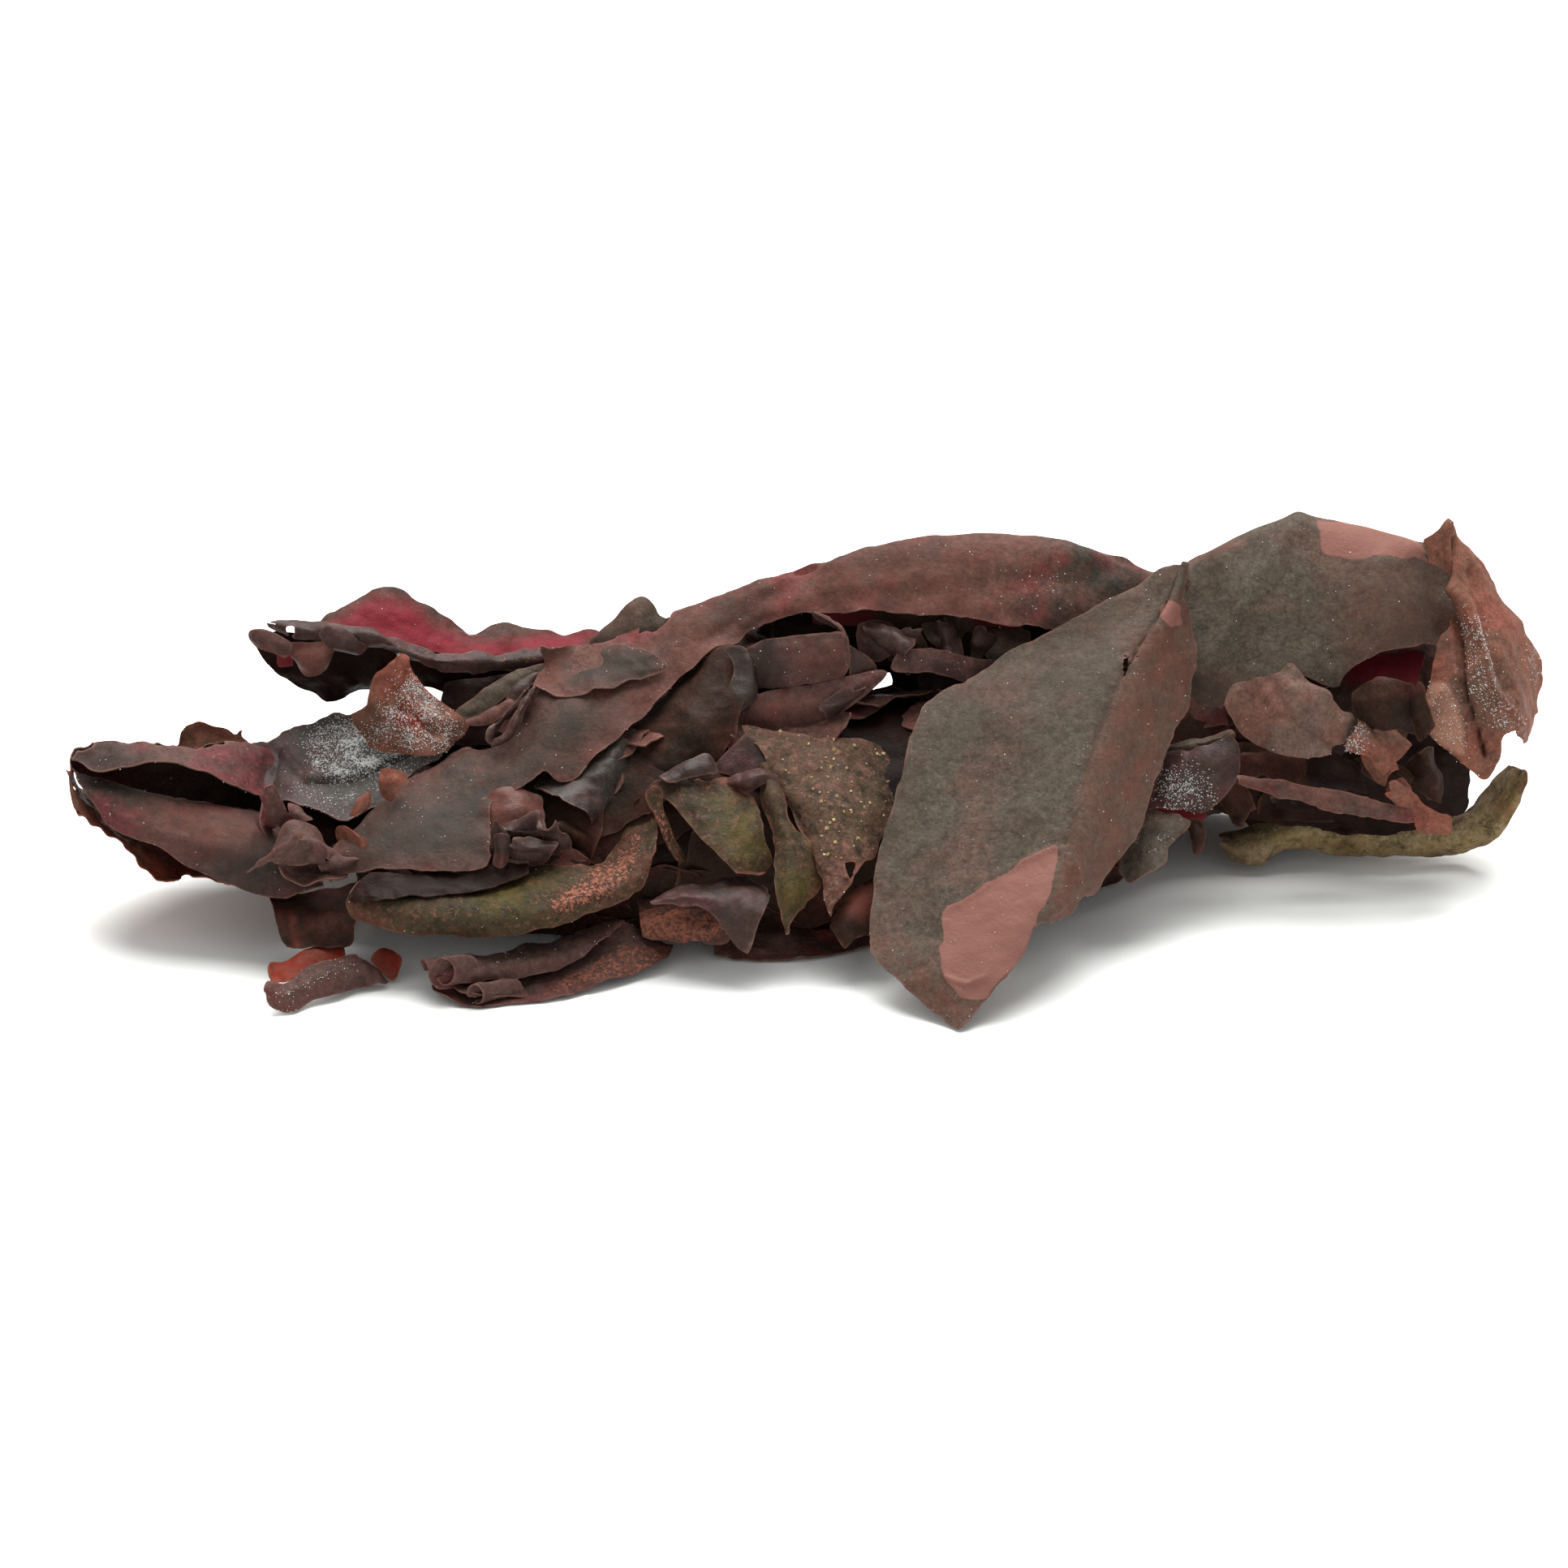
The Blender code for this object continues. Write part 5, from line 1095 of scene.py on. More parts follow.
saltedBlade = {
    "net": [
        [(31.5, 91.3, 9), (32, 93.5, 6), (32.3, 96, 1.5), (33, 98.5, -2)],
        [(37.5, 89.3, 11), (37.5, 93, 5.5), (37.5, 96, 0), (38, 99.2, -4)],
        [(44, 87.7, 13), (44, 91.5, 7), (43.8, 96, 1), (43.5, 100.3, -4.5)],
        [(50, 88.5, 12), (50, 91.5, 7.5), (49.5, 94.2, 3), (49.5, 97.2, -1)],
        [(56, 89, 12), (56, 90.5, 9), (56, 92, 6.5), (56, 93.3, 4.5)],
    ],
    "outline": [
        (303, 920), (330, 915), (360, 900), (385, 889), (410, 880), (428, 882), (445, 878), (480, 888), (545, 884),
        (572, 900), (550, 925), (510, 955), (480, 985), (455, 998), (425, 1012), (393, 1001), (350, 990), (320, 983),
        (312, 950),
    ],
    "creases": [
        ([(345, 920), (332, 975)], 0.4, 0.4, "groove"), ([(345, 920), (375, 960)], -0.6, 0.4, "groove"),
        ([(375, 962), (440, 960), (490, 935), (545, 905)], 0.9, 0.4, "groove"),
    ],
    "salt": [
        ([(372, 920), (400, 890), (480, 885), (525, 900), (500, 940), (430, 965), (385, 955)], 16, 1),
        ([(360, 965), (440, 970), (520, 930), (560, 905), (500, 960), (420, 1000), (370, 985)], 14, 0.65),
    ],
    "step": 0.36, "crumple": 0.2, "wrinkle": 0.08, "seed": 19,
}
layPiece("saltedBlade", saltedBlade, "slate", "taupe", "salted_blade")

def curledEnd(centre, radii, turn, along, reach):  # a rolled edge seen into its open end
    across, down, depth = centre
    rows = []
    for k, angle in enumerate(np.linspace(math.radians(turn[0]), math.radians(turn[1]), 11)):
        size = radii[0] + (radii[1] - radii[0]) * k / 10
        x, y = across + 0.8 * size * math.cos(angle), down + size * math.sin(angle)
        rows.append([(x + along[0] * t, y + along[1] * t, depth + along[2] * t) for t in np.linspace(0, reach, 3)])
    return rows


bottomRoll = {  # a sheet rolled on itself, open at its left end
    "top": {
        "net": [
            [(52.6, 119.8, -21), (52.2, 118.6, -23), (53.3, 120.2, -24.5), (55.3, 121.5, -24.8)],
            [(57, 118.2, -17.5), (57.5, 118, -20.5), (58.5, 119.4, -23.5), (58.5, 121, -24)],
            [(63, 117.3, -15.5), (63.5, 117.2, -18.5), (64, 118.7, -21.5), (64.5, 120.5, -22)],
            [(69, 116, -13.5), (69.5, 115.8, -16), (69.8, 117.3, -19), (69.8, 119.1, -20)],
            [(74.5, 114.2, -11.5), (74.5, 113.9, -13), (74.3, 114.8, -15.5), (74, 116, -17)],
            [(77.3, 113.8, -11), (77.2, 113.8, -11.5), (76, 114.2, -13), (75.2, 114.5, -14)],
        ],
        "salt": [([(560, 1178), (740, 1140), (740, 1165), (600, 1205)], 20, 0.12)],
        "seed": 20,
    },
    "lip": {
        "net": [
            [(55.6, 120.8, -22), (56, 121.8, -24.5), (57, 122.6, -26)],
            [(60, 121.2, -21.5), (60.3, 121.8, -24), (60.8, 122.8, -25.8)],
            [(64.5, 121, -20.5), (65, 121.7, -23), (65.3, 122.6, -24)],
        ],
        "seed": 48,
    },
    "mouth": {
        "net": curledEnd((54.6, 119.8, -25.4), (2.3, 1.2), (-250, 150), (1, -0.1, 0.6), 3), "rag": 0.1, "frill": 0.15,
        "margin": 0.1, "step": 0.26, "seed": 63,
    },
    "fold": {
        "net": curledEnd((58.6, 122.6, -26.2), (1.4, 0.7), (-200, 120), (1, -0.15, 0.5), 5), "rag": 0.2, "frill": 0.2,
        "margin": 0.1, "step": 0.26, "seed": 64,
    },
    "under": {
        "net": [
            [(53, 120.8, -21.5), (53.2, 121.8, -23.5), (54, 122.2, -25)],
            [(58, 120.5, -20.5), (58.5, 122.5, -24), (59.5, 124, -26.5)],
            [(65, 119.5, -18), (65.5, 121.5, -22), (66, 123.3, -25)],
            [(71, 117, -15.5), (71.5, 119.5, -19.5), (72, 121.9, -22.5)],
            [(77, 113.8, -11.5), (77.5, 116.5, -15), (77.8, 119.9, -19)],
            [(80.5, 115.2, -11), (81, 116.3, -12.5), (81.8, 118.4, -15.5)],
            [(83.3, 115.8, -10.5), (83.4, 116, -11), (83.2, 116.8, -12)],
        ],
        "crust": [
            ([(650, 1235), (690, 1200), (760, 1165), (800, 1155), (838, 1155), (830, 1190), (760, 1212),
              (700, 1228)], 12, 0.85),
        ],
        "rag": 0.5, "frill": 0.6, "seed": 49,
    },
}
makePiece("bottomRoll", [laySheet(part, {"step": 0.36, "crumple": 0.18, **v}) for part, v in bottomRoll.items()],
          "mauve", "wine",
          "bottom_roll")

bottomCurl = {  # a rolled strip, red inside: its own red with a painted glow of light through the thin sheet
    "front": {
        "net": [
            [(33, 120.5, -26.5), (32.5, 122.3, -28.2), (33.3, 124.4, -28)],
            [(34.6, 121.1, -26), (34.8, 122.6, -28), (35.8, 124.9, -27.8)],
            [(38.5, 118.9, -22.5), (38.6, 120.8, -25.5), (38.8, 123.4, -26)],
            [(43.5, 117.3, -19), (44, 119.3, -21.8), (44.5, 121.9, -22.5)],
            [(46, 118.8, -18.5), (46.3, 119.8, -20.2), (46.8, 121.5, -21.3)],
            [(48.2, 121, -20), (48.3, 121.1, -20.2), (48.4, 121.3, -20.5)],
        ],
        "salt": [([(330, 1215), (380, 1195), (440, 1180), (400, 1215), (350, 1245)], 12, 0.3)],
        "warm": [([(325, 1215), (370, 1225), (420, 1205), (350, 1250)], 14, 0.5)],
        "seed": 21,
    },
    "inside": {
        "net": [
            [(33.4, 121.8, -26), (32.9, 119.8, -24.5), (33.2, 118.6, -23)],
            [(36, 120.8, -24), (35.5, 119, -21.5), (35.5, 118.3, -20)],
            [(39.5, 119.8, -21), (39.3, 117.8, -18.5), (39.3, 117.2, -17)],
            [(42.4, 118.8, -18.5), (42, 117, -16.5), (41.7, 116.1, -15)],
        ],
        "warm": [([(300, 1150), (470, 1150), (470, 1230), (300, 1230)], 5, 1)],
        "seed": 50,
    },
    "flap": {
        "net": [
            [(45.5, 118.5, -17), (46.5, 117.2, -16), (47.5, 116.8, -15)],
            [(46.8, 119.8, -18.5), (48, 119, -18), (49.4, 117.8, -17)],
            [(48.2, 121, -19.8), (48.6, 120.8, -19.6), (48.9, 120, -19)],
        ],
        "warm": [([(440, 1150), (500, 1150), (500, 1220), (440, 1220)], 5, 0.85)],
        "seed": 56,
    },
}
for part, v in bottomCurl.items():
    sheet = laySheet(part, {"step": 0.3, "crumple": 0.14, "rag": 0.3, **v})
    if part == "front":
        makePiece("bottomCurl", [sheet], "mauve", "brick", "bottom_curl")
    else:
        makePiece("curl" + part.capitalize(), [sheet], "brick", "brick")

oliveTongue = {
    "net": [
        [(43, 109.5, -16), (42.7, 110.5, -17.5), (42.7, 111.5, -18), (43.3, 112.7, -18)],
        [(50, 108.6, -13.5), (50, 110.3, -18), (50, 113, -20.5), (50, 115, -20)],
        [(59, 108.6, -12), (59, 110.5, -18), (59.5, 113.5, -21), (60, 115.6, -20.5)],
        [(67, 107, -12), (67.5, 109.5, -17), (67.5, 112.3, -20), (68, 114.5, -19.5)],
        [(74.5, 106, -9), (75, 108, -14), (74.5, 110.5, -17.5), (74, 112.3, -17.5)],
        [(78, 101.5, -5), (78.7, 104, -9), (79, 107, -13), (78.8, 109.5, -14.5)],
        [(79.7, 98.3, -2), (80.2, 100.5, -5), (80.6, 103, -9), (80.5, 105, -11)],
    ],
    "outline": [
        (424, 1112), (432, 1098), (447, 1083), (470, 1078), (520, 1085), (600, 1078), (660, 1060), (730, 1068),
        (760, 1040), (795, 975), (815, 1000), (807, 1050), (790, 1097), (730, 1127), (680, 1147), (600, 1157),
        (500, 1151), (450, 1139), (434, 1130),
    ],
    "creases": [
        ([(445, 1100), (500, 1103), (540, 1095)], 0.7, 0.5, "groove"),
        ([(660, 1130), (740, 1100), (790, 1050)], -0.5, 0.7, "groove"),
    ],
    "crust": [
        ([(650, 1140), (680, 1090), (750, 1050), (795, 1000), (800, 1050), (780, 1100), (720, 1130)], 18, 0.9),
        ([(520, 1125), (600, 1110), (660, 1110), (640, 1140), (540, 1150)], 25, 0.45),
    ],
    "warm": [
        ([(590, 1095), (640, 1090), (650, 1115), (600, 1118)], 18, 0.9),
        ([(640, 1085), (690, 1080), (680, 1100)], 16, 0.5),
    ],
    "step": 0.4, "crumple": 0.2, "wrinkle": 0.08, "seed": 22,
}
layPiece("oliveTongue", oliveTongue, "olive", "olive", "olive_tongue")

tongueLip = {  # a near-black fold over the pointed end: painted shade for the hollow under its top edge
    "net": [
        [(42.8, 110.2, -18.6), (43, 110.8, -19.2), (43.4, 111.4, -19.6)],
        [(45.4, 107.8, -16.6), (46.6, 109.6, -18.2), (47.4, 110.9, -19.6)],
        [(51, 107.8, -15.2), (52, 109.4, -17), (52.6, 110.6, -18.8)],
        [(58, 107.2, -14), (58.6, 108.6, -15.6), (59, 109.9, -17)],
        [(65, 106, -12.8), (65.2, 107, -14.2), (65.4, 107.9, -15.2)],
    ],
    "step": 0.28, "rag": 0.35, "frill": 0.4, "crumple": 0.2, "margin": 0.15, "seed": 65,
}
layPiece("tongueLip", tongueLip, "dark", "olive")

oliveFlap = {  # the lit face
    "net": [
        [(79.5, 97, -4), (83, 96, -3.5), (88, 96, -2)], [(80.5, 100, -7), (86, 99.5, -8), (92.5, 98, -4)],
        [(83, 104.5, -10.5), (88.5, 103.8, -12), (94.8, 102, -8)],
        [(83, 108, -13), (90, 107.3, -14.5), (95, 107, -11)],
    ],
    "outline": [
        (806, 965), (835, 954), (856, 955), (872, 964), (900, 960), (914, 974), (927, 986), (936, 1003), (938, 1030),
        (950, 1058), (949, 1066), (940, 1076), (932, 1080), (928, 1091), (914, 1080), (880, 1050), (860, 1028),
        (842, 1006), (822, 984), (800, 975),
    ],
    "crust": [([(830, 960), (950, 1000), (945, 1070), (900, 1060)], 30, 0.42)],
    "warm": [([(885, 990), (930, 1000), (940, 1050), (900, 1060)], 24, 0.55)],
    "spread": 0.4, "rag": 0.35, "step": 0.3, "crumple": 0.12, "seed": 23,
}
flapEdge = {  # its near edge, turned on end, and a near-black sheet of painted shade for the hollow behind
    "flapEdge": (
        "olive",
        [
            [(79.4, 97.6, -6.5), (80.4, 96.9, -6.3), (81.6, 97.3, -6)],
            [(79.5, 98.6, -7.2), (80.6, 98.8, -7), (81.8, 99.2, -6.4)],
            [(80.8, 100.6, -8.4), (81.6, 100.8, -8), (82.4, 101, -7.4)],
            [(82, 103.2, -9.4), (82.8, 103.2, -9), (83.4, 103.2, -8.4)],
            [(83.4, 106, -10.2), (83.9, 106.2, -9.8), (84.4, 106.4, -9.2)],
        ],
    ),
    "flapInner": (
        "olive",
        [
            [(82, 99.5, -3.5), (83.6, 100.5, -2), (85, 102, -1.5)],
            [(83.2, 103.5, -5.5), (85.2, 103.8, -3.5), (87.4, 104.6, -2.5)],
            [(83.6, 107, -7.5), (85.5, 106.8, -5.5), (87.6, 106.6, -4)],
            [(83, 109.2, -8.5), (84.6, 108.6, -7), (86.5, 108, -5.5)],
        ],
    ),
    "flapHollow": (
        "dark",
        [
            [(80, 97.5, -1), (84, 97.5, 0), (92, 98, 1.5)], [(80, 102, -3.5), (86, 102.5, -1), (94, 103, -1)],
            [(80, 109.5, -6.5), (88, 109.5, -4.5), (96, 109.5, -4)],
        ],
    ),
}
layPiece("oliveFlap", oliveFlap, "olive", "olive", "olive_flap")
for name, (finish, net) in flapEdge.items():
    v = {"net": net, "step": 0.28, "rag": 0.2, "frill": 0.3, "crumple": 0.12, "thick": 0.22, "margin": 0.15}
    if name == "flapEdge":
        v["crust"] = [([(800, 990), (850, 1000), (850, 1080), (820, 1070)], 10, 0.8)]
    layPiece(name, v, finish, "olive")

oliveStrip = {
    "net": [
        [(93.8, 95, -1), (94.2, 94.3, -2), (94.8, 94.2, -1)],
        [(94.5, 98.5, -5), (95.3, 98.3, -6.5), (96.8, 98.2, -5)],
        [(95.5, 103.5, -10), (97, 103.3, -11.5), (98.7, 103, -9)],
        [(95.7, 108.5, -15), (98, 108.5, -16), (101, 108.5, -13)],
        [(96.3, 112.5, -18), (97.5, 112.5, -18.5), (98.8, 112, -17)],
        [(96.9, 115.2, -20), (97.1, 115.1, -20.2), (97.4, 114.8, -19.8)],
    ],
    "outline": [
        (935, 950), (948, 945), (965, 985), (980, 1025), (1003, 1068), (1011, 1092), (995, 1115), (980, 1132),
        (968, 1151), (960, 1120), (955, 1050), (945, 990),
    ],
    "warm": [([(960, 1080), (1000, 1075), (990, 1110), (965, 1110)], 14, 0.5)],
    "crust": [([(945, 950), (1000, 1080), (975, 1140), (950, 1000)], 12, 0.35)],
    "step": 0.34, "seed": 24,
}
layPiece("oliveStrip", oliveStrip, "olive", "olive", "olive_strip")

oliveTriangle = {
    "net": [
        [(91.8, 89.4, 4), (101, 90.2, 3), (112, 93, 5)], [(94.5, 94, -1), (103, 95, -2), (112, 97.5, 0.5)],
        [(97.5, 100, -6.5), (103.5, 100.5, -8), (110.5, 102, -5.5)],
        [(100.3, 106.5, -12.5), (103.8, 106.5, -13), (108, 107, -11)],
        [(102.1, 112.3, -17.5), (102.8, 111.5, -17), (103.7, 110.5, -16)],
    ],
    "outline": [
        (915, 894), (960, 899), (990, 903), (1040, 908), (1080, 922), (1120, 936), (1112, 975), (1095, 1020),
        (1077, 1055), (1060, 1062), (1037, 1102), (1023, 1127), (1006, 1070), (976, 1000), (940, 930),
    ],
    "holes": [[(1041, 1066), (1052, 1064), (1050, 1076), (1043, 1086)]],
    "creases": [([(930, 935), (985, 1010), (1015, 1095)], 0.5, 0.4, "groove")],
    "crust": [([(950, 900), (1040, 905), (1110, 935), (1090, 1000), (1000, 1010), (950, 940)], 25, 0.5)],
    "step": 0.36, "crumple": 0.2, "seed": 25,
}
layPiece("oliveTriangle", oliveTriangle, "russet", "olive", "olive_triangle")

hangingCurl = {
    "net": [
        [(84, 83.5, 12), (87.5, 80.8, 11), (91.5, 79.6, 11)], [(80.5, 87.5, 8), (86, 85.5, 6), (92.7, 83.5, 8)],
        [(77.5, 91, 4), (84.5, 90, 1.5), (91.3, 87.5, 4)], [(77, 94, 2), (83, 94, -1), (90, 91.5, 1.5)],
        [(78.5, 96.5, 1), (83, 96.8, -1.5), (87.5, 94.5, 0)],
    ],
    "outline": [
        (895, 795), (915, 797), (930, 815), (928, 835), (913, 870), (900, 915), (872, 945), (835, 967), (800, 967),
        (775, 950), (768, 905), (800, 872), (862, 812),
    ],
    "step": 0.36, "seed": 26,
}
layPiece("hangingCurl", hangingCurl, "umber", "wine", "hanging_curl")

hoodCurl = {
    "face": {
        "net": [
            [(90.3, 80.2, 9.6), (91, 81.8, 8.6), (91.8, 83.2, 8.6), (92.6, 84.9, 9)],
            [(94, 78.9, 9.3), (94.6, 80.6, 8), (95.2, 82.6, 7.6), (95.6, 84.6, 8.2)],
            [(97.6, 78.3, 9), (98.4, 80, 7.8), (99, 82, 7.4), (99.4, 84.2, 8)],
            [(101.2, 77.8, 9.2), (101.8, 79.6, 8), (102.3, 81.6, 7.6), (102.6, 83.9, 8.2)],
            [(104.2, 77.6, 9.8), (104.6, 79.4, 8.8), (104.8, 81.6, 8.3), (104.6, 83.8, 8.4)],
        ],
        "warm": [([(985, 790), (1040, 785), (1045, 830), (985, 830)], 14, 0.5)],
        # painted shade on the left part and in the hollow under the hood's rim
        "paintedShadeAndTint": [
            ([(900, 800), (955, 785), (960, 840), (920, 850)], 14, 0.9),
            ([(970, 775), (1045, 770), (1045, 790), (980, 792)], 8, 0.7),
        ],
        "rag": 0.25, "frill": 0.25, "crumple": 0.12, "seed": 27,
    },
    "rim": {
        "net": [
            [(99.6, 75, 12.6), (99.9, 75.5, 12.2), (100, 76.2, 12.8)],
            [(102.4, 76.1, 11.2), (102.4, 76.7, 10.6), (102.1, 77.3, 11.2)],
            [(104.3, 77.6, 9.8), (104, 78, 9.2), (103.5, 78.4, 9.6)],
            [(104.9, 79.6, 8.8), (104.6, 79.8, 8.3), (104.1, 80, 8.5)],
            [(104.8, 81.8, 8.2), (104.5, 82, 7.8), (104, 82.1, 7.9)],
        ],
        "rag": 0.15, "frill": 0.2, "margin": 0.1, "thick": 0.2, "seed": 58,
    },
}
makePiece("hoodCurl", [laySheet(part, {"step": 0.28, **v}) for part, v in hoodCurl.items()], "mauve", "taupe",
          "hood_curl")

longBand = {
    "low": {
        "net": [
            [(90.3, 87.4, 7.4), (90.6, 88.4, 6.6), (90.6, 89.6, 6.4)],
            [(93.4, 85.6, 7.6), (93.8, 87.4, 6.2), (93.8, 89.6, 6)],
            [(98, 84.6, 7.8), (98.4, 87, 6.2), (98.4, 89.7, 5.9)],
            [(102.5, 83.9, 8), (102.8, 86, 6.6), (102.6, 88.3, 6.3)],
            [(106.2, 82.8, 8.6), (106.4, 84.2, 7.8), (106.2, 86, 7.4)],
            [(109.4, 82.2, 9.4), (109.6, 82.6, 9.1), (109.8, 83.1, 9)],
        ],
        "rag": 0.2, "frill": 0.25, "crumple": 0.12,
        "warm": [([(920, 860), (1010, 860), (1000, 890), (930, 890)], 16, 0.5)],
        "seed": 28,
    },
    "high": {
        "net": [
            [(108.8, 82.4, 9.2), (109.2, 82.7, 9), (109.5, 83, 8.9)],
            [(111, 80.2, 9.8), (111.3, 81.4, 9.3), (111.5, 82.9, 8.9)],
            [(115, 80, 10.5), (115, 81.5, 10), (115, 83.1, 9.6)],
            [(119.5, 80.8, 11.3), (119.5, 82.3, 11), (119.5, 84.1, 10.5)],
            [(124.5, 81.8, 13), (124.5, 83.3, 12.7), (124, 85, 12.2)],
        ],
        "seed": 57,
    },
}
makePiece("longBand", [laySheet(part, {"step": 0.32, **v}) for part, v in longBand.items()], "mauve", "wine",
          "long_band")

foldsUnderRidge = {
    "mauveFold": (
        "mauve",
        [
            [(105, 76.8, 15), (105.3, 79, 13), (106, 81.6, 12.5)],
            [(108.5, 76.3, 15), (108.5, 78.5, 12.2), (108.5, 81.6, 11.8)],
            [(111.5, 77.8, 14.5), (111.3, 79, 12.3), (110.5, 80.6, 12)],
            [(113.8, 79.4, 14), (113.6, 79.9, 13.3), (113.2, 80.4, 13)],
        ],
    ),
    "pinkCorner": (
        "paintedShadeAndTint",
        [
            [(104.5, 79.5, 9.5), (104.6, 81.5, 9.2), (104.5, 83.6, 8.8)],
            [(106.5, 80.8, 10.5), (106.8, 82, 10), (106.8, 83.3, 9.6)],
            [(108, 82.3, 10.5), (108.1, 82.6, 10.4), (108.2, 83, 10.2)],
        ],
    ),
    "greyFold": (
        "taupe",
        [
            [(113.5, 76.5, 16), (114.2, 78.8, 13.5), (115.5, 80.6, 13.5)],
            [(116, 76.5, 16), (116.3, 78.5, 13.2), (116.8, 80.8, 13.2)],
            [(118, 77.2, 16.5), (117.9, 79, 15), (117.8, 80.8, 14.5)],
        ],
    ),
    "paleFold": (
        "taupe",
        [
            [(120.3, 78.3, 16), (121, 80, 14), (122, 82, 13.8)],
            [(123, 77.5, 16.5), (123.5, 79.5, 14), (123.5, 82, 13.6)],
            [(127, 77.8, 17), (127, 79.5, 15.5), (126.5, 81.5, 14.5)],
        ],
    ),
    "redSlit": (
        "crimson",
        [
            [(101, 73.5, 17.8), (112, 73.5, 17.8), (125, 75, 17.6)],
            [(101, 77, 17.6), (112, 77.6, 17.4), (125, 79.5, 17.2)],
        ],
    ),
    # near-black sheets of painted shade filling the gaps under the ridge
    "darkFill": (
        "dark",
        [
            [(95.5, 75, 20), (95.5, 78, 18), (95.5, 82, 17)], [(103, 73.5, 20), (103, 78, 18), (103, 82, 17)],
            [(112, 73.5, 20), (112, 78, 18.5), (112, 82.3, 17.5)],
            [(122, 74.5, 20), (122, 78.5, 18.5), (122, 84.5, 17)], [(132, 76, 19), (132, 79, 18), (132, 84, 17)],
        ],
    ),
    "darkHollow": (
        "dark",
        [
            [(97, 82.5, 19.5), (97, 88, 17), (97, 93, 15)], [(105, 81.5, 20), (105, 88.5, 18), (105, 93, 16)],
            [(113, 80.5, 20), (113, 88, 18), (113, 93, 16)], [(123, 80.5, 19), (123, 87, 17), (123, 93, 15)],
        ],
    ),
}
for name, (finish, net) in foldsUnderRidge.items():
    v = {"net": net, "step": 0.34, "rag": 0.3, "frill": 0.3, "crumple": 0.2, "seed": 100 + len(name)}
    # the red slit is its own red with a painted glow of light shining through
    if finish == "crimson":
        v["warm"] = [([(1015, 745), (1075, 745), (1065, 775), (1025, 775)], 8, 0.8),
                     ([(1185, 750), (1250, 760), (1240, 795)], 8, 0.8)]
    if name == "darkHollow":
        v["holes"] = [[(1071, 850), (1094, 829), (1100, 845)]]
    layPiece(name, v, finish, "wine")

rightFlap = {
    "net": [
        [(152, 85, 6.5), (152.3, 88, 4.5), (153.5, 91.3, 3)], [(156.5, 83, 6), (157.5, 87.5, 3), (157.5, 92.8, 1.5)],
        [(161, 83.3, 6.5), (161.8, 87.5, 3.5), (161.5, 93.2, 2)],
        [(165, 86.8, 7), (165.3, 88.8, 5), (164.2, 92.3, 3.5)], [(167.2, 88.3, 8), (167, 89, 7.5), (166.5, 90, 7)],
    ],
    "outline": [
        (1518, 845), (1545, 838), (1575, 830), (1590, 815), (1602, 826), (1616, 838), (1650, 868), (1673, 886),
        (1640, 926), (1600, 934), (1545, 920), (1525, 900), (1512, 870),
    ],
    "creases": [([(1560, 835), (1590, 880), (1640, 920)], 0.5, 0.6, "groove")],
    "warm": [([(1520, 845), (1600, 820), (1670, 885), (1640, 925), (1545, 920)], 20, 0.12)],
    "step": 0.34, "seed": 29,
}
layPiece("rightFlap", rightFlap, "clay", "brick", "right_flap")

twistedStrip = {
    "net": [
        [(152.2, 95.5, 2), (152.4, 96, 1.2), (152.4, 96.6, 1.4)],
        [(157.5, 96.2, 1.2), (157.5, 97.2, 0.3), (157.4, 98.1, 0.8)],
        [(163, 97.2, 0.8), (163, 98.6, -0.2), (162.8, 99.8, 0.4)],
        [(169, 98.3, 1.2), (169, 99.7, 0.2), (168.8, 101, 0.8)],
        [(175.5, 99.9, 2.4), (175.6, 100.9, 1.8), (175.6, 101.8, 2.2)],
    ],
    "salt": [([(1600, 965), (1755, 995), (1750, 1012), (1600, 985)], 10, 0.25)],
    "crust": [([(1540, 975), (1760, 1005), (1750, 1025), (1560, 1000)], 10, 0.35)],
    "step": 0.28, "rag": 0.3, "frill": 0.4, "margin": 0.15, "seed": 30,
}
layPiece("twistedStrip", twistedStrip, "wine", "wine", "twisted_strip")

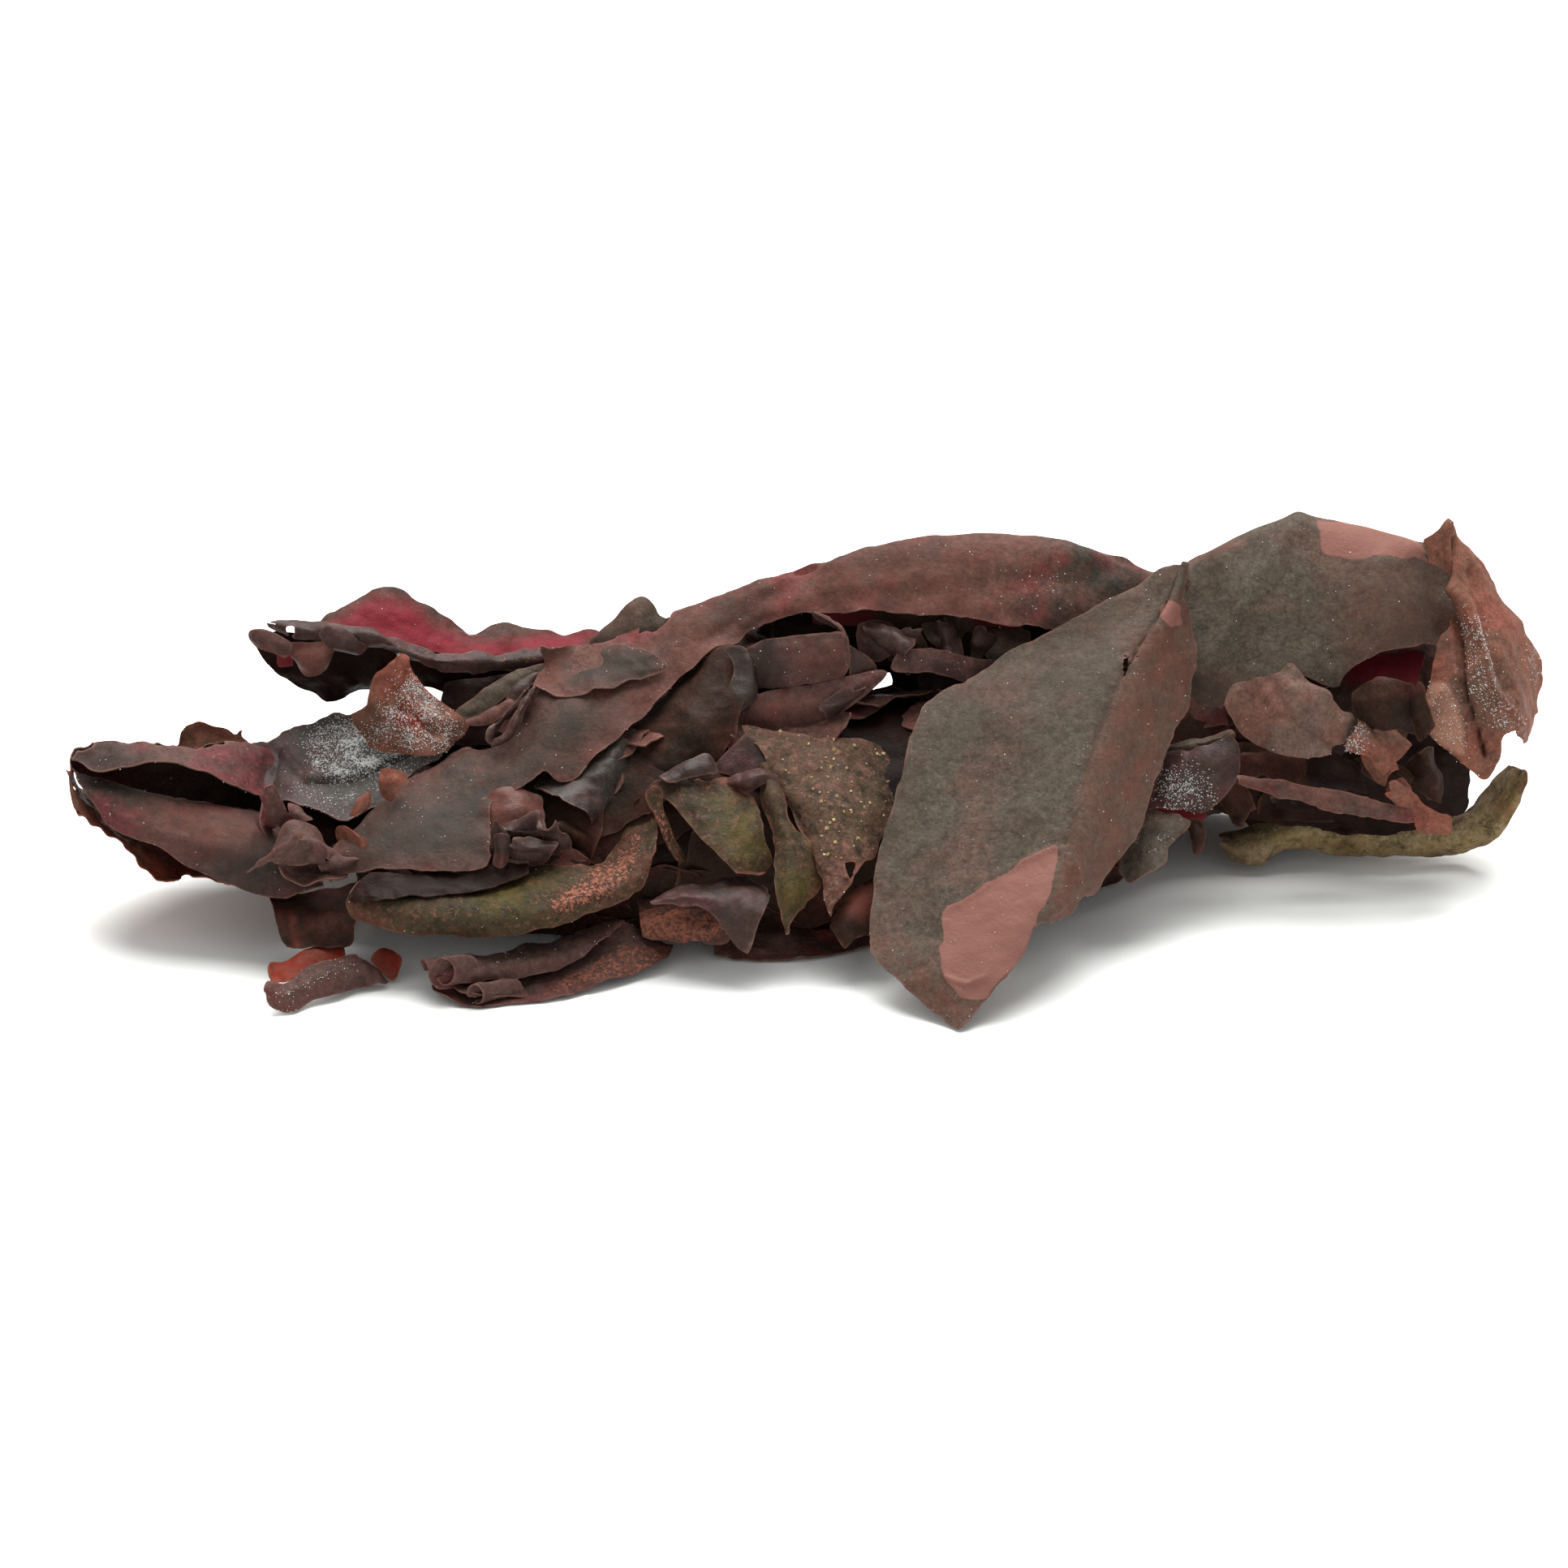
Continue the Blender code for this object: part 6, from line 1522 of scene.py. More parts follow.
rightHollow = {  # dark sheets under the right end; the near-black ones are painted shade
    "rightShade": (
        "dark",
        [
            [(158, 92, 14), (158, 97, 12.5), (158, 101.5, 13)], [(168, 88.5, 16), (168, 95, 14), (168, 102, 14)],
            [(175, 89.5, 15), (175, 96, 14), (175, 102, 14)], [(181, 92, 15), (181, 96, 14.5), (180.5, 100, 14)],
        ],
    ),
    "rightCurl": (
        "umber",
        [
            [(166.3, 85.3, 9), (170, 83.4, 8.5), (174, 84, 9.5)],
            [(166.8, 87.3, 7.5), (170.5, 86.2, 6), (174.8, 87.3, 8)],
            [(168.3, 89.8, 7.5), (171.5, 90, 6), (175.3, 90.8, 8)],
        ],
    ),
    "rightTip": (
        "umber",
        [
            [(174, 85.5, 8), (174.8, 83.6, 8), (175.8, 83.8, 8)],
            [(173.8, 88.5, 7), (174.8, 87, 6.2), (176, 86.5, 7)],
            [(175, 91.5, 7), (175.8, 90.5, 6.2), (176.8, 89.5, 7)],
        ],
    ),
    "rightFolds": (
        "dark",
        [
            [(160, 93.5, 6.5), (163.5, 92.8, 5), (167, 94, 5.5)],
            [(161, 95.5, 5), (164.5, 95.2, 3.5), (168, 96, 4.5)], [(163, 97.5, 5), (166, 97.4, 4), (169, 98, 5)],
        ],
    ),
    "dimFace": (
        "umber",
        [
            [(152, 92.2, 6), (152.3, 93.8, 5), (152.6, 95.6, 5)],
            [(157.5, 92.8, 6), (157.8, 94.6, 4.6), (157.8, 96.6, 4.4)],
            [(162.5, 92.8, 6), (163, 95, 4.6), (163.2, 97.6, 4.4)],
            [(166, 92.5, 6.5), (166.8, 94.6, 5.4), (167.6, 97.4, 5)],
        ],
    ),
    "lowerFolds": (
        "dark",
        [[(155, 99, 9), (159, 99.5, 7.5), (163, 99.5, 8)], [(155.5, 100.8, 8), (160, 101.3, 6.5), (165, 101.5, 7.5)]],
    ),
}
for k, (name, (finish, net)) in enumerate(rightHollow.items()):
    v = {"net": net, "step": 0.34, "rag": 0.6, "frill": 0.7, "crumple": 0.3, "seed": 170 + k}
    layPiece(name, v, finish, "wine")

baseFrond = {
    "net": [
        [(150, 102.2, 16), (150.3, 103.3, 13.5), (150, 104, 13), (150, 104.6, 13.5)],
        [(154.7, 101.5, 16), (155, 103.4, 13), (154.7, 105.2, 12), (154.5, 106.7, 12.5)],
        [(160, 98.8, 18), (160, 100.9, 14.5), (159, 102.8, 13), (158.3, 104.4, 14)],
        [(167, 99.6, 19), (167, 101.7, 15), (166.5, 103.7, 14), (166.5, 105.4, 15)],
        [(174, 100.2, 19), (174, 101.9, 15.5), (174, 103.9, 14.5), (174, 105.6, 15.8)],
        [(180, 100, 19), (180, 101.6, 16), (180, 103.9, 15), (180, 105.6, 16.3)],
        [(183.3, 97, 20), (183.8, 98.6, 17), (184.8, 100.5, 14.5), (185.3, 102.6, 14.8)],
        [(186.3, 93.6, 20), (187, 94.2, 18), (188.2, 94.8, 15.5), (188.6, 96.2, 14.5)],
    ],
    "warm": [
        ([(1560, 1020), (1650, 1035), (1780, 1040), (1850, 990), (1885, 950), (1850, 1020), (1800, 1050),
          (1600, 1045)], 16, 0.55),
    ],
    "crust": [
        ([(1490, 1040), (1570, 1070), (1700, 1060), (1800, 1060), (1880, 970), (1830, 1000), (1640, 1015)], 14, 0.4),
    ],
    "step": 0.45, "crumple": 0.22, "frill": 0.5, "seed": 31,
}
# the base frond takes the olive tone made much lighter: painted light on a frond lying in shade
layPiece("baseFrond", baseFrond, "paintedLightOlive", "olive", "base_frond")

rightGreyFrond = {
    "net": [
        [(152.8, 88.5, 8), (153, 92, 4.8), (150.5, 99.8, 0.5)],
        [(147.5, 89.5, 7.5), (147.5, 94, 3), (146, 99.9, -0.5)], [(143.2, 91, 8), (142.8, 95, 4), (141, 99.4, 1)],
    ],
    "outline": [
        (1418, 985), (1430, 955), (1437, 930), (1452, 924), (1490, 914), (1515, 903), (1530, 925), (1527, 955),
        (1510, 978), (1488, 1001), (1460, 998), (1430, 998), (1400, 1000),
    ],
    "salt": [([(1430, 950), (1470, 940), (1500, 985), (1430, 998)], 16, 0.7)],
    "step": 0.32, "frill": 0.6, "seed": 32,
}
layPiece("rightGreyFrond", rightGreyFrond, "paintedShadeAndTint", "taupe", "right_grey_frond")

rightFlakes = {
    "upper": {
        "net": [
            [(167.8, 88.3, 8), (168.5, 88.4, 7.5), (170.2, 88.8, 11)],
            [(166.6, 91.5, 5), (169.3, 92, 4), (172.4, 91.5, 7.5)],
            [(168.6, 94.3, 3.2), (170.5, 94.6, 2.8), (174, 93.9, 5.5)],
            [(170.9, 96.6, 2), (171.3, 96.7, 2), (172, 96.4, 3)],
        ],
        "outline": [
            (1658, 920), (1668, 902), (1677, 883), (1693, 868), (1715, 870), (1734, 872), (1743, 910), (1720, 945),
            (1702, 962), (1692, 945), (1684, 932), (1672, 928),
        ],
        "salt": [([(1655, 920), (1678, 883), (1690, 890), (1680, 930)], 8, 0.8)],
        "step": 0.3, "seed": 33,
    },
    "lower": {
        "net": [
            [(171, 95.8, 6), (172.5, 95, 6.5), (174.5, 94, 9)],
            [(173.2, 98.8, 2.8), (174.8, 98.3, 2.5), (176.7, 98.3, 5)],
            [(174.8, 102.1, 1), (177, 102.1, 1), (179, 101.5, 2.5)],
        ],
        "outline": [
            (1708, 975), (1718, 965), (1730, 958), (1750, 985), (1768, 1000), (1788, 1006), (1788, 1026),
            (1750, 1024), (1743, 1003), (1718, 990),
        ],
        "step": 0.3, "seed": 34,
    },
}
makePiece("rightFlakeUpper", [laySheet("flakeUpper", rightFlakes["upper"])], "brick", "brick", "right_flake_upper")
makePiece("rightFlakeLower", [laySheet("flakeLower", rightFlakes["lower"])], "brick", "brick", "right_flake_lower")

# a red face under the right flap: its own red with a painted glow of light shining through
innerCrimson = {
    "net": [
        [(163, 82, 19.5), (164, 86, 15), (165.5, 92, 9)], [(169.5, 80.5, 20), (170, 84.5, 15.5), (170, 91, 10.5)],
        [(175.5, 80, 20), (174.5, 84.5, 15.5), (173.5, 92.5, 10)],
    ],
    "warm": [([(1655, 805), (1765, 790), (1780, 838), (1720, 842), (1660, 836)], 12, 1)],
    "seed": 35,
}
layPiece("innerCrimson", innerCrimson, "crimson", "crimson", "inner_crimson")

pleats = {  # thin edges one behind the other, and a pocket open to the front
    "back": (
        "taupe",
        [
            [(56, 87.6, 7.2), (56.6, 88.2, 6.8), (57.3, 88.8, 6.6)],
            [(58.4, 86, 7.8), (59.2, 86.8, 7.2), (60, 87.5, 7)], [(61, 84.1, 9), (61.6, 84.9, 8.2), (62.3, 85.7, 8)],
            [(63.6, 82.6, 10.2), (64, 83.2, 9.6), (64.4, 83.9, 9.4)],
            [(67.6, 81.5, 12.2), (67.5, 82.2, 11.8), (67.2, 82.8, 11.6)],
        ],
    ),
    "slit": (
        "umber",
        [
            [(57, 88.2, 9), (57.3, 88.9, 8.6), (57.8, 89.4, 8.4)],
            [(60, 86.4, 10), (60.6, 87.6, 9.4), (61.2, 88.6, 9)],
            [(63.2, 83.6, 11.6), (63.8, 85.2, 11), (64.4, 86.6, 10.4)],
            [(67.4, 81.8, 13.4), (67.2, 83.2, 13), (66.6, 84.8, 12.6)],
        ],
    ),
    "leaf": (
        "wine",
        [
            [(57.2, 88.8, 5.8), (57.5, 89.1, 5.4), (57.8, 89.4, 5.4)],
            [(59.6, 87.9, 5.8), (59.9, 88.6, 5.2), (60.1, 89.3, 5)],
            [(61.4, 86.9, 6.4), (61.8, 87.4, 5.8), (62, 88, 5.6)],
            [(62.8, 86, 7.2), (63.2, 86.3, 6.8), (63.4, 86.7, 6.6)],
        ],
    ),
    "second": (
        "paintedShadeAndTint",
        [
            [(62.3, 86.2, 7.6), (62.8, 86.5, 7.2), (63.2, 86.9, 7)],
            [(63, 84.4, 8.8), (63.6, 85, 8), (64.2, 85.6, 7.8)],
            [(64.6, 83.4, 9.8), (65, 83.9, 9.2), (65.4, 84.5, 9)],
            [(67.2, 82.6, 11.4), (67, 83.1, 11), (66.6, 83.8, 10.6)],
        ],
    ),
    "pocketWall": (
        "wine",
        [
            [(60.4, 90.6, 3.6), (61.4, 90.2, 4.4), (62.4, 90.6, 3.2)],
            [(61.4, 89.2, 4.6), (62.2, 88.8, 5.4), (63.2, 89, 4.2)],
            [(63, 87.4, 6.2), (63.6, 87, 6.8), (64.2, 87, 5.8)],
            [(64.6, 85.4, 7.8), (65, 85, 8.4), (65.5, 84.9, 7.6)],
        ],
    ),
    "pocketLeft": (
        "paintedShadeAndTint",
        [
            [(60.6, 92, 1.4), (60.4, 91.6, 1.6), (60.7, 91.4, 2.6)],
            [(59.9, 91.2, 1.6), (60.3, 91, 1.8), (60.7, 90.8, 2.8)],
            [(60.3, 90, 2.4), (60.7, 89.9, 2.4), (61.1, 90, 3.4)],
            [(61.6, 88.6, 3.8), (61.9, 88.6, 3.8), (62.2, 88.8, 4.6)],
            [(63.2, 86.8, 5.6), (63.4, 86.9, 5.6), (63.7, 87.1, 6.2)],
            [(64.8, 84.9, 7.4), (65, 85, 7.4), (65.2, 85.2, 7.8)],
        ],
    ),
    "pocketRight": (
        "paintedShadeAndTint",
        [
            [(60.5, 91.3, 2), (60.6, 91.8, 1.2), (60.4, 92.1, 1.2)],
            [(61.8, 90.7, 2), (62.1, 91.1, 1), (62.2, 91.5, 1.4)],
            [(62.9, 89.3, 2.8), (63.3, 89.6, 1.9), (63.6, 90, 2.4)],
            [(63.7, 87.4, 4.2), (64.1, 87.6, 3.4), (64.5, 87.9, 4)],
            [(64.8, 85.4, 6.4), (65.2, 85.6, 5.6), (65.6, 85.8, 6.2)],
            [(65.6, 84.3, 7.8), (65.9, 84.4, 7.2), (66.2, 84.5, 7.6)],
        ],
    ),
}
pleatLook = {"step": 0.24, "rag": 0.12, "broad": 0.15, "crumple": 0.1, "frill": 0.25, "thick": 0.2, "margin": 0.1}
for k, (name, (finish, net)) in enumerate(pleats.items()):
    makePiece("pleat" + name.capitalize(), [laySheet(name, {**pleatLook, "net": net, "seed": 110 + k})], finish,
              "wine",
              *(["pleats"] if name == "back" else []))
# a near-black sheet of painted shade behind the pleats
pleatShade = {
    "net": [
        [(54.5, 84, 12), (54.5, 88, 9.5), (55.5, 92, 7)], [(61, 83, 13), (61, 87, 10.5), (61, 92, 7.5)],
        [(67.5, 82, 14), (67.5, 85, 12), (66.5, 89, 9.5)],
    ],
    "seed": 115,
}
layPiece("pleatShade", pleatShade, "dark", "wine")

knot = {
    "cone": [
        [(33.5, 104.8, -12.5), (34.2, 105.2, -13.5), (33, 106.5, -13)],
        [(34.8, 101.8, -11), (35.8, 104, -15), (35.5, 106.8, -14)],
        [(37, 101, -10), (37.8, 103.5, -15.5), (38, 106.5, -14.5)],
        [(39, 101.8, -9), (39.5, 103.8, -14), (40, 106, -14)],
        [(40, 104, -9.5), (40.8, 104.8, -12.5), (41.3, 105.8, -13)],
        [(42.2, 105.4, -11), (42.3, 105.6, -12), (42.4, 105.9, -12)],
    ],
    "bowl": [
        [(33.8, 106.5, -13.5), (34.5, 107.8, -14.8), (35.5, 108.8, -14.5)],
        [(36.5, 105.3, -12.5), (37, 106.8, -12), (37.5, 108.6, -15)],
        [(39.5, 105, -12), (39.8, 106.5, -11.5), (40, 108.2, -15)],
        [(42.5, 105.8, -11.5), (42.8, 106.6, -11.5), (43, 107.8, -14)],
    ],
    "spike": [
        [(30.1, 107.9, -14.5), (30.3, 107.7, -14.8), (30.5, 107.5, -14.5)],
        [(32, 106.6, -14.8), (32.4, 106, -15.2), (32.7, 105.6, -14.8)],
        [(34, 105.6, -15), (34.8, 104.8, -15.6), (35.2, 104, -15)],
        [(36.5, 104.5, -15.2), (37, 103.2, -15.8), (37.3, 102.3, -15.2)],
    ],
    "funnel": [
        [(32, 98.3, -5), (34.5, 99.5, -3), (37.5, 100.5, -4.5)],
        [(32.6, 101.5, -8), (35, 102.5, -4.5), (38, 103.5, -6)],
        [(33.5, 104.5, -10), (35.5, 105, -6.5), (38.5, 106, -7.5)],
    ],
    "lobe": [
        [(35.2, 99, -5.5), (35.8, 100.3, -7), (36.6, 101.5, -7.5)],
        [(36.8, 99.6, -6), (37.3, 100.5, -8), (37.6, 101.3, -8.5)],
        [(38.2, 100.6, -6.5), (38.5, 101, -7.5), (38.6, 101.4, -8)],
    ],
}
knotLook = {"step": 0.26, "rag": 0.25, "broad": 0.35, "crumple": 0.4, "frill": 0.5, "thick": 0.25}
makePiece("knot", [laySheet(part, {**knotLook, "net": net, "seed": 120 + k}) for k,
                   (part, net) in enumerate(knot.items())],
          "mauve", "wine", "knot")
smallFlaps = {
    "knotFlap": {
        "net": [
            [(41, 101.5, -8), (42, 103.5, -9.5), (42.5, 106.5, -10)],
            [(43.5, 101.2, -9.5), (44.5, 104, -11.8), (43.8, 107.6, -11.5)],
            [(46.8, 102.8, -10.5), (46.2, 105, -11.5), (45.6, 107.2, -11)],
        ],
        "outline": [
            (412, 1030), (418, 1018), (428, 1020), (440, 1032), (450, 1034), (457, 1045), (455, 1062), (448, 1069),
            (440, 1071), (432, 1060), (422, 1048),
        ],
        "seed": 130,
    },
    "bladeFlap": {
        "net": [
            [(46, 94.5, -3), (46.3, 96.5, -4.5), (46.8, 99.2, -5)],
            [(49, 94, -3.5), (49, 96.5, -5.5), (48.8, 99.5, -5.5)],
            [(52, 94.5, -2.5), (51.5, 96.5, -4), (51, 99, -4.5)],
        ],
        "outline": [
            (470, 949), (485, 948), (500, 952), (502, 960), (490, 972), (483, 987), (473, 985), (466, 975),
            (468, 960),
        ],
        "seed": 131,
    },
}
for name, v in smallFlaps.items():
    makePiece(name, [laySheet(name, {"step": 0.26, "thick": 0.25, **v})], "brick", "brick")
# a near-black sheet of painted shade behind the knot
knotShade = {
    "net": [
        [(36, 98, 0.5), (37, 102, -3), (38, 106, -6)], [(43, 97, 1), (44, 101, -3), (44, 106, -7)],
        [(54, 94, 3), (53, 98, -1), (53, 104, -5)],
    ],
    "seed": 132,
}
layPiece("knotShade", knotShade, "dark", "wine")

squarePiece = {
    "net": [
        [(33, 110.7, -10), (34, 114, -15.5), (35.2, 116.8, -18)],
        [(38, 110.5, -10.5), (38.5, 113.5, -16), (38.8, 116.8, -18.5)],
        [(46, 109.5, -9), (44.5, 112.5, -14.5), (43, 116.2, -17.5)], [(56, 109, -5), (54, 111, -9), (51, 114, -12)],
    ],
    "outline": [
        (325, 1095), (360, 1095), (430, 1085), (447, 1100), (436, 1140), (432, 1164), (385, 1169), (352, 1168),
        (340, 1140), (330, 1108),
    ],
    "warm": [
        ([(354, 1128), (362, 1126), (372, 1166), (361, 1170)], 5, 1),
        ([(332, 1105), (345, 1103), (352, 1150), (343, 1148)], 6, 0.6),
    ],
    "salt": [([(345, 1120), (375, 1120), (375, 1168), (355, 1168)], 8, 0.25)],
    "step": 0.36, "seed": 38,
}
layPiece("squarePiece", squarePiece, "umber", "wine", "square_piece")

darkRoll = {  # a slate tube, open at its lower left end
    "net": [
        [(74.5, 91.5, 4.5), (76.5, 91, 2.5), (77.8, 92.5, 3), (77.5, 94.5, 4.5), (76.5, 95.5, 6)],
        [(71.5, 93.5, 2.5), (75, 94, -1), (77.3, 97, 0), (76.5, 99.5, 2.5), (75, 100.5, 5)],
        [(68, 95.3, 0.5), (71.5, 96.8, -4), (75, 99, -3.5), (74.5, 101.5, -1), (72.5, 103.5, 1.5)],
        [(65, 97.2, -2.5), (69.5, 98.6, -6.5), (72.6, 100.5, -6.5), (72.2, 102.8, -4.5), (69, 104.2, -2.5)],
    ],
    "step": 0.32, "broad": 0.2, "crumple": 0.12, "frill": 0.3, "seed": 39,
}
layPiece("darkRoll", darkRoll, "slate", "wine", "dark_roll")

ruffle = {
    "patch": {
        "net": [
            [(59, 98.5, -5.5), (59.5, 100.5, -7.5), (60, 102.8, -9.5)],
            [(63, 97, -4.5), (63.5, 99.5, -7), (64, 102.8, -9.5)],
            [(66.5, 98.5, -3.5), (67, 100.5, -6), (67.5, 103, -8.5)],
        ],
        "warm": [([(580, 960), (700, 960), (700, 1040), (580, 1040)], 5, 0.75)],
    },
    "bowl": {
        "net": [
            [(60.8, 102, -9.5), (61, 103.5, -12.5), (61.5, 106.6, -12)],
            [(63, 102.8, -9), (63.5, 104.5, -13.5), (63.5, 107, -12.5)],
            [(65.5, 103.4, -8.5), (66, 105, -13.5), (65.5, 107, -12)],
            [(67.5, 103, -8), (68.3, 104.3, -12), (67.8, 105.8, -11.5)],
            [(68.3, 101.5, -7.5), (69, 102.5, -9.5), (68.8, 103.8, -10)],
        ],
    },
    "rim": {
        "net": [
            [(61.5, 101.8, -9.5), (62, 102.2, -11.5), (62.5, 102.8, -11)],
            [(64, 101.6, -9), (64.5, 102.4, -11.5), (64.8, 103.2, -11)],
            [(66.5, 101, -8), (67, 102, -10.5), (67.2, 103, -10.5)],
        ],
    },
    "tube": {
        "net": [
            [(60.9, 102.8, -13), (61.8, 102.6, -14.5), (62.6, 102.9, -13)],
            [(61, 104.5, -13.5), (61.9, 104.3, -15), (62.7, 104.6, -13.5)],
            [(60.8, 106.6, -13.5), (61.8, 106.9, -15), (62.8, 106.4, -13.5)],
        ],
        "warm": [([(600, 1055), (635, 1055), (635, 1080), (600, 1080)], 4, 0.9)],
    },
}
ruffleLook = {"step": 0.26, "rag": 0.25, "broad": 0.3, "crumple": 0.35, "frill": 0.5, "thick": 0.25}
makePiece("ruffle", [laySheet(part, {**ruffleLook, **v, "seed": 140 + k}) for k,
                     (part, v) in enumerate(ruffle.items())],
          "paintedShadeAndTint", "wine", "ruffle")

def flakeNet(random, spot):  # a small cupped flake: across, down, depth, length, width, heading
    across, down, depth, long, wide, heading = spot
    turn = math.radians(heading)
    cup, nod = random.uniform(0.25, 0.6) * wide, random.uniform(-0.25, 0.35) * long
    rows = []
    for s in np.linspace(-1, 1, 4):
        row = []
        for t in np.linspace(-1, 1, 4):
            x, y = s * long / 2, t * wide / 2 * (1 - 0.35 * s * s)
            x, y = x + random.uniform(-0.12, 0.12) * long, y + random.uniform(-0.10, 0.10) * wide
            away = cup * (0.5 - t * t) + nod * s + random.uniform(-0.1, 0.1) * wide
            row.append((across + x * math.cos(turn) - y * math.sin(turn),
                        down + x * math.sin(turn) + y * math.cos(turn),
                        depth - away))
        rows.append(row)
    return rows


smallFlakes = {
    "knotFlakes": (
        "mauve", 201,
        [(41.6, 106.6, -13, 5, 2.6, -12), (33.6, 99.8, -8.5, 5, 3, 70), (38.5, 104.6, -14.5, 4.5, 2.6, 35)],
    ),
    "ruffleFlakes": (
        "paintedShadeAndTint", 202,
        [
            (61.6, 103.6, -12.5, 4.4, 2.6, 80), (66, 104.6, -13, 5.5, 3, 8), (64.2, 101.8, -10.5, 4.4, 2.6, -25),
            (68.3, 103.2, -11, 4.4, 2.6, 55), (63, 106.2, -13, 4, 2.2, 5),
        ],
    ),
    "nookFlakes": (
        "paintedShadeAndTint", 204,
        [
            (109.3, 79, 11.8, 6, 3.4, 18), (112, 79.8, 12.6, 4.6, 3.6, -60), (116.6, 79.2, 13, 5, 3.6, 70),
            (120.8, 79.6, 13.6, 4.4, 3.4, -75), (103.5, 86.5, 5.8, 6, 2.6, -30),
        ],
    ),
    "bayFlakes": (
        "umber", 205,
        [
            (72, 104, -6.5, 7, 3.4, 35), (76.5, 101.5, -3, 7, 3, -50), (70, 106.4, -9.5, 6, 2.6, 5),
            (79, 97.8, 0, 6, 3, -60),
        ],
    ),
    "endFlakes": (
        "umber", 206, [(170.5, 95, 6.5, 6.5, 3.4, 25), (152.5, 98.5, 7, 6, 3.6, 50), (176, 95.5, 8, 6, 3.6, 70)],
    ),
    "tipFlakes": (
        "brick", 207, [(169.8, 94, 4.5, 4.6, 2.6, 50), (173, 98.4, 2, 5, 2.6, 40), (44.8, 99.2, -8, 3.6, 2.2, -60)],
    ),
}
for name, (finish, seed, spots) in smallFlakes.items():
    random = np.random.default_rng(seed)
    sheets = [
        laySheet(name, {"net": flakeNet(random, spot), "step": 0.26, "rag": 0.45, "frill": 0.6, "broad": 0.3,
                        "thick": 0.15,
                        "margin": 0.3, "seed": seed + 10 * k})
        for k, spot in enumerate(spots)
    ]
    makePiece(name, sheets, finish, "wine")

bayFolds = {  # what lies round and behind the slate tube; the first, near black, is painted shade
    "bayShade": (
        "dark",
        [
            [(63, 94, 4), (70, 93.5, 5), (78, 92, 6)], [(63, 99.5, 0.5), (70, 100, 2), (79, 99, 4)],
            [(65, 107, -4), (71, 108, -3), (80, 107, -2)],
        ],
    ),
    "bayStrip": (
        "umber",
        [
            [(69, 104.5, -8), (70.5, 106, -9.5), (71.5, 108.2, -10)],
            [(73, 101, -3), (74.5, 103, -5), (76, 105.5, -6.5)], [(78.5, 97.5, 0), (79.5, 99, -1.5), (80.5, 101, -3)],
        ],
    ),
    "bayFold": (
        "wine",
        [
            [(65.5, 106.2, -8.5), (69, 107.4, -10.5), (72.5, 108.6, -10)],
            [(66.5, 104.8, -7), (70.5, 104.5, -9.5), (74.5, 107.5, -8.5)],
        ],
    ),
    "neck": (
        "paintedShadeAndTint",
        [
            [(87.5, 95, -0.5), (91.3, 90.5, 2.5), (92.3, 89.8, 3)], [(91, 96, -1.5), (93, 93, 0.5), (94, 92, 1.5)],
            [(93.5, 97, -2.5), (94.6, 95, -1), (95.3, 94, 0)],
        ],
    ),
    "neckFrill": (
        "paintedShadeAndTint",
        [
            [(88.5, 96, -2), (88.8, 96.6, -3.2), (89.3, 97.2, -3)],
            [(91.5, 95.3, -2.5), (91.8, 96.3, -4.2), (92.2, 97.2, -3.8)],
            [(94, 94.3, -2), (94.6, 95.3, -4), (94.6, 96.6, -4)],
            [(95.6, 95.5, -2.5), (95.8, 97.5, -4.5), (95.2, 99, -5)],
            [(96, 98.5, -5), (96, 100.5, -7), (95.3, 101.5, -7.5)],
        ],
    ),
    "flapCrest": (
        "paintedShadeAndTint",
        [
            [(81, 96, -3.5), (81.5, 96.2, -5), (82.3, 96.8, -5.2)],
            [(84.5, 94.3, -2.5), (84.8, 95, -4.2), (85, 95.9, -4.5)],
            [(87, 93.2, -1.5), (87.3, 94.3, -3.2), (87.2, 95.5, -3.8)],
            [(88.3, 95.3, -2.5), (88.3, 95.6, -3), (88.2, 95.9, -3.2)],
        ],
    ),
    "hangingRim": (
        "slate",
        [
            [(89, 79.5, 10.5), (91.5, 79.6, 9), (92.6, 81, 9)], [(90.5, 82, 8.5), (92.5, 83.5, 7), (93, 85, 7.5)],
            [(89.8, 86, 6), (90.8, 87.3, 4.6), (91.2, 87.6, 5)], [(89.3, 90, 3), (90, 90.8, 2), (90.4, 91.2, 2.5)],
        ],
    ),
    "greyFoldRight": (
        "taupe",
        [
            [(143, 91.5, 7.5), (143.5, 92.3, 6), (143, 93, 6.2)],
            [(147.5, 90.5, 7.5), (148, 91.5, 5.5), (147.8, 92.6, 5.8)],
            [(152, 89.5, 8), (152.3, 90.3, 6.5), (152.5, 91, 6.8)],
        ],
    ),
    "redSlitLow": (
        "crimson",
        [
            [(140.5, 99.3, 3.5), (145, 99.6, 3), (149, 99.5, 3)],
            [(140.5, 101.2, 3), (145, 101.3, 2.5), (149, 101.2, 2.5)],
        ],
    ),
    "hookTail": (
        "umber",
        [
            [(146, 101, 0.5), (147, 100.8, 0.2), (148.4, 101, 0.5)],
            [(146.8, 103, -1), (147.7, 102.8, -1.4), (148.5, 103.3, -1)],
            [(147.2, 105.6, -2), (147.6, 105.3, -2.3), (148, 105, -2)],
        ],
    ),
}
for k, (name, (finish, net)) in enumerate(bayFolds.items()):
    v = {"net": net, "step": 0.3, "rag": 0.25, "frill": 0.45, "crumple": 0.25, "thick": 0.25, "seed": 150 + k}
    # the low red slit is its own red with a painted glow of light shining through
    if name == "redSlitLow":
        v["warm"] = [([(1380, 980), (1520, 980), (1520, 1030), (1380, 1030)], 5, 1.0)]
    layPiece(name, v, finish, "wine")

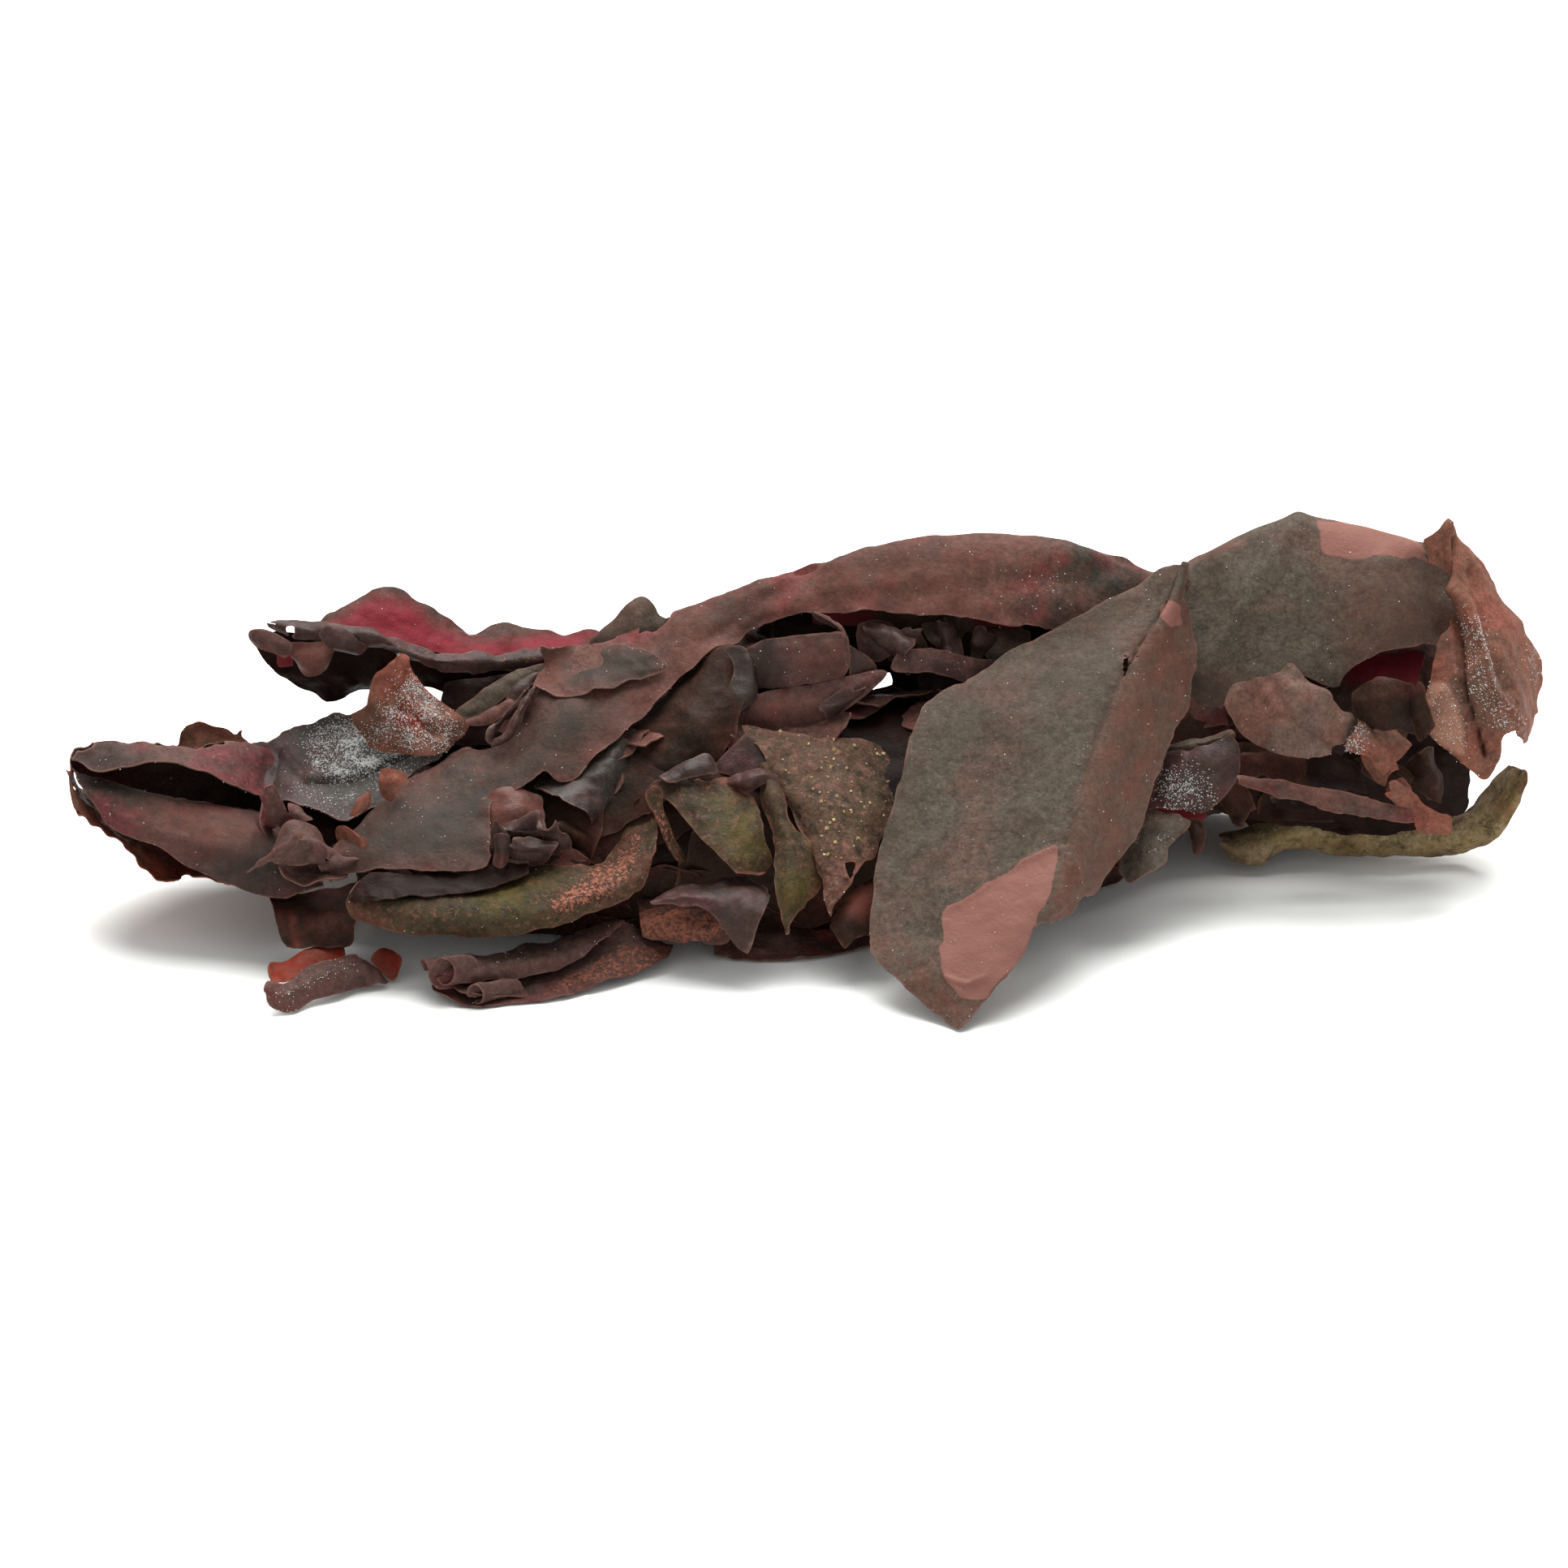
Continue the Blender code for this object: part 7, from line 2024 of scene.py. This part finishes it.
greyBottomFlap = {
    "net": [
        [(80, 110.3, -14), (80, 111, -16), (80, 112, -16.5)],
        [(86, 108.9, -12), (86.5, 110, -17), (86.5, 111.6, -18.5)],
        [(91, 108.7, -11.5), (91, 111, -17.5), (90.5, 116, -20.5)],
        [(94.8, 109.5, -12), (94.5, 111.5, -17), (92.3, 117.8, -21.5)],
    ],
    "step": 0.34, "seed": 41,
}
layPiece("greyBottomFlap", greyBottomFlap, "paintedShadeAndTint", "wine", "grey_bottom_flap")

crustedFold = {
    "net": [
        [(78.5, 111, -8), (79, 113, -12), (79, 115.5, -13.5)], [(84, 110, -6), (84, 113, -13), (84, 116.4, -15.5)],
        [(90, 110, -5), (90, 113, -12), (90, 116.5, -14.5)],
    ],
    "crust": [([(780, 1110), (890, 1120), (890, 1165), (790, 1160)], 12, 0.95)],
    "step": 0.34, "seed": 42,
}
layPiece("crustedFold", crustedFold, "wine", "wine", "crusted_fold")

redCorner = {
    "net": [
        [(108, 107.5, -7), (108.5, 111, -12.5), (108.5, 115.5, -16)],
        [(104.8, 110.5, -13), (105, 112.5, -16), (105.5, 115.5, -18)],
        [(102.6, 114, -15), (102.8, 115, -18), (104, 117.5, -20)],
    ],
    "warm": [([(1040, 1095), (1075, 1085), (1075, 1130), (1045, 1130)], 12, 0.9)],
    "step": 0.34, "seed": 43,
}
layPiece("redCorner", redCorner, "umber", "wine", "red_corner")
print("front fronds laid")

# fronds of the back

backFronds = {
    "backUpperBlade": {
        "node": "back_upper_blade", "finish": "wine", "seed": 51,
        "net": [
            [(103, 26, 31), (102.5, 28, 29), (101.5, 29.5, 26.5)], [(92, 24, 30), (92, 29.5, 25), (91, 32, 18.5)],
            [(80, 22, 28.5), (80, 28, 23), (78.5, 31, 15.5)], [(69, 19, 24.5), (69, 25, 19), (67.5, 27.5, 12.5)],
            [(59, 16, 18.5), (58.5, 20, 15.5), (58, 22, 12)],
        ],
    },
    "backLongBlade": {
        "node": "back_long_blade", "finish": "taupe", "seed": 52,
        "net": [
            [(153, 25.5, 31), (152.5, 28, 29.5), (151.5, 30, 27)],
            [(139, 24, 30), (137.5, 30.5, 24.5), (135.5, 33, 17.5)], [(124, 24, 27), (122, 31, 20), (120, 33.5, 11)],
            [(107.5, 24.5, 16), (106, 30.5, 12), (104, 33, 5.5)], [(90, 24, 18), (89, 28.5, 11), (88, 31, 3)],
            [(75, 22, 15), (74.5, 26.5, 8.5), (74, 28.5, 2)], [(61, 20, 9), (61, 22.5, 6), (61, 24, 3)],
        ],
    },
    "backRightBlade": {
        "node": "back_right_blade", "finish": "wine", "seed": 53,
        "net": [
            [(146, 25.5, 26), (146, 28.5, 22), (147, 30.5, 17)], [(156, 26.5, 31), (156, 32.5, 24), (157, 33.3, 15)],
            [(166, 26, 30), (167, 32.5, 23), (168, 32.5, 12)], [(175, 25.5, 27.5), (176.5, 30.5, 21), (178, 30, 12)],
            [(182, 25, 23), (183, 27, 18.5), (183.5, 27, 14.5)],
            [(187, 24, 18.5), (187.2, 24.5, 17.5), (187.3, 24.8, 16.5)],
        ],
    },
    "backLowBlade": {
        "node": "back_low_blade", "finish": "mauve", "seed": 54,
        "net": [
            [(177, 25.5, 10.5), (177.2, 26.5, 9), (177, 27.5, 7)], [(164, 25.5, 11), (164, 29, 7.5), (164, 30.5, 3)],
            [(150, 25.5, 12), (150, 30, 7), (150, 32, 1.2)], [(136, 25.5, 10), (136, 29.5, 5.5), (135, 32, 0.8)],
            [(124, 24, 6.5), (123, 27.5, 4), (122, 30, 1.5)], [(114, 23, 4), (114, 24.5, 3), (114, 26, 2)],
        ],
    },
    "backLeftBlade": {
        "node": "back_left_blade", "finish": "wine", "seed": 55,
        "net": [
            [(66, 16, 14), (66, 21, 9), (66, 23, 3)], [(54, 13, 15), (54, 19.5, 10), (54, 22, 3)],
            [(41, 11, 15), (41, 17, 11), (40, 20, 5)], [(28, 10.5, 15), (28, 14, 11), (27, 16, 7)],
            [(17, 9.5, 14), (17, 11, 12.5), (17, 12, 11)],
        ],
    },
}
for name, v in backFronds.items():
    v = {"place": inSpace, "broad": 0.9, "crumple": 0.5, "wrinkle": 0.32, "rag": 0.9, "frill": 1.1, **v}
    layPiece(name, v, v["finish"], "wine", v["node"])

# the tangle: a crumpled core, near black as painted shade, with shreds and small fronds on it

tangle = {
    "stations": (  # across, depth of the middle, half depth, height of the middle, half height
        (44, 2, 2, 8, 2.5), (52, 4, 9, 7, 8), (66, 7, 14, 7, 12.5),
        (84, 9.5, 16.5, 8, 15), (104, 10.5, 16.5, 8, 14.5), (126, 12.5, 16, 9, 15),
        (138, 17, 12.5, 12, 12.5), (148, 21, 8, 17, 9.5), (162, 22, 8.5, 13, 11),
        (172, 22.5, 5, 15, 6), (176, 22.5, 1.5, 16, 2),
    ),
    "step": 1,
    "crumple": 0.9,
}


def onCore(across, angle, out):  # a point of the core's surface, moved outwards
    table = np.array(tangle["stations"])
    across = np.clip(np.asarray(across, float), table[0, 0], table[-1, 0])
    depth, halfDepth, height, halfHeight = (np.interp(across, table[:, 0], table[:, c]) for c in range(1, 5))
    return np.stack(
        [across, depth + (halfDepth + out) * np.cos(angle), height + (halfHeight + out) * np.sin(angle)], -1
    )


def layCore():
    first, last = tangle["stations"][0][0], tangle["stations"][-1][0]
    sides, ribs = 90, 140
    across = np.linspace(first, last, ribs + 1)
    angle = np.linspace(0, 2 * math.pi, sides + 1)
    spots, turn = np.meshgrid(across, angle, indexing="ij")
    points = inSpace(onCore(spots, turn, -0.6))
    closing = np.clip(np.minimum(spots - first, last - spots) / 3.0, 0, 1) ** 0.5
    middle = points.mean(axis=1, keepdims=True)
    points = middle + (points - middle) * closing[..., None]
    ball = points.copy()
    ball[:, -1] = ball[:, 0]
    bumps = tangle["crumple"] * (softNoise(ball, 5.0, 61) + 0.5 * (1 - 2 * np.abs(softNoise(ball, 3.0, 62))))
    out = (ball - middle) / np.maximum(np.linalg.norm(ball - middle, axis=2, keepdims=True), 1e-6)
    points = ball + out * bumps[..., None] * closing[..., None]
    points[..., 2] = np.maximum(points[..., 2], 0.0)
    bpy.ops.mesh.primitive_grid_add(x_subdivisions=sides, y_subdivisions=ribs, size=2)
    obj = bpy.context.object
    obj.data.vertices.foreach_set("co", (points * mm).ravel())
    writeMasks(obj, points, np.full(points.shape[:-1], tearing["deepestRun"]), {"seed": 1})
    bpy.ops.object.mode_set(mode="EDIT")
    bpy.ops.mesh.select_all(action="SELECT")
    bpy.ops.mesh.remove_doubles(threshold=0.00001)
    bpy.ops.mesh.normals_make_consistent(inside=False)
    bpy.ops.object.mode_set(mode="OBJECT")
    bpy.ops.object.shade_smooth()
    return obj


def strayNet(random, across, angle, long, wide, heading, lift):
    # a small frond that follows the core, its ends and sides lifting off it
    table = np.array(tangle["stations"])
    round = 0.5 * (np.interp(across, table[:, 0], table[:, 2]) + np.interp(across, table[:, 0], table[:, 4]))
    rows = []
    for s in np.linspace(-1, 1, 5):
        row = []
        for t in np.linspace(-1, 1, 4):
            along, aside = s * long / 2, t * wide / 2 * (1.0 - 0.45 * abs(s) ** 1.5)
            da = along * math.cos(heading) - aside * math.sin(heading)
            dr = along * math.sin(heading) + aside * math.cos(heading)
            out = lift * (0.25 + 0.75 * s * s + 0.5 * t * t) * random.uniform(0.4, 1.3)
            row.append(onCore(across + da, angle + dr / max(round, 4.0), out))
        rows.append(row)
    return np.array(rows)


hollow = (98, 121)  # across, left open in front of the core


def layStrays(name, count, seed, region, sizes, finish, extra=()):
    random = np.random.default_rng(seed)
    sheets = []
    for k in range(count):
        lowA, highA, lowTurn, highTurn = region
        across = lowA + (highA - lowA) * (k + random.uniform(0.0, 1.0)) / count
        angle = math.radians(random.uniform(lowTurn, highTurn))
        if hollow[0] < across < hollow[1] and math.cos(angle) < 0.2:
            continue
        long, wide = random.uniform(*sizes["long"]), random.uniform(*sizes["wide"])
        heading = random.uniform(-0.9, 0.9)
        net = strayNet(random, across, angle, long, wide, heading, random.uniform(*sizes["lift"]))
        v = {"net": net, "place": inSpace, "step": 0.75, "rag": 0.8, "frill": 0.9, "broad": 0.7, "crumple": 0.3,
             "seed": seed * 100 + k}
        sheets.append(laySheet(name, v))
    return makePiece(name, sheets, finish, "wine", *extra)


# the core is near black: painted shade inside the bundle
makePiece("paintedShadeCore", [layCore()], "dark", "wine", "tangle")
strays = {
    # region: across from, to, and the turn round the core (0 back, 90 top, 180 front, 270 under)
    "frontShreds": (34, 71, (50, 170, 120, 235), {"long": (16, 34), "wide": (9, 17), "lift": (0.3, 1.6)}, "umber"),
    "topShreds": (16, 72, (56, 160, 60, 125), {"long": (16, 30), "wide": (9, 15), "lift": (0.4, 2)}, "wine"),
    "backShreds": (44, 73, (50, 170, -50, 60), {"long": (16, 36), "wide": (9, 18), "lift": (0.5, 3.2)}, "wine"),
    "backPieces": (22, 74, (54, 168, -45, 55), {"long": (16, 30), "wide": (8, 15), "lift": (1.5, 3.8)}, "mauve"),
    "underFronds": (40, 75, (52, 166, -125, -55), {"long": (22, 40), "wide": (12, 20), "lift": (0, 0.8)}, "mauve"),
}
for name, (count, seed, region, sizes, finish) in strays.items():
    layStrays(name, count, seed, region, sizes, finish)

tangleFronds = {
    "raggedFrond": {
        "finish": "brick", "seed": 81, "rag": 0.7, "frill": 0.7, "step": 0.32,
        "net": [
            [(8, 92.5, 3), (8.3, 94, 1), (8.8, 96, 0)], [(9.5, 96.5, 3), (9.2, 98.5, -1.5), (9.8, 100.2, -3)],
            [(13.5, 99, 6), (13, 101.5, -2), (13, 103.4, -5)], [(19.5, 102, 8), (19, 105, -2), (18.5, 107, -6.5)],
            [(26, 104, 8), (25, 107, -2), (24.5, 108.8, -7)], [(40, 103, 6), (38, 107, -1), (36, 109.5, -8)],
        ],
        "outline": [
            (78, 925), (84, 930), (86, 940), (82, 952), (81, 968), (90, 984), (97, 1000), (105, 1008), (110, 1020),
            (121, 1022), (129, 1035), (146, 1042), (153, 1053), (168, 1062), (180, 1066), (190, 1076), (214, 1082),
            (231, 1072), (260, 1082), (300, 1092), (400, 1080), (400, 1020), (120, 960), (100, 930), (90, 918),
        ],
        "holes": [
            [(89, 925), (95, 926), (92, 932)], [(85, 943), (90, 944), (88, 950)], [(88, 968), (95, 970), (92, 977)],
        ],
        "warm": [([(180, 1055), (240, 1055), (230, 1085), (180, 1080)], 10, 0.8)],
    },
    "floorStrip": {
        "finish": "wine", "seed": 82,
        "net": [
            [(87, 112.5, 0), (88, 116, -8.5), (88, 118, -12.3)], [(96, 112, 0), (96, 116, -8.5), (96, 118.5, -13.2)],
            [(104, 112, 1), (104, 115.5, -7), (104, 117.5, -11)], [(112, 110, 3), (111, 112.5, -3), (110, 115, -7)],
        ],
    },
    "lowerGrey": {
        "finish": "taupe", "seed": 83, "step": 0.32, "frill": 0.7,
        "net": [
            [(150, 96, 5), (149, 99, 0), (146.5, 103, -2.5)], [(144, 96.5, 5), (143, 102, -2), (142.5, 106.3, -6)],
            [(139.5, 98.5, 4), (139, 104, -2.5), (138.8, 108, -6)],
        ],
        "outline": [
            (1390, 1000), (1445, 1003), (1470, 1010), (1462, 1025), (1441, 1040), (1439, 1060), (1430, 1068),
            (1412, 1080), (1393, 1087), (1370, 1060),
        ],
        "salt": [([(1400, 1010), (1465, 1008), (1440, 1045), (1400, 1060)], 14, 0.8)],
    },
    # two near-black folds of painted shade inside the middle
    "innerFoldLeft": {
        "finish": "dark", "seed": 84,
        "net": [
            [(94, 79, 17), (100, 78.8, 17), (106.3, 78, 17.5)],
            [(94, 84.5, 14.5), (100, 84.5, 13.5), (106, 82, 14.5)], [(94, 90.5, 13), (100, 91, 11), (106, 91.5, 10)],
        ],
    },
    "innerFoldRight": {
        "finish": "dark", "seed": 85,
        "net": [
            [(112.5, 77.5, 17.5), (118, 77.5, 17), (125, 79, 17)],
            [(113, 82, 15.5), (118, 82.5, 15), (125, 84, 14.5)], [(113.5, 90, 12), (119, 90.5, 10.5), (125, 91, 9.5)],
        ],
    },
}
for name, v in tangleFronds.items():
    layPiece(name, v, v["finish"], "wine")
print("tangle laid")

# salt grains and specks


def surfaceSpots(names):  # places, outward directions and masks of the named pieces' points
    found = []
    for obj in pieces:
        if obj.name not in names:
            continue
        count = len(obj.data.vertices)
        place, out, salt = np.empty(count * 3), np.empty(count * 3), np.empty(count)
        obj.data.vertices.foreach_get("co", place)
        obj.data.vertices.foreach_get("normal", out)
        obj.data.attributes["salt"].data.foreach_get("value", salt)
        found.append(np.column_stack([place.reshape(-1, 3), out.reshape(-1, 3), salt]))
    return np.concatenate(found)


def scatterGrains(name, v, finish, slot):
    random = np.random.default_rng(v["seed"])
    spots = surfaceSpots(v["on"])
    facing = spots[:, 3:6] @ towardsViewer
    weight = (v["everywhere"] + v["onSalt"] * spots[:, 6] ** 2) * np.clip(0.35 + facing, 0, None)
    if "within" in v:
        weight = weight * (insideLoop(inPicture(spots[:, :3] / mm), v["within"]) > 0)
    chosen = spots[random.choice(len(spots), v["count"], p=weight / weight.sum())]
    size = random.uniform(*v["size"], (v["count"], 1, 1)) * mm
    bpy.ops.mesh.primitive_cube_add(size=1)
    cube = bpy.context.object
    corners = np.array([vert.co for vert in cube.data.vertices])
    sides = [tuple(face.vertices) for face in cube.data.polygons]
    bpy.data.objects.remove(cube)
    spin, _ = np.linalg.qr(random.normal(size=(v["count"], 3, 3)))
    spin[np.linalg.det(spin) < 0, :, 0] *= -1
    stretch = random.uniform(0.6, 1.3, (v["count"], 1, 3))
    grains = np.einsum("nij,nkj->nki", spin, corners[None] * stretch) * size
    slide = random.normal(size=(v["count"], 3)) * 0.2 * mm
    slide -= (slide * chosen[:, 3:6]).sum(1, keepdims=True) * chosen[:, 3:6]
    grains += (chosen[:, :3] + slide + chosen[:, 3:6] * 0.02 * mm)[:, None]
    grains[..., 2] = np.maximum(grains[..., 2], 0.0)
    mesh = bpy.data.meshes.new(name)
    faces = [tuple(corner + 8 * k for corner in side) for k in range(v["count"]) for side in sides]
    mesh.from_pydata(grains.reshape(-1, 3).tolist(), [], faces)
    obj = bpy.data.objects.new(name, mesh)
    bpy.context.scene.collection.objects.link(obj)
    deselectAll()
    obj.select_set(True)
    makePiece(name, [obj], finish, slot)


frontPieces = [
    "frontBlade", "archBlade", "endBlade", "ridgeBlade", "pinkLobe", "leftScoop", "redTipFlake", "upperLeftBlade",
    "saltedBlade", "bottomRoll", "bottomCurl", "oliveTongue", "oliveTriangle", "rightFlap", "hoodCurl", "longBand",
    "rightGreyFrond", "rightFlakeUpper", "rightFlakeLower", "backUpperBlade", "backLongBlade", "backRightBlade",
    "backLeftBlade", "backLowBlade",
]
saltGrains = {"on": frontPieces, "count": 8000, "size": (0.035, 0.11), "everywhere": 0.003, "onSalt": 1, "seed": 91}
scatterGrains("saltGrains", saltGrains, "salt", "taupe")
yellowSpecks = {
    "on": ["oliveTriangle"], "count": 60, "size": (0.14, 0.36), "everywhere": 1, "onSalt": 0, "seed": 92,
    "within": [(950, 902), (1040, 910), (1112, 938), (1090, 1010), (1020, 1060), (985, 1000)],
}
scatterGrains("yellowSpecks", yellowSpecks, "yellow", "olive")
print("salt scattered")

# floor, light and camera

studio = {"floor": (0.9, 0.91, 0.885), "sky": 0.72, "key": 24}
bpy.ops.mesh.primitive_plane_add(size=4.0, location=(0, 0, -0.0003))
floor = bpy.context.object
floor.name = "floor"
floorFinish = bpy.data.materials.new("paperFloor")
floorFinish.use_nodes = True
floorFinish.node_tree.nodes["Principled BSDF"].inputs["Base Color"].default_value = rgba(studio["floor"])
floorFinish.node_tree.nodes["Principled BSDF"].inputs["Roughness"].default_value = 0.9
floorFinish.node_tree.nodes["Principled BSDF"].inputs["Specular IOR Level"].default_value = 0.1
floor.data.materials.append(floorFinish)
floor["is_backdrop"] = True

sky = bpy.context.scene.world or bpy.data.worlds.new("sky")
bpy.context.scene.world = sky
sky.use_nodes = True
skyLight = sky.node_tree.nodes.get("Background") or sky.node_tree.nodes.new("ShaderNodeBackground")
skyLight.inputs[0].default_value = (1, 1, 1, 1)
skyLight.inputs[1].default_value = studio["sky"]


def softLight(name, place, size, power):
    bpy.ops.object.light_add(type="AREA", location=place)
    lamp = bpy.context.object
    lamp.name = name
    lamp.data.shape = "DISK"
    lamp.data.size = size
    lamp.data.energy = power
    lamp.rotation_euler = (-lamp.location).to_track_quat("-Z", "Y").to_euler()


softLight("keyLight", (0.06, 0.38, 0.88), 1.1, studio["key"])

bpy.ops.object.camera_add()
camera = bpy.context.object
camera.data.type = "ORTHO"
camera.data.ortho_scale = frontView["width"]
across, depth, up = frontView["aim"]
aim = np.array([across, depth, 0.0]) + up * np.array([0.0, sinTilt, cosTilt])
camera.location = aim + towardsViewer * 1.5
camera.rotation_euler = (math.radians(90 - frontView["tilt"]), 0, 0)
camera.data.clip_end = 10.0
bpy.context.scene.camera = camera
bpy.context.scene.view_settings.view_transform = "Standard"
bpy.context.scene.view_settings.look = "None"

sizes = {"cad": [list(corner) for corner in cadBox], "scene": [list(corner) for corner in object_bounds()]}
print("sizes", sizes)
